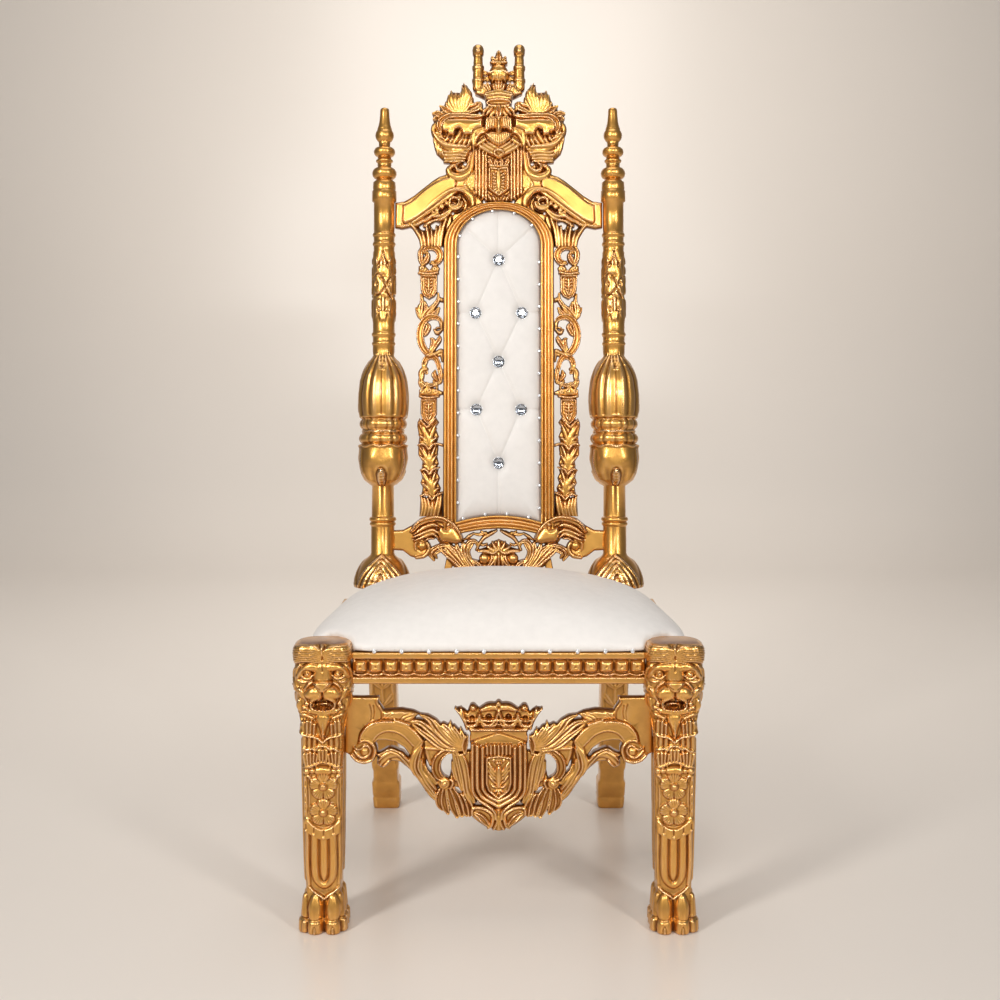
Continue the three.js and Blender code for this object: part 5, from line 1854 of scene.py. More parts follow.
                ring = [(centre + x, y - reach), (centre + x + 2.6, y), (centre + x, y + 1.4 * reach),
                    (centre + x - 2.6, y)]
                r.groove([*ring, ring[0]], 1.9, 4)
            r.button((centre, 583), 3, 1.4, 2.4)

    def leg(self, low: Array, high: Array) -> tuple[Array, list, Array]:
        """The raked rear leg, with leafage down its front edge.

        Args:
            low: The lowest corner of the post's box.
            high: Its highest corner.

        Returns:
            Its corners, its faces and how deep each corner lies.
        """
        middle = 0.5 * (low[0] + high[0])
        levels = ((0, 28, -281, -339, 7), (3, 29, -280, -340, 7), (22, 30.5, -276.5, -337.5, 7),
            (25, 29, -277, -336, 7), (29, 30.5, -275, -335.5, 7), (60, 31, -263, -325, 7),
            (64, 29, -262.5, -323, 7), (68, 27.2, -261, -320, 7), (92, 27.2, -253, -311, 7),
            (97, 29, -250.5, -310, 7), (106, 30, -248, -308, 7), (300, 30, -194, -258, 7),
            (430, 30, -180, -241, 7), (511, 30, -180, -241, 7))
        face = Relief(grid(-34, 34, 1.2), grid(0, 512, 1.2), solid=True)
        face.pair([(24, 505, 2), (25, 420, 3), (22, 380, 4), (25, 340, 3), (22, 300, 4), (25, 262, 3),
            (23, 226, 3)], 0, 3.4)
        for side in (-1, 1):
            for height in (470, 430, 392, 352, 312, 272, 236):
                face.leaf((3 * side, height - 20), (24 * side, height + 12), 6, -3 * side, 0, 3.6)
            face.groove([(24 * side, 205), (24 * side, 112)], 1.6, 1.8)
        face.strand([(0, 500, 3), (0, 350, 4), (0, 222, 2)], 0, 2.6, Cut.RIDGE)
        face.settle()
        return Column(levels, middle, 0.0, pitch=(1.9, 3.0, 4.0), rise=2.6).body(face)

    def make(self) -> None:
        """Turns and carves the post and its leg as one piece."""
        low, high = node_box(f"rear_post_{self.name}")
        angle = np.linspace(-math.pi, math.pi, self.columns, endpoint=False)
        heights = self.heights()
        lift = np.zeros((len(heights), self.columns))
        deep = np.zeros_like(lift)
        for (bottom, top, radius, _), carve in zip(self.BANDS, (self.bell, self.bulb, self.straps)):
            rows = (heights >= bottom) & (heights <= top)
            relief = Relief(angle * radius, heights[rows], solid=True)
            carve(relief)
            relief.settle()
            lift[rows], deep[rows] = relief.z, relief.hollows(3)
        radius = self.radius(heights)[:, None] + lift
        x, out = radius * np.sin(angle), radius * np.cos(angle)
        tall = np.broadcast_to(heights[:, None], x.shape)
        plane = back_plane()
        axis = self.sign * 249.0
        post = Plane(axis, plane.y, plane.z, plane.lean).place(np.column_stack([x.ravel(), tall.ravel(),
            out.ravel()]))
        faces = band_faces(*x.shape, capped=True)
        leg, sides, depths = self.leg(low, high)
        faces += [[corner + len(post) for corner in side] for side in sides]
        piece = make_mesh(f"rear_post_carving_{self.name}", np.vstack([post, leg]), faces, GILDING,
                          np.concatenate([deep.ravel(), depths.ravel()]))
        hand_in(piece, "gilding", f"rear_post_{self.name}")


# ------------------------------------------------------------------ the apron


@dataclass
class Apron:
    """The pierced stretcher between the front legs, with the crowned shield in its middle.

    Args:
        step: Pitch of the carving's grid.
        back: Height of its flat back.
    """

    step: float = 1.15
    back: float = -9.0

    def board(self, r: Relief) -> None:
        """The flat board that meets the leg, with the leaf on its shoulder.

        Args:
            r: The carving.
        """
        r.plate([(272, 404.5), (213.5, 403.5), (215.5, 393.5), (207, 380.5), (207.5, 363.5), (229.5, 353.5),
            (243, 337), (246, 326.5), (219.5, 320.5), (216.5, 304), (222, 291.5), (237, 285.5),
            (252.5, 288.5), (265.5, 300), (272.5, 304)], [(0, 1), (2, 4), (4, 4.5)])
        r.groove([(228.5, 391), (225, 376), (226.5, 361.5)], 1.6, 3)
        r.groove([(222, 389), (221, 376), (222.5, 363.5)], 1.6, 3)
        r.strand([(213.5, 402.5, 2), (215, 393.5, 3), (206.5, 380, 3), (206, 365.5, 2)], 2, 5)
        shoulder = [(206, 380.5), (171, 383), (150.5, 379), (140, 374), (150.5, 363.5), (158.5, 356.5),
            (183, 362.5), (209, 363)]
        r.plate(shoulder, [(0, 1), (2.5, 6), (6, 9)])
        r.groove([(204.5, 363.5), (198, 370.5), (188, 377)], 1.5, 2.6)
        r.groove([(198, 363.5), (193, 369.5), (186.5, 373)], 1.5, 2.2)
        r.groove([(175, 364.5), (167, 371.5), (154.5, 375)], 1.6, 2.6)
        r.groove([(169, 363.5), (160.5, 368.5), (146.5, 373)], 1.6, 2.6)
        r.strand([(185, 366.5, 1), (183, 363, 2.5), (175, 361, 2.5), (158.5, 355, 3)], 5, 7)

    def scroll(self, r: Relief) -> None:
        """The moulded arch with the volute at its foot.

        Args:
            r: The carving.
        """
        arch = [(245.5, 328.5), (242, 340.5), (229.5, 354), (211.5, 360.5), (185, 360.5), (167, 356),
            (149.5, 344), (133.5, 326), (156.5, 297.5), (167, 313), (183, 323.5), (199.5, 326.5),
            (213.5, 326.5), (219.5, 320.5), (233, 327.5)]
        r.plate(arch, [(0, 4), (1.2, 9.5), (3, 10.5), (6, 9.5)])
        moulding = [(222.5, 326.5), (213.5, 338), (199.5, 344), (183, 343), (167, 335), (149.5, 316.5),
            (156.5, 297.5), (167, 313), (183, 323.5), (199.5, 326.5), (213.5, 326.5), (219.5, 320.5)]
        r.tool(moulding, lambda x, y: np.full(x.shape, -2.6))
        r.strand([(221.5, 328.5, 1.4), (213.5, 338, 1.6), (199.5, 344, 1.6), (183, 343, 1.6),
            (167, 335, 1.6), (150.5, 318, 1.6)], 7, 4)
        r.strand([(245.5, 327.5, 2), (241.5, 340.5, 2.2), (229.5, 353.5, 2.2), (211.5, 360, 2.2),
            (185, 360, 2.2), (167, 355.5, 2.2), (149.5, 343.5, 2.2), (134, 325.5, 2)], 8, 3.4)
        r.plate([(245.5, 326.5), (232, 328.5), (219.5, 320.5), (216, 307), (222, 291.5), (237, 285.5),
            (252.5, 288.5), (262.5, 300), (257.5, 314)], [(0, 2), (3, 6)], rounded=True)
        r.strand([(247, 323, 2), (239, 327, 3), (229, 325.5, 3.6), (219.5, 315.5, 4), (219.5, 304, 4),
            (225, 292.5, 4), (238, 288.5, 4), (251.5, 291.5, 3.6), (261.5, 301, 2.5)], 4, 8)
        r.strand([(256.5, 314, 1.5), (250.5, 311, 2.2), (243.5, 312, 2.2), (238.5, 316.5, 2.2),
            (232, 317.5, 2.4), (227, 310, 2.4), (230, 301, 2.4), (239, 296, 2.4), (249, 300, 2.2),
            (256, 308.5, 1.6)], 4, 6)
        r.button((237.5, 306.5), 7.4, 5, 5.5)

    def stem(self, r: Relief) -> None:
        """The hooked leaf under the arch and the stem that runs from it to the fans.

        Args:
            r: The carving.
        """
        r.plate([(214.5, 304), (193.5, 312), (175, 309), (156.5, 293.5), (150.5, 304), (133.5, 323.5),
            (131.5, 302), (126.5, 273), (112.5, 254.5), (108, 244), (109.5, 227.5), (112.5, 219.5),
            (126.5, 229), (138.5, 247.5), (155, 270), (175, 287), (191.5, 289), (199.5, 279.5),
            (209.5, 277), (216, 283.5)], [(0, 0), (2.5, 4)])
        r.strands(2, 8, [(210.5, 282.5, 3), (204.5, 290.5, 5.5), (194.5, 299, 6), (179, 301, 5),
            (167, 291.5, 4), (154, 276, 4.4), (137.5, 254.5, 4.4), (122.5, 233, 5), (113.5, 221, 3)],
            [(204.5, 280.5, 3), (199.5, 284.5, 3.4), (194, 290.5, 3)])
        r.strand([(212, 301, 3), (202.5, 304, 5), (191.5, 309, 5.5), (178, 304, 5), (165, 291.5, 4.4),
            (149, 272, 5), (131.5, 250.5, 6), (116, 233, 5), (110.5, 225.5, 3)], 3, 9, Cut.VEIN)
        r.strand([(212.5, 291.5, 2), (205.5, 299, 3.4), (195.5, 305, 3)], 6, 6)
        r.strand([(176.5, 307.5, 1.5), (169.5, 302.5, 3.6), (159, 290.5, 2.5)], 5, 9)
        r.strand([(148, 265, 3), (154, 282.5, 6), (150.5, 300, 7), (135.5, 322, 2.5)], 3, 10)
        r.strand([(114.5, 230, 4), (131.5, 254.5, 6), (144.5, 277, 6.4), (143.5, 295.5, 6.4),
            (137.5, 312, 3)], 4, 10, Cut.VEIN)
        r.strand([(111.5, 240, 3), (123.5, 256.5, 5), (135.5, 273, 5), (137.5, 291.5, 4)], 3, 9)
        r.strand([(110.5, 249.5, 3), (118.5, 260.5, 4), (127.5, 271, 4), (131.5, 283.5, 2)], 2, 8, Cut.VEIN)

    def fans(self, r: Relief) -> None:
        """The acanthus fans over and under the scroll.

        Args:
            r: The carving.
        """
        low, high = 1.0, 9.5
        r.plate([(133.5, 326), (118, 328.5), (92, 314), (66.5, 314), (77.5, 304), (106, 302),
            (117.5, 291.5), (118.5, 275), (128.5, 291.5)], [(0, 0), (2, 4)])
        r.strands(low, high, [(65.5, 309.5, 3), (88, 310.5, 5), (106, 317.5, 6), (124.5, 332.5, 6.4),
            (138.5, 343, 5), (152.5, 355, 2)],
            [(65.5, 312, 4), (91, 318.5, 6), (116, 340, 7), (138.5, 358, 6), (158.5, 359, 2)],
            [(65.5, 314, 4), (86.5, 323.5, 6), (108, 345, 7), (122, 363.5, 6), (138.5, 371.5, 2)],
            [(65.5, 316.5, 4), (82.5, 325.5, 5.5), (102, 345, 5.5), (112, 359.5, 4), (126, 370.5, 1.5)],
            [(65.5, 317.5, 4), (77.5, 326.5, 5.5), (95, 343, 5.5), (103.5, 352, 4), (113.5, 359.5, 1.5)],
            [(65.5, 318.5, 4), (75.5, 329.5, 5.5), (88.5, 345, 6), (97, 353.5, 4), (98.5, 355.5, 1.5)],
            [(65, 319.5, 4), (73.5, 332.5, 5.5), (84.5, 347, 5.5), (85.5, 358.5, 1.5)],
            [(64, 321.5, 3.6), (69.5, 334, 5), (76.5, 345, 4.4), (79, 352, 1.5)],
            [(63.5, 323.5, 3.6), (64, 334, 4.6), (67.5, 347, 1.5)],
            [(62.5, 326.5, 3), (60.5, 332.5, 4), (59, 336, 1.5)], cut=Cut.VEIN)
        r.strand([(56.5, 331.5, 3), (59.5, 320.5, 5.6), (60, 304, 3)], 2, 9, Cut.HOLLOW)
        r.strand([(130.5, 312, 2), (116, 312, 4), (94, 309.5, 3)], 2, 6)
        r.strand([(129.5, 314, 2), (126.5, 302, 4), (120.5, 281.5, 3)], 1, 5)
        r.strands(low, high, [(101, 240, 4), (106, 225.5, 6.4), (105.5, 212.5, 6), (101, 203, 3)],
            [(97, 237, 4), (97, 219.5, 6.4), (94, 205, 6), (89.5, 195.5, 3)],
            [(89, 238, 4), (84, 221.5, 6.4), (80, 205, 6.4), (73.5, 190, 4)],
            [(83, 240, 4), (73.5, 223.5, 6), (67, 207, 6), (65, 191.5, 3.4)],
            [(69.5, 230, 4), (62.5, 215.5, 6), (59, 203, 6), (56.5, 192, 3.4)],
            [(59.5, 227.5, 4), (53.5, 213.5, 6), (50, 201, 5), (51, 191.5, 3)], cut=Cut.HOLLOW)

    def hook(self, r: Relief) -> None:
        """The C scroll that ends in a ball, and the leaf between it and the shield.

        Args:
            r: The carving.
        """
        r.plate([(71.5, 304), (49, 308), (49.5, 238), (37, 211), (51.5, 207), (65.5, 227.5), (81, 244),
            (88, 256.5), (80.5, 291.5)], [(0, -2), (2, 3)])
        r.pierce([(80, 243), (71.5, 241), (64.5, 235), (67.5, 230.5), (75.5, 235.5)])
        r.pierce([(47.5, 213.5), (41, 214.5), (32.5, 209), (38, 206.5)])
        r.strands(1, 8, [(80.5, 304, 2.5), (75.5, 279.5, 5), (70.5, 256.5, 5), (66, 238, 3)],
            [(73.5, 304, 3), (67, 283.5, 5.4), (62, 258.5, 5.4), (57.5, 232, 5.4), (47.5, 211, 4)],
            [(65.5, 300, 3), (59, 283.5, 5), (55, 258.5, 5), (52.5, 238, 5), (43, 215.5, 3)],
            [(82.5, 287.5, 2), (80.5, 273, 3.4), (75.5, 256.5, 3)], cut=Cut.VEIN)
        r.strand([(75, 301, 2), (84.5, 306.5, 4), (97, 304, 6), (108, 292.5, 8), (111, 276, 8.4),
            (105.5, 263, 7), (97.5, 257, 5)], 1, 12, Cut.HOLLOW)
        r.button((97, 250), 11.5, 2, 10.5)
        r.groove([(104, 254.5), (103, 247.5), (97, 244), (91, 249.5), (95, 254.5), (99, 250.5)], 1.6, 2.4)
        r.strand([(85, 256.5, 3), (81, 250.5, 3.4), (86, 240, 3)], 1, 8)

    def shield(self, r: Relief) -> None:
        """The fluted shield with a small shield on it, and the stem below.

        Args:
            r: The carving.
        """
        edge = [(-8, 343), (51.5, 323.5), (49.5, 320.5), (49.5, 250.5), (47.5, 233), (39, 219.5), (25, 211),
            (10.5, 204), (3.5, 194.5), (3.5, 184.5), (10.5, 167), (0, 166), (-9, 168), (-8, 190)]
        r.plate(edge, [(0, 1), (2, 4.5)])
        for path, half in (([(46.5, 320), (46.5, 250.5), (44, 233), (34.5, 220.5), (19, 210), (7, 199),
                (5, 186.5)], 3.6), ([(38, 317.5), (38, 250.5), (34.5, 235), (25.5, 223.5), (11.5, 215.5),
                (2, 209.5)], 4.2), ([(28.5, 314), (28.5, 250.5), (25.5, 237), (17, 227.5), (6.5, 221.5),
                (0, 218)], 3.8)):
            r.strand([(*place, half) for place in path], 4, 8.5, swell=0)
        for across in (0, 6.9, 13.7, 20.4):
            r.strand([(across, 318.5, 3), (across, 303, 3)], 4, 7.5, swell=0)
        r.plate([(-10, 303), (23, 298), (23.5, 250.5), (19, 237), (8.5, 227.5), (0, 221.5), (-10, 224)],
            [(0, 5), (1.2, 13), (3, 14), (3.8, 9), (5, 8.5)])
        for root, tip, half in (((3.5, 268), (19, 291), 2.6), ((3.5, 262), (19, 284), 2.6), ((3.5, 256),
                (19, 276), 2.6), ((4, 250), (18, 267), 2.4), ((3.5, 243), (13, 249), 2.2), ((3.2, 240),
                (8, 236), 2), ((1, 240), (2.6, 230), 1.8)):
            r.leaf(root, tip, half, -1, 8.5, 5, Cut.ROUND)
        r.plate([(0, 286), (4, 280), (6.5, 265), (5, 250), (2, 241), (-4, 250), (-4, 280)],
            [(0, 9), (2, 13), (5, 15.5)], rounded=True)
        r.button((2.6, 288), 3, 9, 5)
        r.button((9, 292), 3, 8, 4.5, 0.3)
        r.strand([(0, 224, 7), (0, 212, 5), (0, 196, 4.6), (0, 182, 6), (0, 168, 8)], 3, 9, Cut.RIDGE)
        r.strand([(1.5, 190.5, 2.6), (4, 178, 3.2), (9, 167.5, 3)], 3, 8)
        r.plate([(48.5, 205), (39, 209.5), (24.5, 207.5), (7.5, 199), (7, 185.5), (13, 170), (19, 168),
            (31, 174), (49.5, 190.5)], [(0, 0), (3, 4)], rounded=True)
        r.strand([(47.5, 192.5, 2.6), (46, 204, 3.4), (35, 206.5, 4), (23, 203, 4), (10.5, 191.5, 4),
            (12.5, 174, 3.4), (19, 168.5, 2)], 2, 9)
        r.strand([(44, 195.5, 2), (34, 190.5, 5), (24.5, 181.5, 5.4), (17, 171, 2)], 3, 9, Cut.HOLLOW)
        r.button((14.5, 197), 3.4, 4, 7)

    def crown(self, r: Relief) -> None:
        """The pierced crown over the shield.

        Args:
            r: The carving.
        """
        r.plate([(-8, 343), (51.5, 323.5), (51.5, 331.5), (50, 339), (55, 347), (-8, 365)], [(0, 2), (2, 5)])
        for height, half, tall in ((347, 3.2, 9.5), (354, 2.4, 7.5), (363, 3.4, 7.5)):
            reach = 49.5 if height < 350 else 51.5 if height < 360 else 54
            r.strand([(0, height, half), (reach, height, half)], 4, tall, swell=0)
        r.plate([(-8, 362), (56, 346.5), (60.5, 360.5), (68.5, 375), (77.5, 383), (66.5, 385),
            (59.5, 380.5), (55, 375.5), (53, 385), (47, 391), (38, 387), (31.5, 377.5), (24.5, 386.5),
            (10.5, 391), (0, 396.5), (-8, 397), (-8, 362)], [(0, -2), (3, 2.5)])
        r.strand([(56, 346.5, 2.6), (60.5, 360.5, 3), (68.5, 375, 3.4), (76.5, 383, 2)], 2, 8)
        r.strand([(61, 364.5, 2), (64, 374, 3), (67, 383.5, 2)], 2, 7)
        for path in ([(59.5, 364.5), (56.5, 354.5), (47.5, 351), (39, 359), (34, 374)],
                [(34, 374), (29.5, 360), (17.5, 354.5), (6.5, 362.5), (0, 379.5)]):
            r.strand([(*place, 2.6) for place in path], 4, 7.5, swell=0)
        r.strands(4, 6, [(39, 347, 2), (34, 361, 2.4), (27.5, 347, 2)],
            [(6, 347, 2), (0, 363.5, 2.4), (-6, 347, 2)])
        for centre, radius in (((47, 365.5), 4.6), ((17.5, 368), 5)):
            r.tool([turn_about(centre, radius, angle) for angle in range(0, 360, 45)], lambda x,
                y: np.full(x.shape, -7.0))
        r.tool([(40, 348.5), (34, 359), (27.5, 348.5)], lambda x, y: np.full(x.shape, -6.0))
        r.tool([(6.5, 349), (0, 362), (-6, 350)], lambda x, y: np.full(x.shape, -6.0))
        r.button((45.5, 385), 6.6, 4, 9)
        for end in ((51.5, 386.5), (39, 386)):
            r.groove([(45.5, 379.5), end], 1.2, 2)
        r.strand([(30.5, 381.5, 4), (18.5, 386, 6.6), (7.5, 386.5, 6), (1.5, 381.5, 2.5)], 4, 9, Cut.ROUND)
        r.groove([(19.5, 391), (18.5, 381.5)], 1.2, 2)
        r.groove([(16.5, 391), (15.5, 381.5)], 1.2, 2)
        r.button((0, 392.5), 5, 6, 6.5, 0.4)

    def make(self) -> None:
        """Carves the stretcher and casts it."""
        low, high = node_box("front_apron")
        face = high[1] + self.back
        half = Relief(grid(0, high[0], self.step), grid(low[2] - 1, high[2] + 1, self.step))
        for carve in (self.board, self.stem, self.fans, self.scroll, self.hook, self.shield, self.crown):
            carve(half)
        half.mirror()
        hand_in(half.cast("apron_carving", Plane(y=face), self.back, GILDING), "gilding", "front_apron")


@dataclass
class FrontLeg:
    """A front leg: a lion's head over a carved shank and a paw.

    Args:
        sign: The side it stands on, -1 or 1.
        name: The side's name.
        inward: How far its face is turned towards the middle of the chair.
    """

    sign: int
    name: str
    inward: float = 3.0
    LEVELS = ((0, 35, 36, -34, 5), (3, 36.5, 38.5, -35.5, 5), (20, 36, 39, -36, 5), (24, 34, 36.5, -34, 5),
        (40, 33, 35.5, -34, 5), (56, 32, 32.5, -32, 6), (68, 30.5, 30, -30.5, 7), (80, 30.5, 30, -30, 7),
        (130, 32, 32, -30.5, 8), (285, 34.6, 34, -32.5, 8), (330, 35, 35, -33, 7), (345, 35.5, 35, -33, 6),
        (368, 37, 33, -36, 5), (388, 43, 31, -40, 4), (404, 46.5, 31, -42, 3.6), (425, 48.5, 32, -43, 3.5),
        (458, 49.5, 33, -43, 3.5), (476, 49, 34, -43, 3.6), (490, 49.5, 37, -43, 4), (500, 48, 37, -42, 4),
        (505, 45, 34, -39, 3.6), (507.5, 38, 28, -32, 3.2))

    def mane(self, r: Relief) -> None:
        """Waves of the mane over the forehead.

        Args:
            r: The carving.
        """
        for level in range(8):
            height, dip = 504.6 - 3.75 * level, 9.5 - level
            r.pair([(1.2, height - dip, 1), (6, height - 0.5 * dip, 1.7), (15, height, 1.8),
                (34, height + 0.4, 1.8), (54, height - 3 - 0.5 * level, 1.6)], 2.2, 4.6)
        r.strand([(0, 507, 3.4), (-1, 499, 3), (0, 489, 1)], 4, 4.5, Cut.RIDGE)
        r.strand([(-6, 480.5, 2), (0, 478.5, 3), (6, 480.5, 2)], 3, 4)

    def face(self, r: Relief) -> None:
        """Brows, eyes, nose and muzzle.

        Args:
            r: The carving.
        """
        r.strand([(0, 466, 13), (0, 452, 16), (0, 440, 15)], 0, 11)
        r.groove([(0, 477), (0, 462)], 2.2, 2.6)
        r.pair([(6, 466, 6), (15, 468.5, 8.5), (27, 466.5, 7.5), (37, 459, 5), (43, 448, 2)], 1, 8.5)
        for side in (-1, 1):
            r.tool([turn_about((26 * side, 455.5), 9.6, a) for a in range(0, 360, 30)],
                   lambda x, y: np.full(x.shape, -3.2), rounded=True)
            r.button((26 * side, 455.5), 6.4, -1, 8.5)
            r.button((26 * side + 0.6, 456.2), 2.3, 6, 3.2)
            r.strand([(17 * side, 454, 1.6), (22 * side, 448.6, 1.9), (29 * side, 448, 1.9),
                (36 * side, 452, 1.6)], 1, 5.5)
            r.strand([(34 * side, 457, 2), (40 * side, 452, 3.4), (46 * side, 447.5, 2.4),
                (43 * side, 443, 2), (34 * side, 441, 2), (26 * side, 443, 1.4)], 0.5, 4.4)
            r.strand([(15 * side, 444, 1.6), (25 * side, 437, 2.2), (31 * side, 428, 2.4),
                (32 * side, 416, 2.2), (28 * side, 407, 1.6)], 0.5, 4.6)
            r.strand([(40 * side, 470, 2), (47 * side, 456, 2.6), (48 * side, 438, 2.6),
                (42 * side, 424, 2.4), (37 * side, 414, 1.6)], 0, 4)
            r.strand([(22 * side, 421, 9), (14 * side, 424, 12.5), (9 * side, 421, 11),
                (15 * side, 411, 7)], 3, 12)
            r.strand([(44 * side, 420, 1.5), (40 * side, 427, 4), (34 * side, 414, 2)], 1, 6, Cut.VEIN)
        r.plate([(-17, 442), (-8, 447), (8, 447), (17, 442), (12, 434), (4, 425), (-4, 425), (-12, 434)],
            [(0, 9), (2, 15), (5, 18.5)], rounded=True)
        for side in (-1, 1):
            r.groove([(13 * side, 440), (8 * side, 435), (4 * side, 433)], 1.8, 4)
        r.groove([(0, 426), (0, 413)], 1.8, 5)
        r.groove([(-18, 408), (-8, 411), (0, 414), (8, 411), (18, 408)], 2, 2.5)

    def jaw(self, r: Relief) -> None:
        """The open mouth, the teeth, the beard and the tufts of the cheeks.

        Args:
            r: The carving.
        """
        r.strand([(-22, 392, 5), (0, 388.5, 6), (22, 392, 5)], 1, 8)
        mouth = [(-17, 402), (-14, 408.5), (-5, 412.5), (5, 412.5), (14, 408.5), (17, 402), (14, 396.5),
            (0, 395), (-14, 396.5)]
        place, distance = r.measure(mouth, True)
        share = np.clip(0.5 - distance, 0, 1)
        r.z[place] = r.z[place] * (1 - share) - 15 * share
        r.strand([(-13, 399.5, 1.4), (0, 400.5, 2), (13, 399.5, 1.4)], -13, 6)
        for x in (-16.5, -11.2, -5.6, 0, 5.6, 11.2, 16.5):
            r.button((x, 392.5 + 0.011 * x * x), 2.6, 4.5, 6)
        r.pairs(4, 6, [(20.5, 408, 1.6), (20, 402, 2.8), (18.5, 395, 2.2)],
            [(5, 413.5, 2), (5.6, 409, 1.5), (5.8, 406.5, 0.8)])
        r.pair([(40, 391, 3), (42.5, 399, 5.6), (41, 409, 2)], 1, 8, Cut.RIDGE)
        r.pair([(50, 392, 2), (40, 385.5, 3), (29, 383.5, 3.6), (17, 378, 2.5)], 0, 5)
        r.pair([(47, 384, 2), (40, 374, 3.4), (34, 366, 2.4)], 0, 4.5)
        r.pair([(41, 371, 2), (36, 362, 3), (38, 352, 2)], 0, 4)
        for side in (-1, 1):
            r.button((28 * side, 402.5), 4, 1, 6, 0.5)
            r.button((32.5 * side, 396.5), 3.4, 1, 5.5, 0.4)
            r.button((27 * side, 394.5), 3, 2, 5)
        r.strand([(0, 379, 13), (0, 374, 11), (0.5, 362, 6.5), (0.5, 344, 1.5)], 1, 8.5)
        r.strand([(0, 374, 2), (0.5, 360, 2), (0.5, 346, 1)], 7, 2.5, Cut.RIDGE)

    def collars(self, r: Relief) -> None:
        """The reeded collar, the fringe, the three shells and the beads.

        Args:
            r: The carving.
        """
        collar = [(-33, 372), (-26, 375), (-13, 371), (-9, 352), (0, 339), (9, 350), (14, 371), (28, 374),
            (35, 371), (38, 352), (30, 347), (14, 343), (0, 336), (-12, 346), (-28, 351), (-35, 357)]
        r.plate(collar, [(0, 1), (2, 3)])
        r.pair([(34, 366, 1.8), (36.5, 359, 2.4), (33, 351.5, 2.6), (24, 348.5, 2.4), (11, 346, 2.4),
            (0, 337.5, 2.6)], 4, 5.5)
        r.pair([(34, 293.5, 1.8), (22, 294.5, 2.4), (12, 299.5, 2.4), (0, 302.5, 2.2)], 2, 5)
        for side in (-1, 1):
            for root, tip in (((32, 354), (33, 371)), ((27, 353), (26.5, 374)), ((21.5, 351),
                    (20.5, 373.5)), ((15.5, 350), (14.5, 369))):
                r.strand([(root[0] * side, root[1], 2.2), (tip[0] * side, tip[1], 3)], 2, 6)
            for x in (5, 14, 23, 31.5):
                r.strand([(x * side, 322, 3.2), ((x + 0.6) * side, 334, 3.8),
                    (x * side, 341 + 0.2 * x, 3.4)], 0.6, 5)
            for tip in (-12, -6, 0, 6, 11):
                r.strand([((21.5 + 0.75 * tip) * side, 296.5 - 0.01 * tip**2, 2), ((21.5 + tip) * side,
                    318 - 0.02 * tip**2, 2.8)], 1.2, 5.6)
            r.button((29 * side, 285.5), 6, 0.5, 7)
            r.button((19 * side, 286), 5, 0, 6)
        for tip in (-6.4, 0, 6.4):
            r.strand([(0.85 * tip, 303, 2.4), (tip, 323, 3.4)], 1.6, 6)
        r.strand([(-34, 327, 2), (-27, 325, 2.4), (-18, 326.5, 2.4), (-12, 324, 2.4), (-7, 331, 2.6),
            (6, 330.5, 2.6), (12, 325.5, 2.4), (18, 327, 2.4), (25, 322.5, 2.4), (34, 320, 2)], 3.5, 5)
        r.strand([(-9, 287, 7.5), (0, 288, 8.5), (9, 287, 7.5)], 0, 9)

    def rosette(self, r: Relief, middle: Point) -> None:
        """A flower of five broad striped petals round a boss.

        Args:
            r: The carving.
            middle: The flower's middle.
        """
        x, y = middle
        outline = []
        for turn in range(0, 360, 9):
            reach = 20.6 + 4.4 * abs(math.cos(math.radians(2.5 * (turn - 90))))**0.6
            outline.append(turn_about(middle, reach, turn))
        r.plate(outline, [(0, 1.2), (1.6, 4.6), (4, 5.6), (14, 3.2)])

        def petals(a: Array, b: Array) -> Array:
            """Height of the petals' stripes and gaps.

            Args:
                a: Places across.
                b: Places up.

            Returns:
                The height there, from -3.4 to 1.
            """
            turn, reach = np.arctan2(b - y, a - x), np.hypot(a - x, b - y)
            gap = np.abs(np.mod(turn - math.radians(54),
                math.radians(72)) - math.radians(36)) - math.radians(36)
            return np.clip(reach / 8 - 0.8, 0,
                1) * (np.cos(30 * turn) - 3.4 * np.exp(-(gap * reach / 1.3)**2))

        r.tool(outline, petals)
        r.button(middle, 7, 3, 7.5)

    def shank(self, r: Relief) -> None:
        """Rosettes between slit borders, over a scalloped apron and the flutes.

        Args:
            r: The carving.
        """
        r.pair([(31, 277, 2.6), (30.5, 240, 3), (30.5, 206, 2.6), (26, 200, 2)], 0, 5)
        r.pair([(33, 277, 2), (25, 277, 3), (21, 270, 1.5)], 0.5, 5)
        for side in (-1, 1):
            for height in (268, 254, 240, 226, 212):
                r.groove([(30.5 * side, height), (30.5 * side, height - 8)], 1.4, 3.4)
            r.strand([(25.5 * side, 262, 1.2), (24.5 * side, 236, 1.6), (25.5 * side, 210, 1.2)], 0, 2.6)
        for height in (259, 213):
            self.rosette(r, (0, height))
        r.plate([(-35, 184), (-34, 201), (-25, 199), (-15, 189.5), (0, 184), (15, 189.5), (25, 199),
            (34, 201), (35, 184), (22, 171.5), (0, 163), (-22, 171.5)], [(0, 0.5), (1.5, 4.6), (3, 5.4)],
            rounded=True)
        for x, top, low in ((0, 181, 168), (17, 186, 174), (-17, 186, 174), (30, 192, 181), (-30, 192, 181)):
            r.groove([(x, top), (x, low + 2)], 2, 3)
            r.button((x, low), 2.4, 4.4, 3)
        r.strand([(-16, 170, 6.6), (-16, 115, 6.8), (-12.5, 93, 6.2), (0, 82, 5.6), (12.5, 93, 6.2),
            (16, 115, 6.8), (16, 170, 6.6)], 0, 6)
        r.strand([(0, 168, 7), (0, 112, 7.2), (0, 99, 5.5), (0, 92, 2)], 0, 5)
        r.pair([(28, 180, 3.2), (28.5, 120, 3.6), (26, 84, 3)], 0, 5)

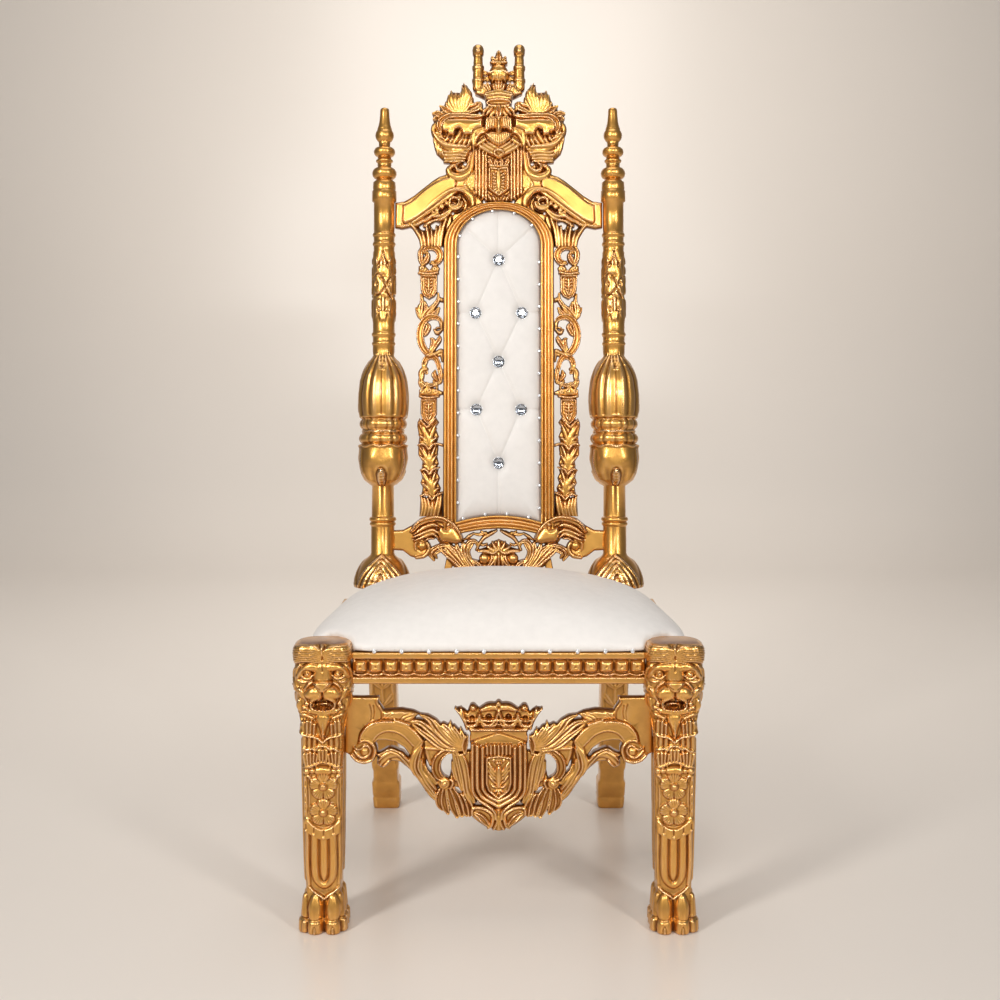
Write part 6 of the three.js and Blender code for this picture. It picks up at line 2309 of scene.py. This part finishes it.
    def paw(self, r: Relief) -> None:
        """Toes and claws.

        Args:
            r: The carving.
        """
        r.pair([(28, 82, 1.4), (17, 71, 2), (7, 65, 2.4), (0, 59, 2)], 1.5, 5)
        r.pair([(15, 60, 8), (15.5, 46, 12), (15.5, 30, 11)], 0.5, 8.5)
        r.pair([(15.5, 21, 11), (15.5, 11, 12.6), (15.5, 3, 12)], 1, 9)
        r.pair([(34, 64, 3), (35, 46, 6), (35, 30, 6)], 0.5, 6)
        r.pair([(36, 21, 6), (36, 10, 7), (36, 3, 7)], 1, 7)
        for side in (-1, 1):
            for shift in (-2.6, 2.6):
                r.groove([(15.5 * side + 0.2 * shift, 15), (15.5 * side + shift, 9),
                    (15.5 * side + shift, 1)], 1.5, 2.6)
            r.strand([(15.5 * side, 12, 1), (15.5 * side, 5, 2.2), (15.5 * side, 1, 2)], 8, 3)
        r.groove([(0, 56), (0, 1)], 2.8, 6)
        r.groove([(-36, 25.5), (-15, 24), (0, 26), (15, 24), (36, 25.5)], 1.8, 2.6)

    def flank(self) -> Relief:
        """Carves the sides, over depth and height.

        Returns:
            The carving.
        """
        r = Relief(grid(-46, 42, 1.0), grid(0, 508, 1.25), solid=True)
        for level, height in enumerate((503, 498, 493, 488, 483, 478)):
            r.strand([(-44, height, 1.6), (-20, height - 1.5, 2.2), (5, height + 1.5, 2.2),
                (38, height - 1, 1.8)], 0, 3)
        r.strands(0, 4, [(30, 470, 2), (18, 458, 3.4), (12, 440, 3.4), (20, 424, 2.4)],
            [(-34, 380, 2), (0, 368, 3.4), (30, 352, 2.4)])
        for root, tip, bend in (((4, 440), (-30, 470), 5), ((4, 436), (-38, 448), 4), ((4, 430), (-38, 426),
                -3), ((6, 424), (-28, 404), -5), ((8, 416), (-8, 386), -4)):
            r.leaf(root, tip, 7, bend, 0, 5)
        r.volute((10, 432), (11, 3), 90, -420, (3.2, 2), 1, 5, eye=2.6)
        for edge in (-25, 25):
            r.strand([(edge, 340, 2), (edge, 200, 2.2), (0.9 * edge, 90, 2)], 0, 2.8)
        for height in np.arange(96, 330, 13.0):
            r.button((18, height), 2.2, 0, 2.4)
        r.groove([(12, 330), (12, 96)], 1.4, 1.6)
        r.strand([(-14, 330, 3), (-8, 220, 6), (-6, 110, 3)], 0, 2.4, Cut.VEIN)
        for place in (-22, 0, 22):
            r.strand([(place, 60, 7), (place, 30, 10)], 0, 5)
            r.strand([(place, 20, 10), (place, 3, 10)], 0.5, 6)
        r.groove([(-36, 25), (36, 25)], 1.8, 2.4)
        return r

    def make(self) -> None:
        """Carves the leg."""
        low, high = node_box(f"front_leg_{self.name}")
        face = Relief(grid(-52, 52, 0.8), grid(0, 508, 0.8), solid=True)
        for carve in (self.mane, self.face, self.jaw, self.collars, self.shank, self.paw):
            carve(face)
        flank = self.flank()
        for relief in (face, flank):
            relief.settle()
        column = Column(self.LEVELS, x=0.5 * (low[0] + high[0]), y=-288.0)
        points, faces, deep = column.body(face, flank, -self.inward * self.sign)
        piece = make_mesh(f"front_leg_carving_{self.name}", points, faces, GILDING, deep)
        hand_in(piece, "gilding", f"front_leg_{self.name}")


# ------------------------------------------------------------------ seat


def rounded_box(low: Point, high: Point, radius: float, steps: int = 3) -> tuple[Array, list]:
    """A board with rounded long edges, running along x.

    Args:
        low: Its lowest corner.
        high: Its highest corner.
        radius: Radius of its edges.
        steps: Faces round each edge.

    Returns:
        Its corners and faces.
    """
    y0, z0, y1, z1 = low[1] + radius, low[2] + radius, high[1] - radius, high[2] - radius
    ring = []
    for cy, cz, start in ((y0, z0, 180), (y1, z0, 270), (y1, z1, 0), (y0, z1, 90)):
        ring += [turn_about((cy, cz), radius, start + turn) for turn in np.linspace(0, 90, steps + 1)]
    places = [low[0], low[0] + 0.6, *np.linspace(low[0], high[0], 9)[1:-1], high[0] - 0.6, high[0]]
    points = []
    for i, x in enumerate(places):
        shrink = 0.98 if i in (0, len(places) - 1) else 1.0
        cy, cz = 0.5 * (y0 + y1), 0.5 * (z0 + z1)
        points += [(x, cy + (y - cy) * shrink, cz + (z - cz) * shrink) for y, z in ring]
    count = len(ring)
    faces = [face[::-1] for face in band_faces(len(places), count)]
    faces += [list(range(count)), [len(points) - 1 - i for i in range(count)]]
    return np.array(points), faces


@dataclass
class FrontRail:
    """The front seat rail with its row of square beads.

    Args:
        pitch: Spacing of the beads.
    """

    pitch: float = 27.0

    def make(self) -> None:
        """Carves the rail and casts it."""
        low, high = node_box("front_rail")
        middle, wide, tall = 463.4, 12.3, 11.6
        r = Relief(grid(0, high[0], 1.2), grid(low[2], high[2], 0.9), solid=True)
        section = [(432, -3), (433, -1), (434, 0), (442.5, 0), (444, -1.2), (444.8, -6), (449, -8),
            (474, -8), (475.6, -6), (476.4, -1.2), (478, 0), (485.5, 0), (487.2, -1), (488, -3)]
        r.z[:] = np.interp(r.y, *zip(*section))
        for i in range(int(high[0] / self.pitch) + 1):
            x = i * self.pitch
            box = []
            for turn in np.radians(np.arange(0, 360, 15)):
                reach = (abs(math.cos(turn))**4.5 + abs(math.sin(turn))**4.5) ** (-1 / 4.5)
                box.append((x + wide * reach * math.cos(turn), middle + tall * reach * math.sin(turn)))
            r.plate(box, [(0, -8), (1, -4.6), (2.6, -1.6), (5, 0.8), (8, 2.2), (12, 3)])
            r.tool(box, lambda x_, y_, c=x: -3.4 * np.exp(-(np.hypot(x_ - c, y_ - middle + 1) / 2.6)**2))
            r.strand([(x - 13.5, 450, 1.6), (x - 7, 447.6, 1.5), (x, 447, 1.5), (x + 7, 447.6, 1.5),
                (x + 13.5, 450, 1.6)], -7, 4.6)
        r.strand([(high[0] - 3, 452, 2), (high[0] - 3, 474, 2)], -7, 5, Cut.FLAT)
        r.mirror()
        piece = r.cast("front_rail_carving", Plane(y=low[1] + 3.0), -29.0, GILDING, soften=0.4)
        hand_in(piece, "gilding", "front_rail")


@dataclass
class SideRails:
    """The moulded side rails and the rear rail."""

    def make(self) -> None:
        """Makes the three rails."""
        for name in ("side_rail_left", "side_rail_right", "rear_rail"):
            low, high = node_box(name)
            along = 0 if name == "rear_rail" else 1
            parts = []
            for bottom, top, inset in ((432, 443.6, 0), (443.2, 476.2, 3.4), (475.8, 488, 0)):
                a, b = low.copy(), high.copy()
                across = 1 - along
                a[2], b[2] = bottom, top
                a[across] += inset
                b[across] -= inset
                if along:
                    a[:2], b[:2] = a[1::-1].copy(), b[1::-1].copy()
                points, faces = rounded_box(a, b, 2.4 if inset == 0 else 1.2)
                if along:
                    points = points[:, (1, 0, 2)]
                    faces = [face[::-1] for face in faces]
                parts.append((points, faces))
            piece = joined(f"{name}_moulded", parts, GILDING)
            hand_in(piece, "gilding", name)


def inflate(piece: bpy.types.Object, pressure: float, grain: float, seam: float) -> None:
    """Fills padding by a pressure run in cloth, and keeps the shape it ends in.

    Args:
        piece: The padded piece, a little smaller than it ends.
        pressure: Outward push on its surface.
        grain: Size of the cloth's mesh, in metres.
        seam: Height up to which the cloth is nailed down.
    """
    with bpy.context.temp_override(object=piece, active_object=piece, selected_objects=[piece]):
        piece.data = piece.data.copy()
        applied(piece, "REMESH", mode="VOXEL", voxel_size=grain, use_smooth_shade=True)
        cloth = piece.modifiers.new("cloth", "CLOTH")
        settings = cloth.settings
        settings.quality, settings.mass = 6, 0.3
        settings.tension_stiffness = settings.compression_stiffness = 18
        settings.bending_stiffness = 3
        settings.use_pressure, settings.uniform_pressure_force = True, pressure
        held = piece.vertex_groups.new(name="seam")
        held.add([v.index for v in piece.data.vertices if v.co.z < seam * MM], 1.0, "REPLACE")
        settings.vertex_group_mass = held.name
        settings.effector_weights.gravity = 0.0
        cloth.point_cache.frame_start, cloth.point_cache.frame_end = 1, 20
        scene = bpy.context.scene
        for shot in range(1, 21):
            scene.frame_set(shot)
        bpy.ops.object.modifier_apply(modifier=cloth.name)
        scene.frame_set(1)


@dataclass
class SeatCushion:
    """The domed white seat, notched round the lions' heads and the posts.

    Args:
        rim: Height of its lower edge.
        half: Its half width at the widest.
        front: Depth of its front edge.
        back: Depth of its back edge.
    """

    rim: float = 488.6
    half: float = 338.0
    front: float = -303.5
    back: float = 185.0
    DOME = ((0, 0.984), (0.012, 0.99), (0.03, 0.995), (0.055, 0.999), (0.085, 1), (0.12, 0.997),
        (0.16, 0.99), (0.2, 0.98), (0.25, 0.965), (0.3, 0.948), (0.36, 0.925), (0.42, 0.898), (0.49, 0.862),
        (0.55, 0.826), (0.6, 0.79), (0.65, 0.752), (0.69, 0.72), (0.73, 0.682), (0.76, 0.65), (0.8, 0.603),
        (0.83, 0.565), (0.86, 0.523), (0.89, 0.476), (0.915, 0.43), (0.94, 0.376), (0.96, 0.32),
        (0.975, 0.262), (0.988, 0.19), (0.996, 0.11))

    def contour(self, share: float, scale: float, count: int = 240) -> Array:
        """One level line of the seat, counter-clockwise from above.

        Args:
            share: How high it lies, of the dome's height.
            scale: Its size against the widest line.
            count: Its corners.

        Returns:
            Rows of x and y.
        """
        square = 6.5 - 4.2 * min(1.0, share / 0.9) ** 0.6
        turn = np.linspace(-math.pi, math.pi, count, endpoint=False)
        reach = (np.abs(np.cos(turn))**square + np.abs(np.sin(turn))**square) ** (-1 / square)
        middle = 0.5 * (self.front + self.back)
        x, y = reach * np.cos(turn), reach * np.sin(turn) * (self.back - middle) * scale + middle
        x = x * scale * self.half * np.interp(y, (-226, 130), (1, 0.897))
        if share < 0.24:
            for corner_x, corner_y, way in ((253.0, -243.5, -1), (182.0, 143.0, 1)):
                past_x, past_y = np.abs(x) - corner_x, way * (y - corner_y)
                notch = (past_x > 0) & (past_y > 0)
                x = np.where(notch & (past_x <= past_y), np.sign(x) * corner_x, x)
                y = np.where(notch & (past_x > past_y), corner_y, y)
        return np.column_stack([x, y])

    def shell(self) -> tuple[Array, list]:
        """Makes the closed dome.

        Returns:
            Its corners and faces.
        """
        _, high = node_box("seat_cushion")
        tall = high[2] - self.rim
        rings = [np.column_stack([line, np.full(len(line), self.rim + tall * share)])
                 for share, scale in self.DOME for line in (self.contour(share, scale),)]
        points = np.vstack([*rings, [[0.0, 0.5 * (self.front + self.back), self.rim + tall]]])
        rows, count = len(rings), len(rings[0])
        faces = band_faces(rows, count)
        top = (rows - 1) * count
        faces += [[top + i, top + (i + 1) % count, len(points) - 1] for i in range(count)]
        faces.append(list(range(count))[::-1])
        return points, faces

    def make(self) -> None:
        """Makes the seat and lets its padding fill out."""
        points, faces = self.shell()
        middle = np.array([0.0, -59.0, self.rim])
        points = middle + (points - middle) * (0.985, 0.985, 0.93)
        piece = make_mesh("seat_upholstery", points, faces, LEATHER)
        inflate(piece, 4.0, 0.006, self.rim + 14)
        soften(piece)
        fit(piece, "seat_cushion")
        hand_in(piece, "upholstery", "seat_cushion")
        self.tacks()

    def tacks(self) -> None:
        """Crystal tacks round the lower edge of the seat."""
        line = self.contour(0.0, 1.0, 2400)
        start = int(np.argmin(np.hypot(line[:, 0] - 18, line[:, 1] - self.front)))
        line = np.roll(line, -start, axis=0)
        travelled, parts = 24.0, []
        for i in range(1, len(line)):
            travelled += math.hypot(*(line[i] - line[i - 1]))
            if travelled < 47.5 or line[i][1] > 130:
                continue
            travelled = 0.0
            out = line[(i + 1) % len(line)] - line[i - 1]
            normal = np.array([out[1], -out[0]]) / math.hypot(*out)
            parts.append(gem((*(line[i] + normal * 1.5), 491.0), (*normal, 0.2), 3.8))
        piece = joined("seat_tacks", parts, STUD, smooth=False)
        hand_in(piece, "crystal")


def fit(piece: bpy.types.Object, node: str) -> None:
    """Brings a padded piece back into the box of its frame node.

    Args:
        piece: The piece.
        node: The node that it stands for.
    """
    low, high = node_box(node)
    data = piece.data
    flat = np.empty(len(data.vertices) * 3)
    data.vertices.foreach_get("co", flat)
    points = flat.reshape(-1, 3)
    for axis in range(3):
        least, most = points[:, axis].min(), points[:, axis].max()
        share = (points[:, axis] - least) / (most - least)
        points[:, axis] = (low[axis] + (high[axis] - low[axis]) * share) * MM
    data.vertices.foreach_set("co", points.ravel())
    data.update()


def soften(piece: bpy.types.Object) -> None:
    """Smooths a padded piece and makes its mesh finer.

    Args:
        piece: The piece.
    """
    applied(piece, "SMOOTH", factor=0.5, iterations=6)
    applied(piece, "SUBSURF", levels=1, render_levels=1)
    piece.data.polygons.foreach_set("use_smooth", [True] * len(piece.data.polygons))


def gem(place: Point, out: Point, radius: float, sides: int = 12) -> tuple[Array, list]:
    """A small faceted stone.

    Args:
        place: Its middle.
        out: The way it faces.
        radius: Its radius.
        sides: Facets round it.

    Returns:
        Its corners and faces.
    """
    z = Vector(out).normalized()
    x = z.orthogonal().normalized()
    y = z.cross(x)
    points = []
    for share, height, twist in ((0.9, -0.5, 0), (1.0, 0.0, 0), (0.98, 0.18, 0), (0.62, 0.62, 0.5),
            (0.34, 0.74, 0)):
        for i in range(sides):
            turn = 2 * math.pi * (i + twist) / sides
            corner = x * math.cos(turn) * share + y * math.sin(turn) * share + z * height
            points.append([place[k] + radius * corner[k] for k in range(3)])
    return np.array(points), band_faces(5, sides, capped=True)


def turned(rings: Sequence[Point], middle: Point, sides: int, twist: float = 0.0) -> tuple[Array, list]:
    """A small turned form.

    Args:
        rings: Radius and height of each ring of corners.
        middle: Its place.
        sides: Corners in a ring.
        twist: How far every other ring is turned, in sides.

    Returns:
        Its corners and faces.
    """
    x, y, base = middle
    points = []
    for ring, (radius, height) in enumerate(rings):
        for i in range(sides):
            turn = 2 * math.pi * (i + twist * (ring % 2)) / sides
            points.append((x + radius * math.cos(turn), y + radius * math.sin(turn), base + height))
    return np.array(points), band_faces(len(rings), sides, capped=True)


# ------------------------------------------------------------------ back pad


@dataclass
class BackPad:
    """The tufted pad in the arch, with its crystal buttons, tacks and lining.

    Args:
        step: Spacing of its corners.
        face: Height of its face over the back plane.
        pillow: How far it bulges.
        dimple: Depth of its tufting.
    """

    step: float = 1.8
    face: float = 1.0
    pillow: float = 15.0
    dimple: float = 11.0
    BUTTONS = ((0, 712), (50, 596.5), (-50, 596.5), (0, 490.5), (48, 387), (-48, 387), (0, 272))

    def pleats(self) -> list:
        """Lines of the pleats between the buttons and out to the edge.

        Returns:
            Pairs of ends.
        """
        top, right, left, middle, low_right, low_left, bottom = self.BUTTONS
        lines = [(top, right), (top, left), (right, middle), (left, middle), (middle, low_right),
            (middle, low_left), (low_right, bottom), (low_left, bottom)]
        lines += [(right, (92, 596.5)), (left, (-92, 596.5)), (low_right, (92, 387)), (low_left,
            (-92, 387)), (bottom, (0, 158)), (top, (0, 822)), (top, (72, 780)), (top, (-72, 780))]
        return lines

    def height(self, x: Array, y: Array, depth: Array) -> Array:
        """Height of the pad.

        Args:
            x: The places.
            y: Their heights on the back.
            depth: How far inside the pad's edge they lie.

        Returns:
            The heights.
        """
        rise = self.pillow * (1 - np.exp(-np.clip(depth, 0, None) / 13))
        fall = np.zeros_like(x)
        for bx, by in self.BUTTONS:
            away = np.hypot(x - bx, y - by)
            fall = np.maximum(fall, self.dimple * np.exp(-(away / 15.5)**1.6))
        for (ax, ay), (bx, by) in self.pleats():
            run = math.hypot(bx - ax, by - ay)
            share = np.clip(((x - ax) * (bx - ax) + (y - ay) * (by - ay)) / run**2, 0, 1)
            away = np.hypot(x - ax - share * (bx - ax), y - ay - share * (by - ay))
            sharp = 4.4 * np.exp(-away / 1.7) + 2.2 * np.exp(-(away / 12)**2)
            fall = fall + sharp * (1 - 0.25 * np.sin(math.pi * share))
        return self.face + rise - np.minimum(fall, self.dimple + 4)

    def make(self) -> None:
        """Makes the pad, its buttons and tacks, and the lining behind it."""
        frame_ = ArchFrame()
        r = Relief(grid(-91, 91, self.step), grid(144, 823, self.step), solid=True)
        depth = frame_.inside(r.x, r.y, -0.2)
        r.edge = -depth
        r.z = self.height(r.x, r.y, depth)
        pad = r.cast("back_upholstery", back_plane(), -11.0, LEATHER, soften=3.0)
        hand_in(pad, "upholstery", "back_pad")
        self.buttons()
        self.tacks(frame_)
        self.lining()

    def buttons(self) -> None:
        """Cut crystal buttons in silvered settings."""
        stone = ((11.2, -1.5), (12.0, 0.5), (12.0, 1.8), (9.6, 4.2), (6.4, 5.8))
        cup = ((12.6, -4), (13.0, -1.4), (12.8, 0.9), (12.1, 0.9), (11.6, -1.6), (4, -3.4))
        plane, settings = back_plane(), []
        base = self.face + self.pillow - self.dimple + 2.0
        for number, (x, y) in enumerate(self.BUTTONS, start=1):
            points, faces = turned(stone, (x, y, base), 16, 0.5)
            piece = make_mesh(f"crystal_stone_{number}", plane.place(points), faces, CRYSTAL, smooth=False)
            hand_in(piece, "crystal", f"crystal_button_{number}")
            points, faces = turned(cup, (x, y, base), 24)
            settings.append((plane.place(points), faces))
        hand_in(joined("crystal_settings", settings, MIRROR), "crystal")

    def tacks(self, frame_: ArchFrame) -> None:
        """Crystal tacks along the edge of the pad.

        Args:
            frame_: The arch round it.
        """
        plane = back_plane()
        line = frame_.outline(-2.2, 160, 160, 60)
        travelled, parts = 0.0, []
        face = plane.place(np.array([[0.0, 0.0, 1.0], [0.0, 0.0, 0.0]]))
        out = face[0] - face[1]
        for i in range(1, len(line)):
            travelled += math.hypot(*(line[i] - line[i - 1]))
            if travelled >= 46.6:
                travelled = 0.0
                place = plane.place(np.array([[*line[i], 8.0]]))[0]
                parts.append(gem(place, out, 3.6))
        hand_in(joined("pad_tacks", parts, STUD, smooth=False), "crystal")

    def lining(self) -> None:
        """The taut cloth behind the pad."""
        r = Relief(grid(-89.4, 89.4, 4.5), grid(145, 821, 4.5), solid=True)
        depth = ArchFrame().inside(r.x, r.y, -0.8)
        r.edge = -depth
        r.z = 2.0 * (1 - np.exp(-np.clip(depth, 0, None) / 25))
        plane = back_plane()
        piece = r.cast("back_lining_cloth", plane, 0.0, LINING, soften=1.0)
        flip(piece, plane, -14.0)
        hand_in(piece, "back_lining", "back_panel")


def flip(piece: bpy.types.Object, plane: Plane, depth: float) -> None:
    """Turns a cast piece to face the back.

    Args:
        piece: The piece.
        plane: The plane that it was cast in.
        depth: Where its flat side comes to lie, over the plane.
    """
    across, up, out = plane.place(np.array([[1.0, 0, 0], [0, 1.0, 0], [0, 0,
        1.0]])) - plane.place(np.zeros((1, 3)))
    base = plane.place(np.zeros((1, 3)))[0] * MM
    for vertex in piece.data.vertices:
        height = (np.array(vertex.co) - base) @ out
        vertex.co = Vector(np.array(vertex.co) + out * (depth * MM - 2 * height))
    piece.data.flip_normals()


# ------------------------------------------------------------------ studio


@dataclass
class Studio:
    """The pale floor, the soft lights and the camera."""

    eye: Point = (0.0, -2.535, 1.028)
    pitch: float = 2.5
    lens: float = 46.44
    shift: Point = (0.0013, -0.1)

    def floor(self) -> None:
        """A plain pale floor that sweeps up behind."""
        depth, rise, bend = 3.2, 4.0, 1.4
        line = [(-7.0, 0.0), (depth, 0.0)]
        line += [(depth + bend * math.sin(a),
            bend - bend * math.cos(a)) for a in np.linspace(0.1, math.pi / 2, 16)]
        line.append((depth + bend, rise))
        points = [(x * 1000, y * 1000, z * 1000 - 0.5) for y, z in line for x in (-6.0, 6.0)]
        faces = [[2 * i, 2 * i + 1, 2 * i + 3, 2 * i + 2] for i in range(len(line) - 1)]
        sweep = make_mesh("studio_floor", np.array(points), faces, PaleFloor())

    def light(self, name: str, place: Point, target: Point, size: Point, power: float,
              colour: Point = (1.0, 1.0, 1.0)) -> None:
        """Sets up a soft light.

        Args:
            name: Its name.
            place: Where it stands.
            target: The point that it is aimed at.
            size: Its width and height.
            power: Its power in watts.
            colour: Its colour.
        """
        lamp = bpy.data.lights.new(name, "AREA")
        lamp.shape, lamp.energy, lamp.color = "RECTANGLE", power, colour
        lamp.size, lamp.size_y = size
        holder = bpy.data.objects.new(name, lamp)
        holder.location = place
        holder.rotation_euler = (Vector(target) - Vector(place)).to_track_quat("-Z", "Y").to_euler()
        bpy.context.collection.objects.link(holder)

    def make(self) -> None:
        """Sets up the floor, the lights, the surroundings and the camera."""
        self.floor()
        self.light("key_light", (-2.1, -2.5, 2.3), (0, 0, 0.8), (0.5, 1.8), 62, (1.0, 0.985, 0.96))
        self.light("fill_light", (1.9, -2.7, 2.0), (0, 0, 0.8), (0.4, 1.7), 34, (1.0, 0.99, 0.97))
        self.light("front_light", (0.0, -3.6, 2.1), (0, 0, 0.7), (1.4, 0.4), 40)
        self.light("top_light", (0.0, 0.1, 3.6), (0, 0, 0.5), (1.8, 1.8), 21)
        self.light("sweep_light", (0.0, 1.3, 3.2), (0, 4.5, 1.4), (2.6, 2.2), 88, (1.0, 0.97, 0.93))
        world = bpy.data.worlds.new("studio_air")
        world.use_nodes = True
        world.node_tree.nodes["Background"].inputs["Color"].default_value = (0.93, 0.91, 0.89, 1)
        world.node_tree.nodes["Background"].inputs["Strength"].default_value = 0.2
        bpy.context.scene.world = world
        bpy.context.scene.view_settings.view_transform = "Standard"
        view = bpy.data.cameras.new("camera")
        view.lens, view.sensor_width = self.lens, 36.0
        view.shift_x, view.shift_y = self.shift
        camera = bpy.data.objects.new("camera", view)
        camera.location = self.eye
        camera.rotation_euler = (math.radians(90 - self.pitch), 0, 0)
        bpy.context.collection.objects.link(camera)
        bpy.context.scene.camera = camera


def main() -> None:
    """Builds the throne piece by piece."""
    logging.basicConfig(level=logging.INFO, format="%(message)s")
    for assembly in ASSEMBLIES:
        assembly.make()


ASSEMBLIES = (Studio(), Crest(), ArchFrame(), Fretwork(), LowerRail(), BackPost(-1, "left"),
    BackPost(1, "right"), Apron(), FrontLeg(-1, "left"), FrontLeg(1, "right"), FrontRail(), SideRails(),
    SeatCushion(), BackPad())

if __name__ == "__main__":
    main()
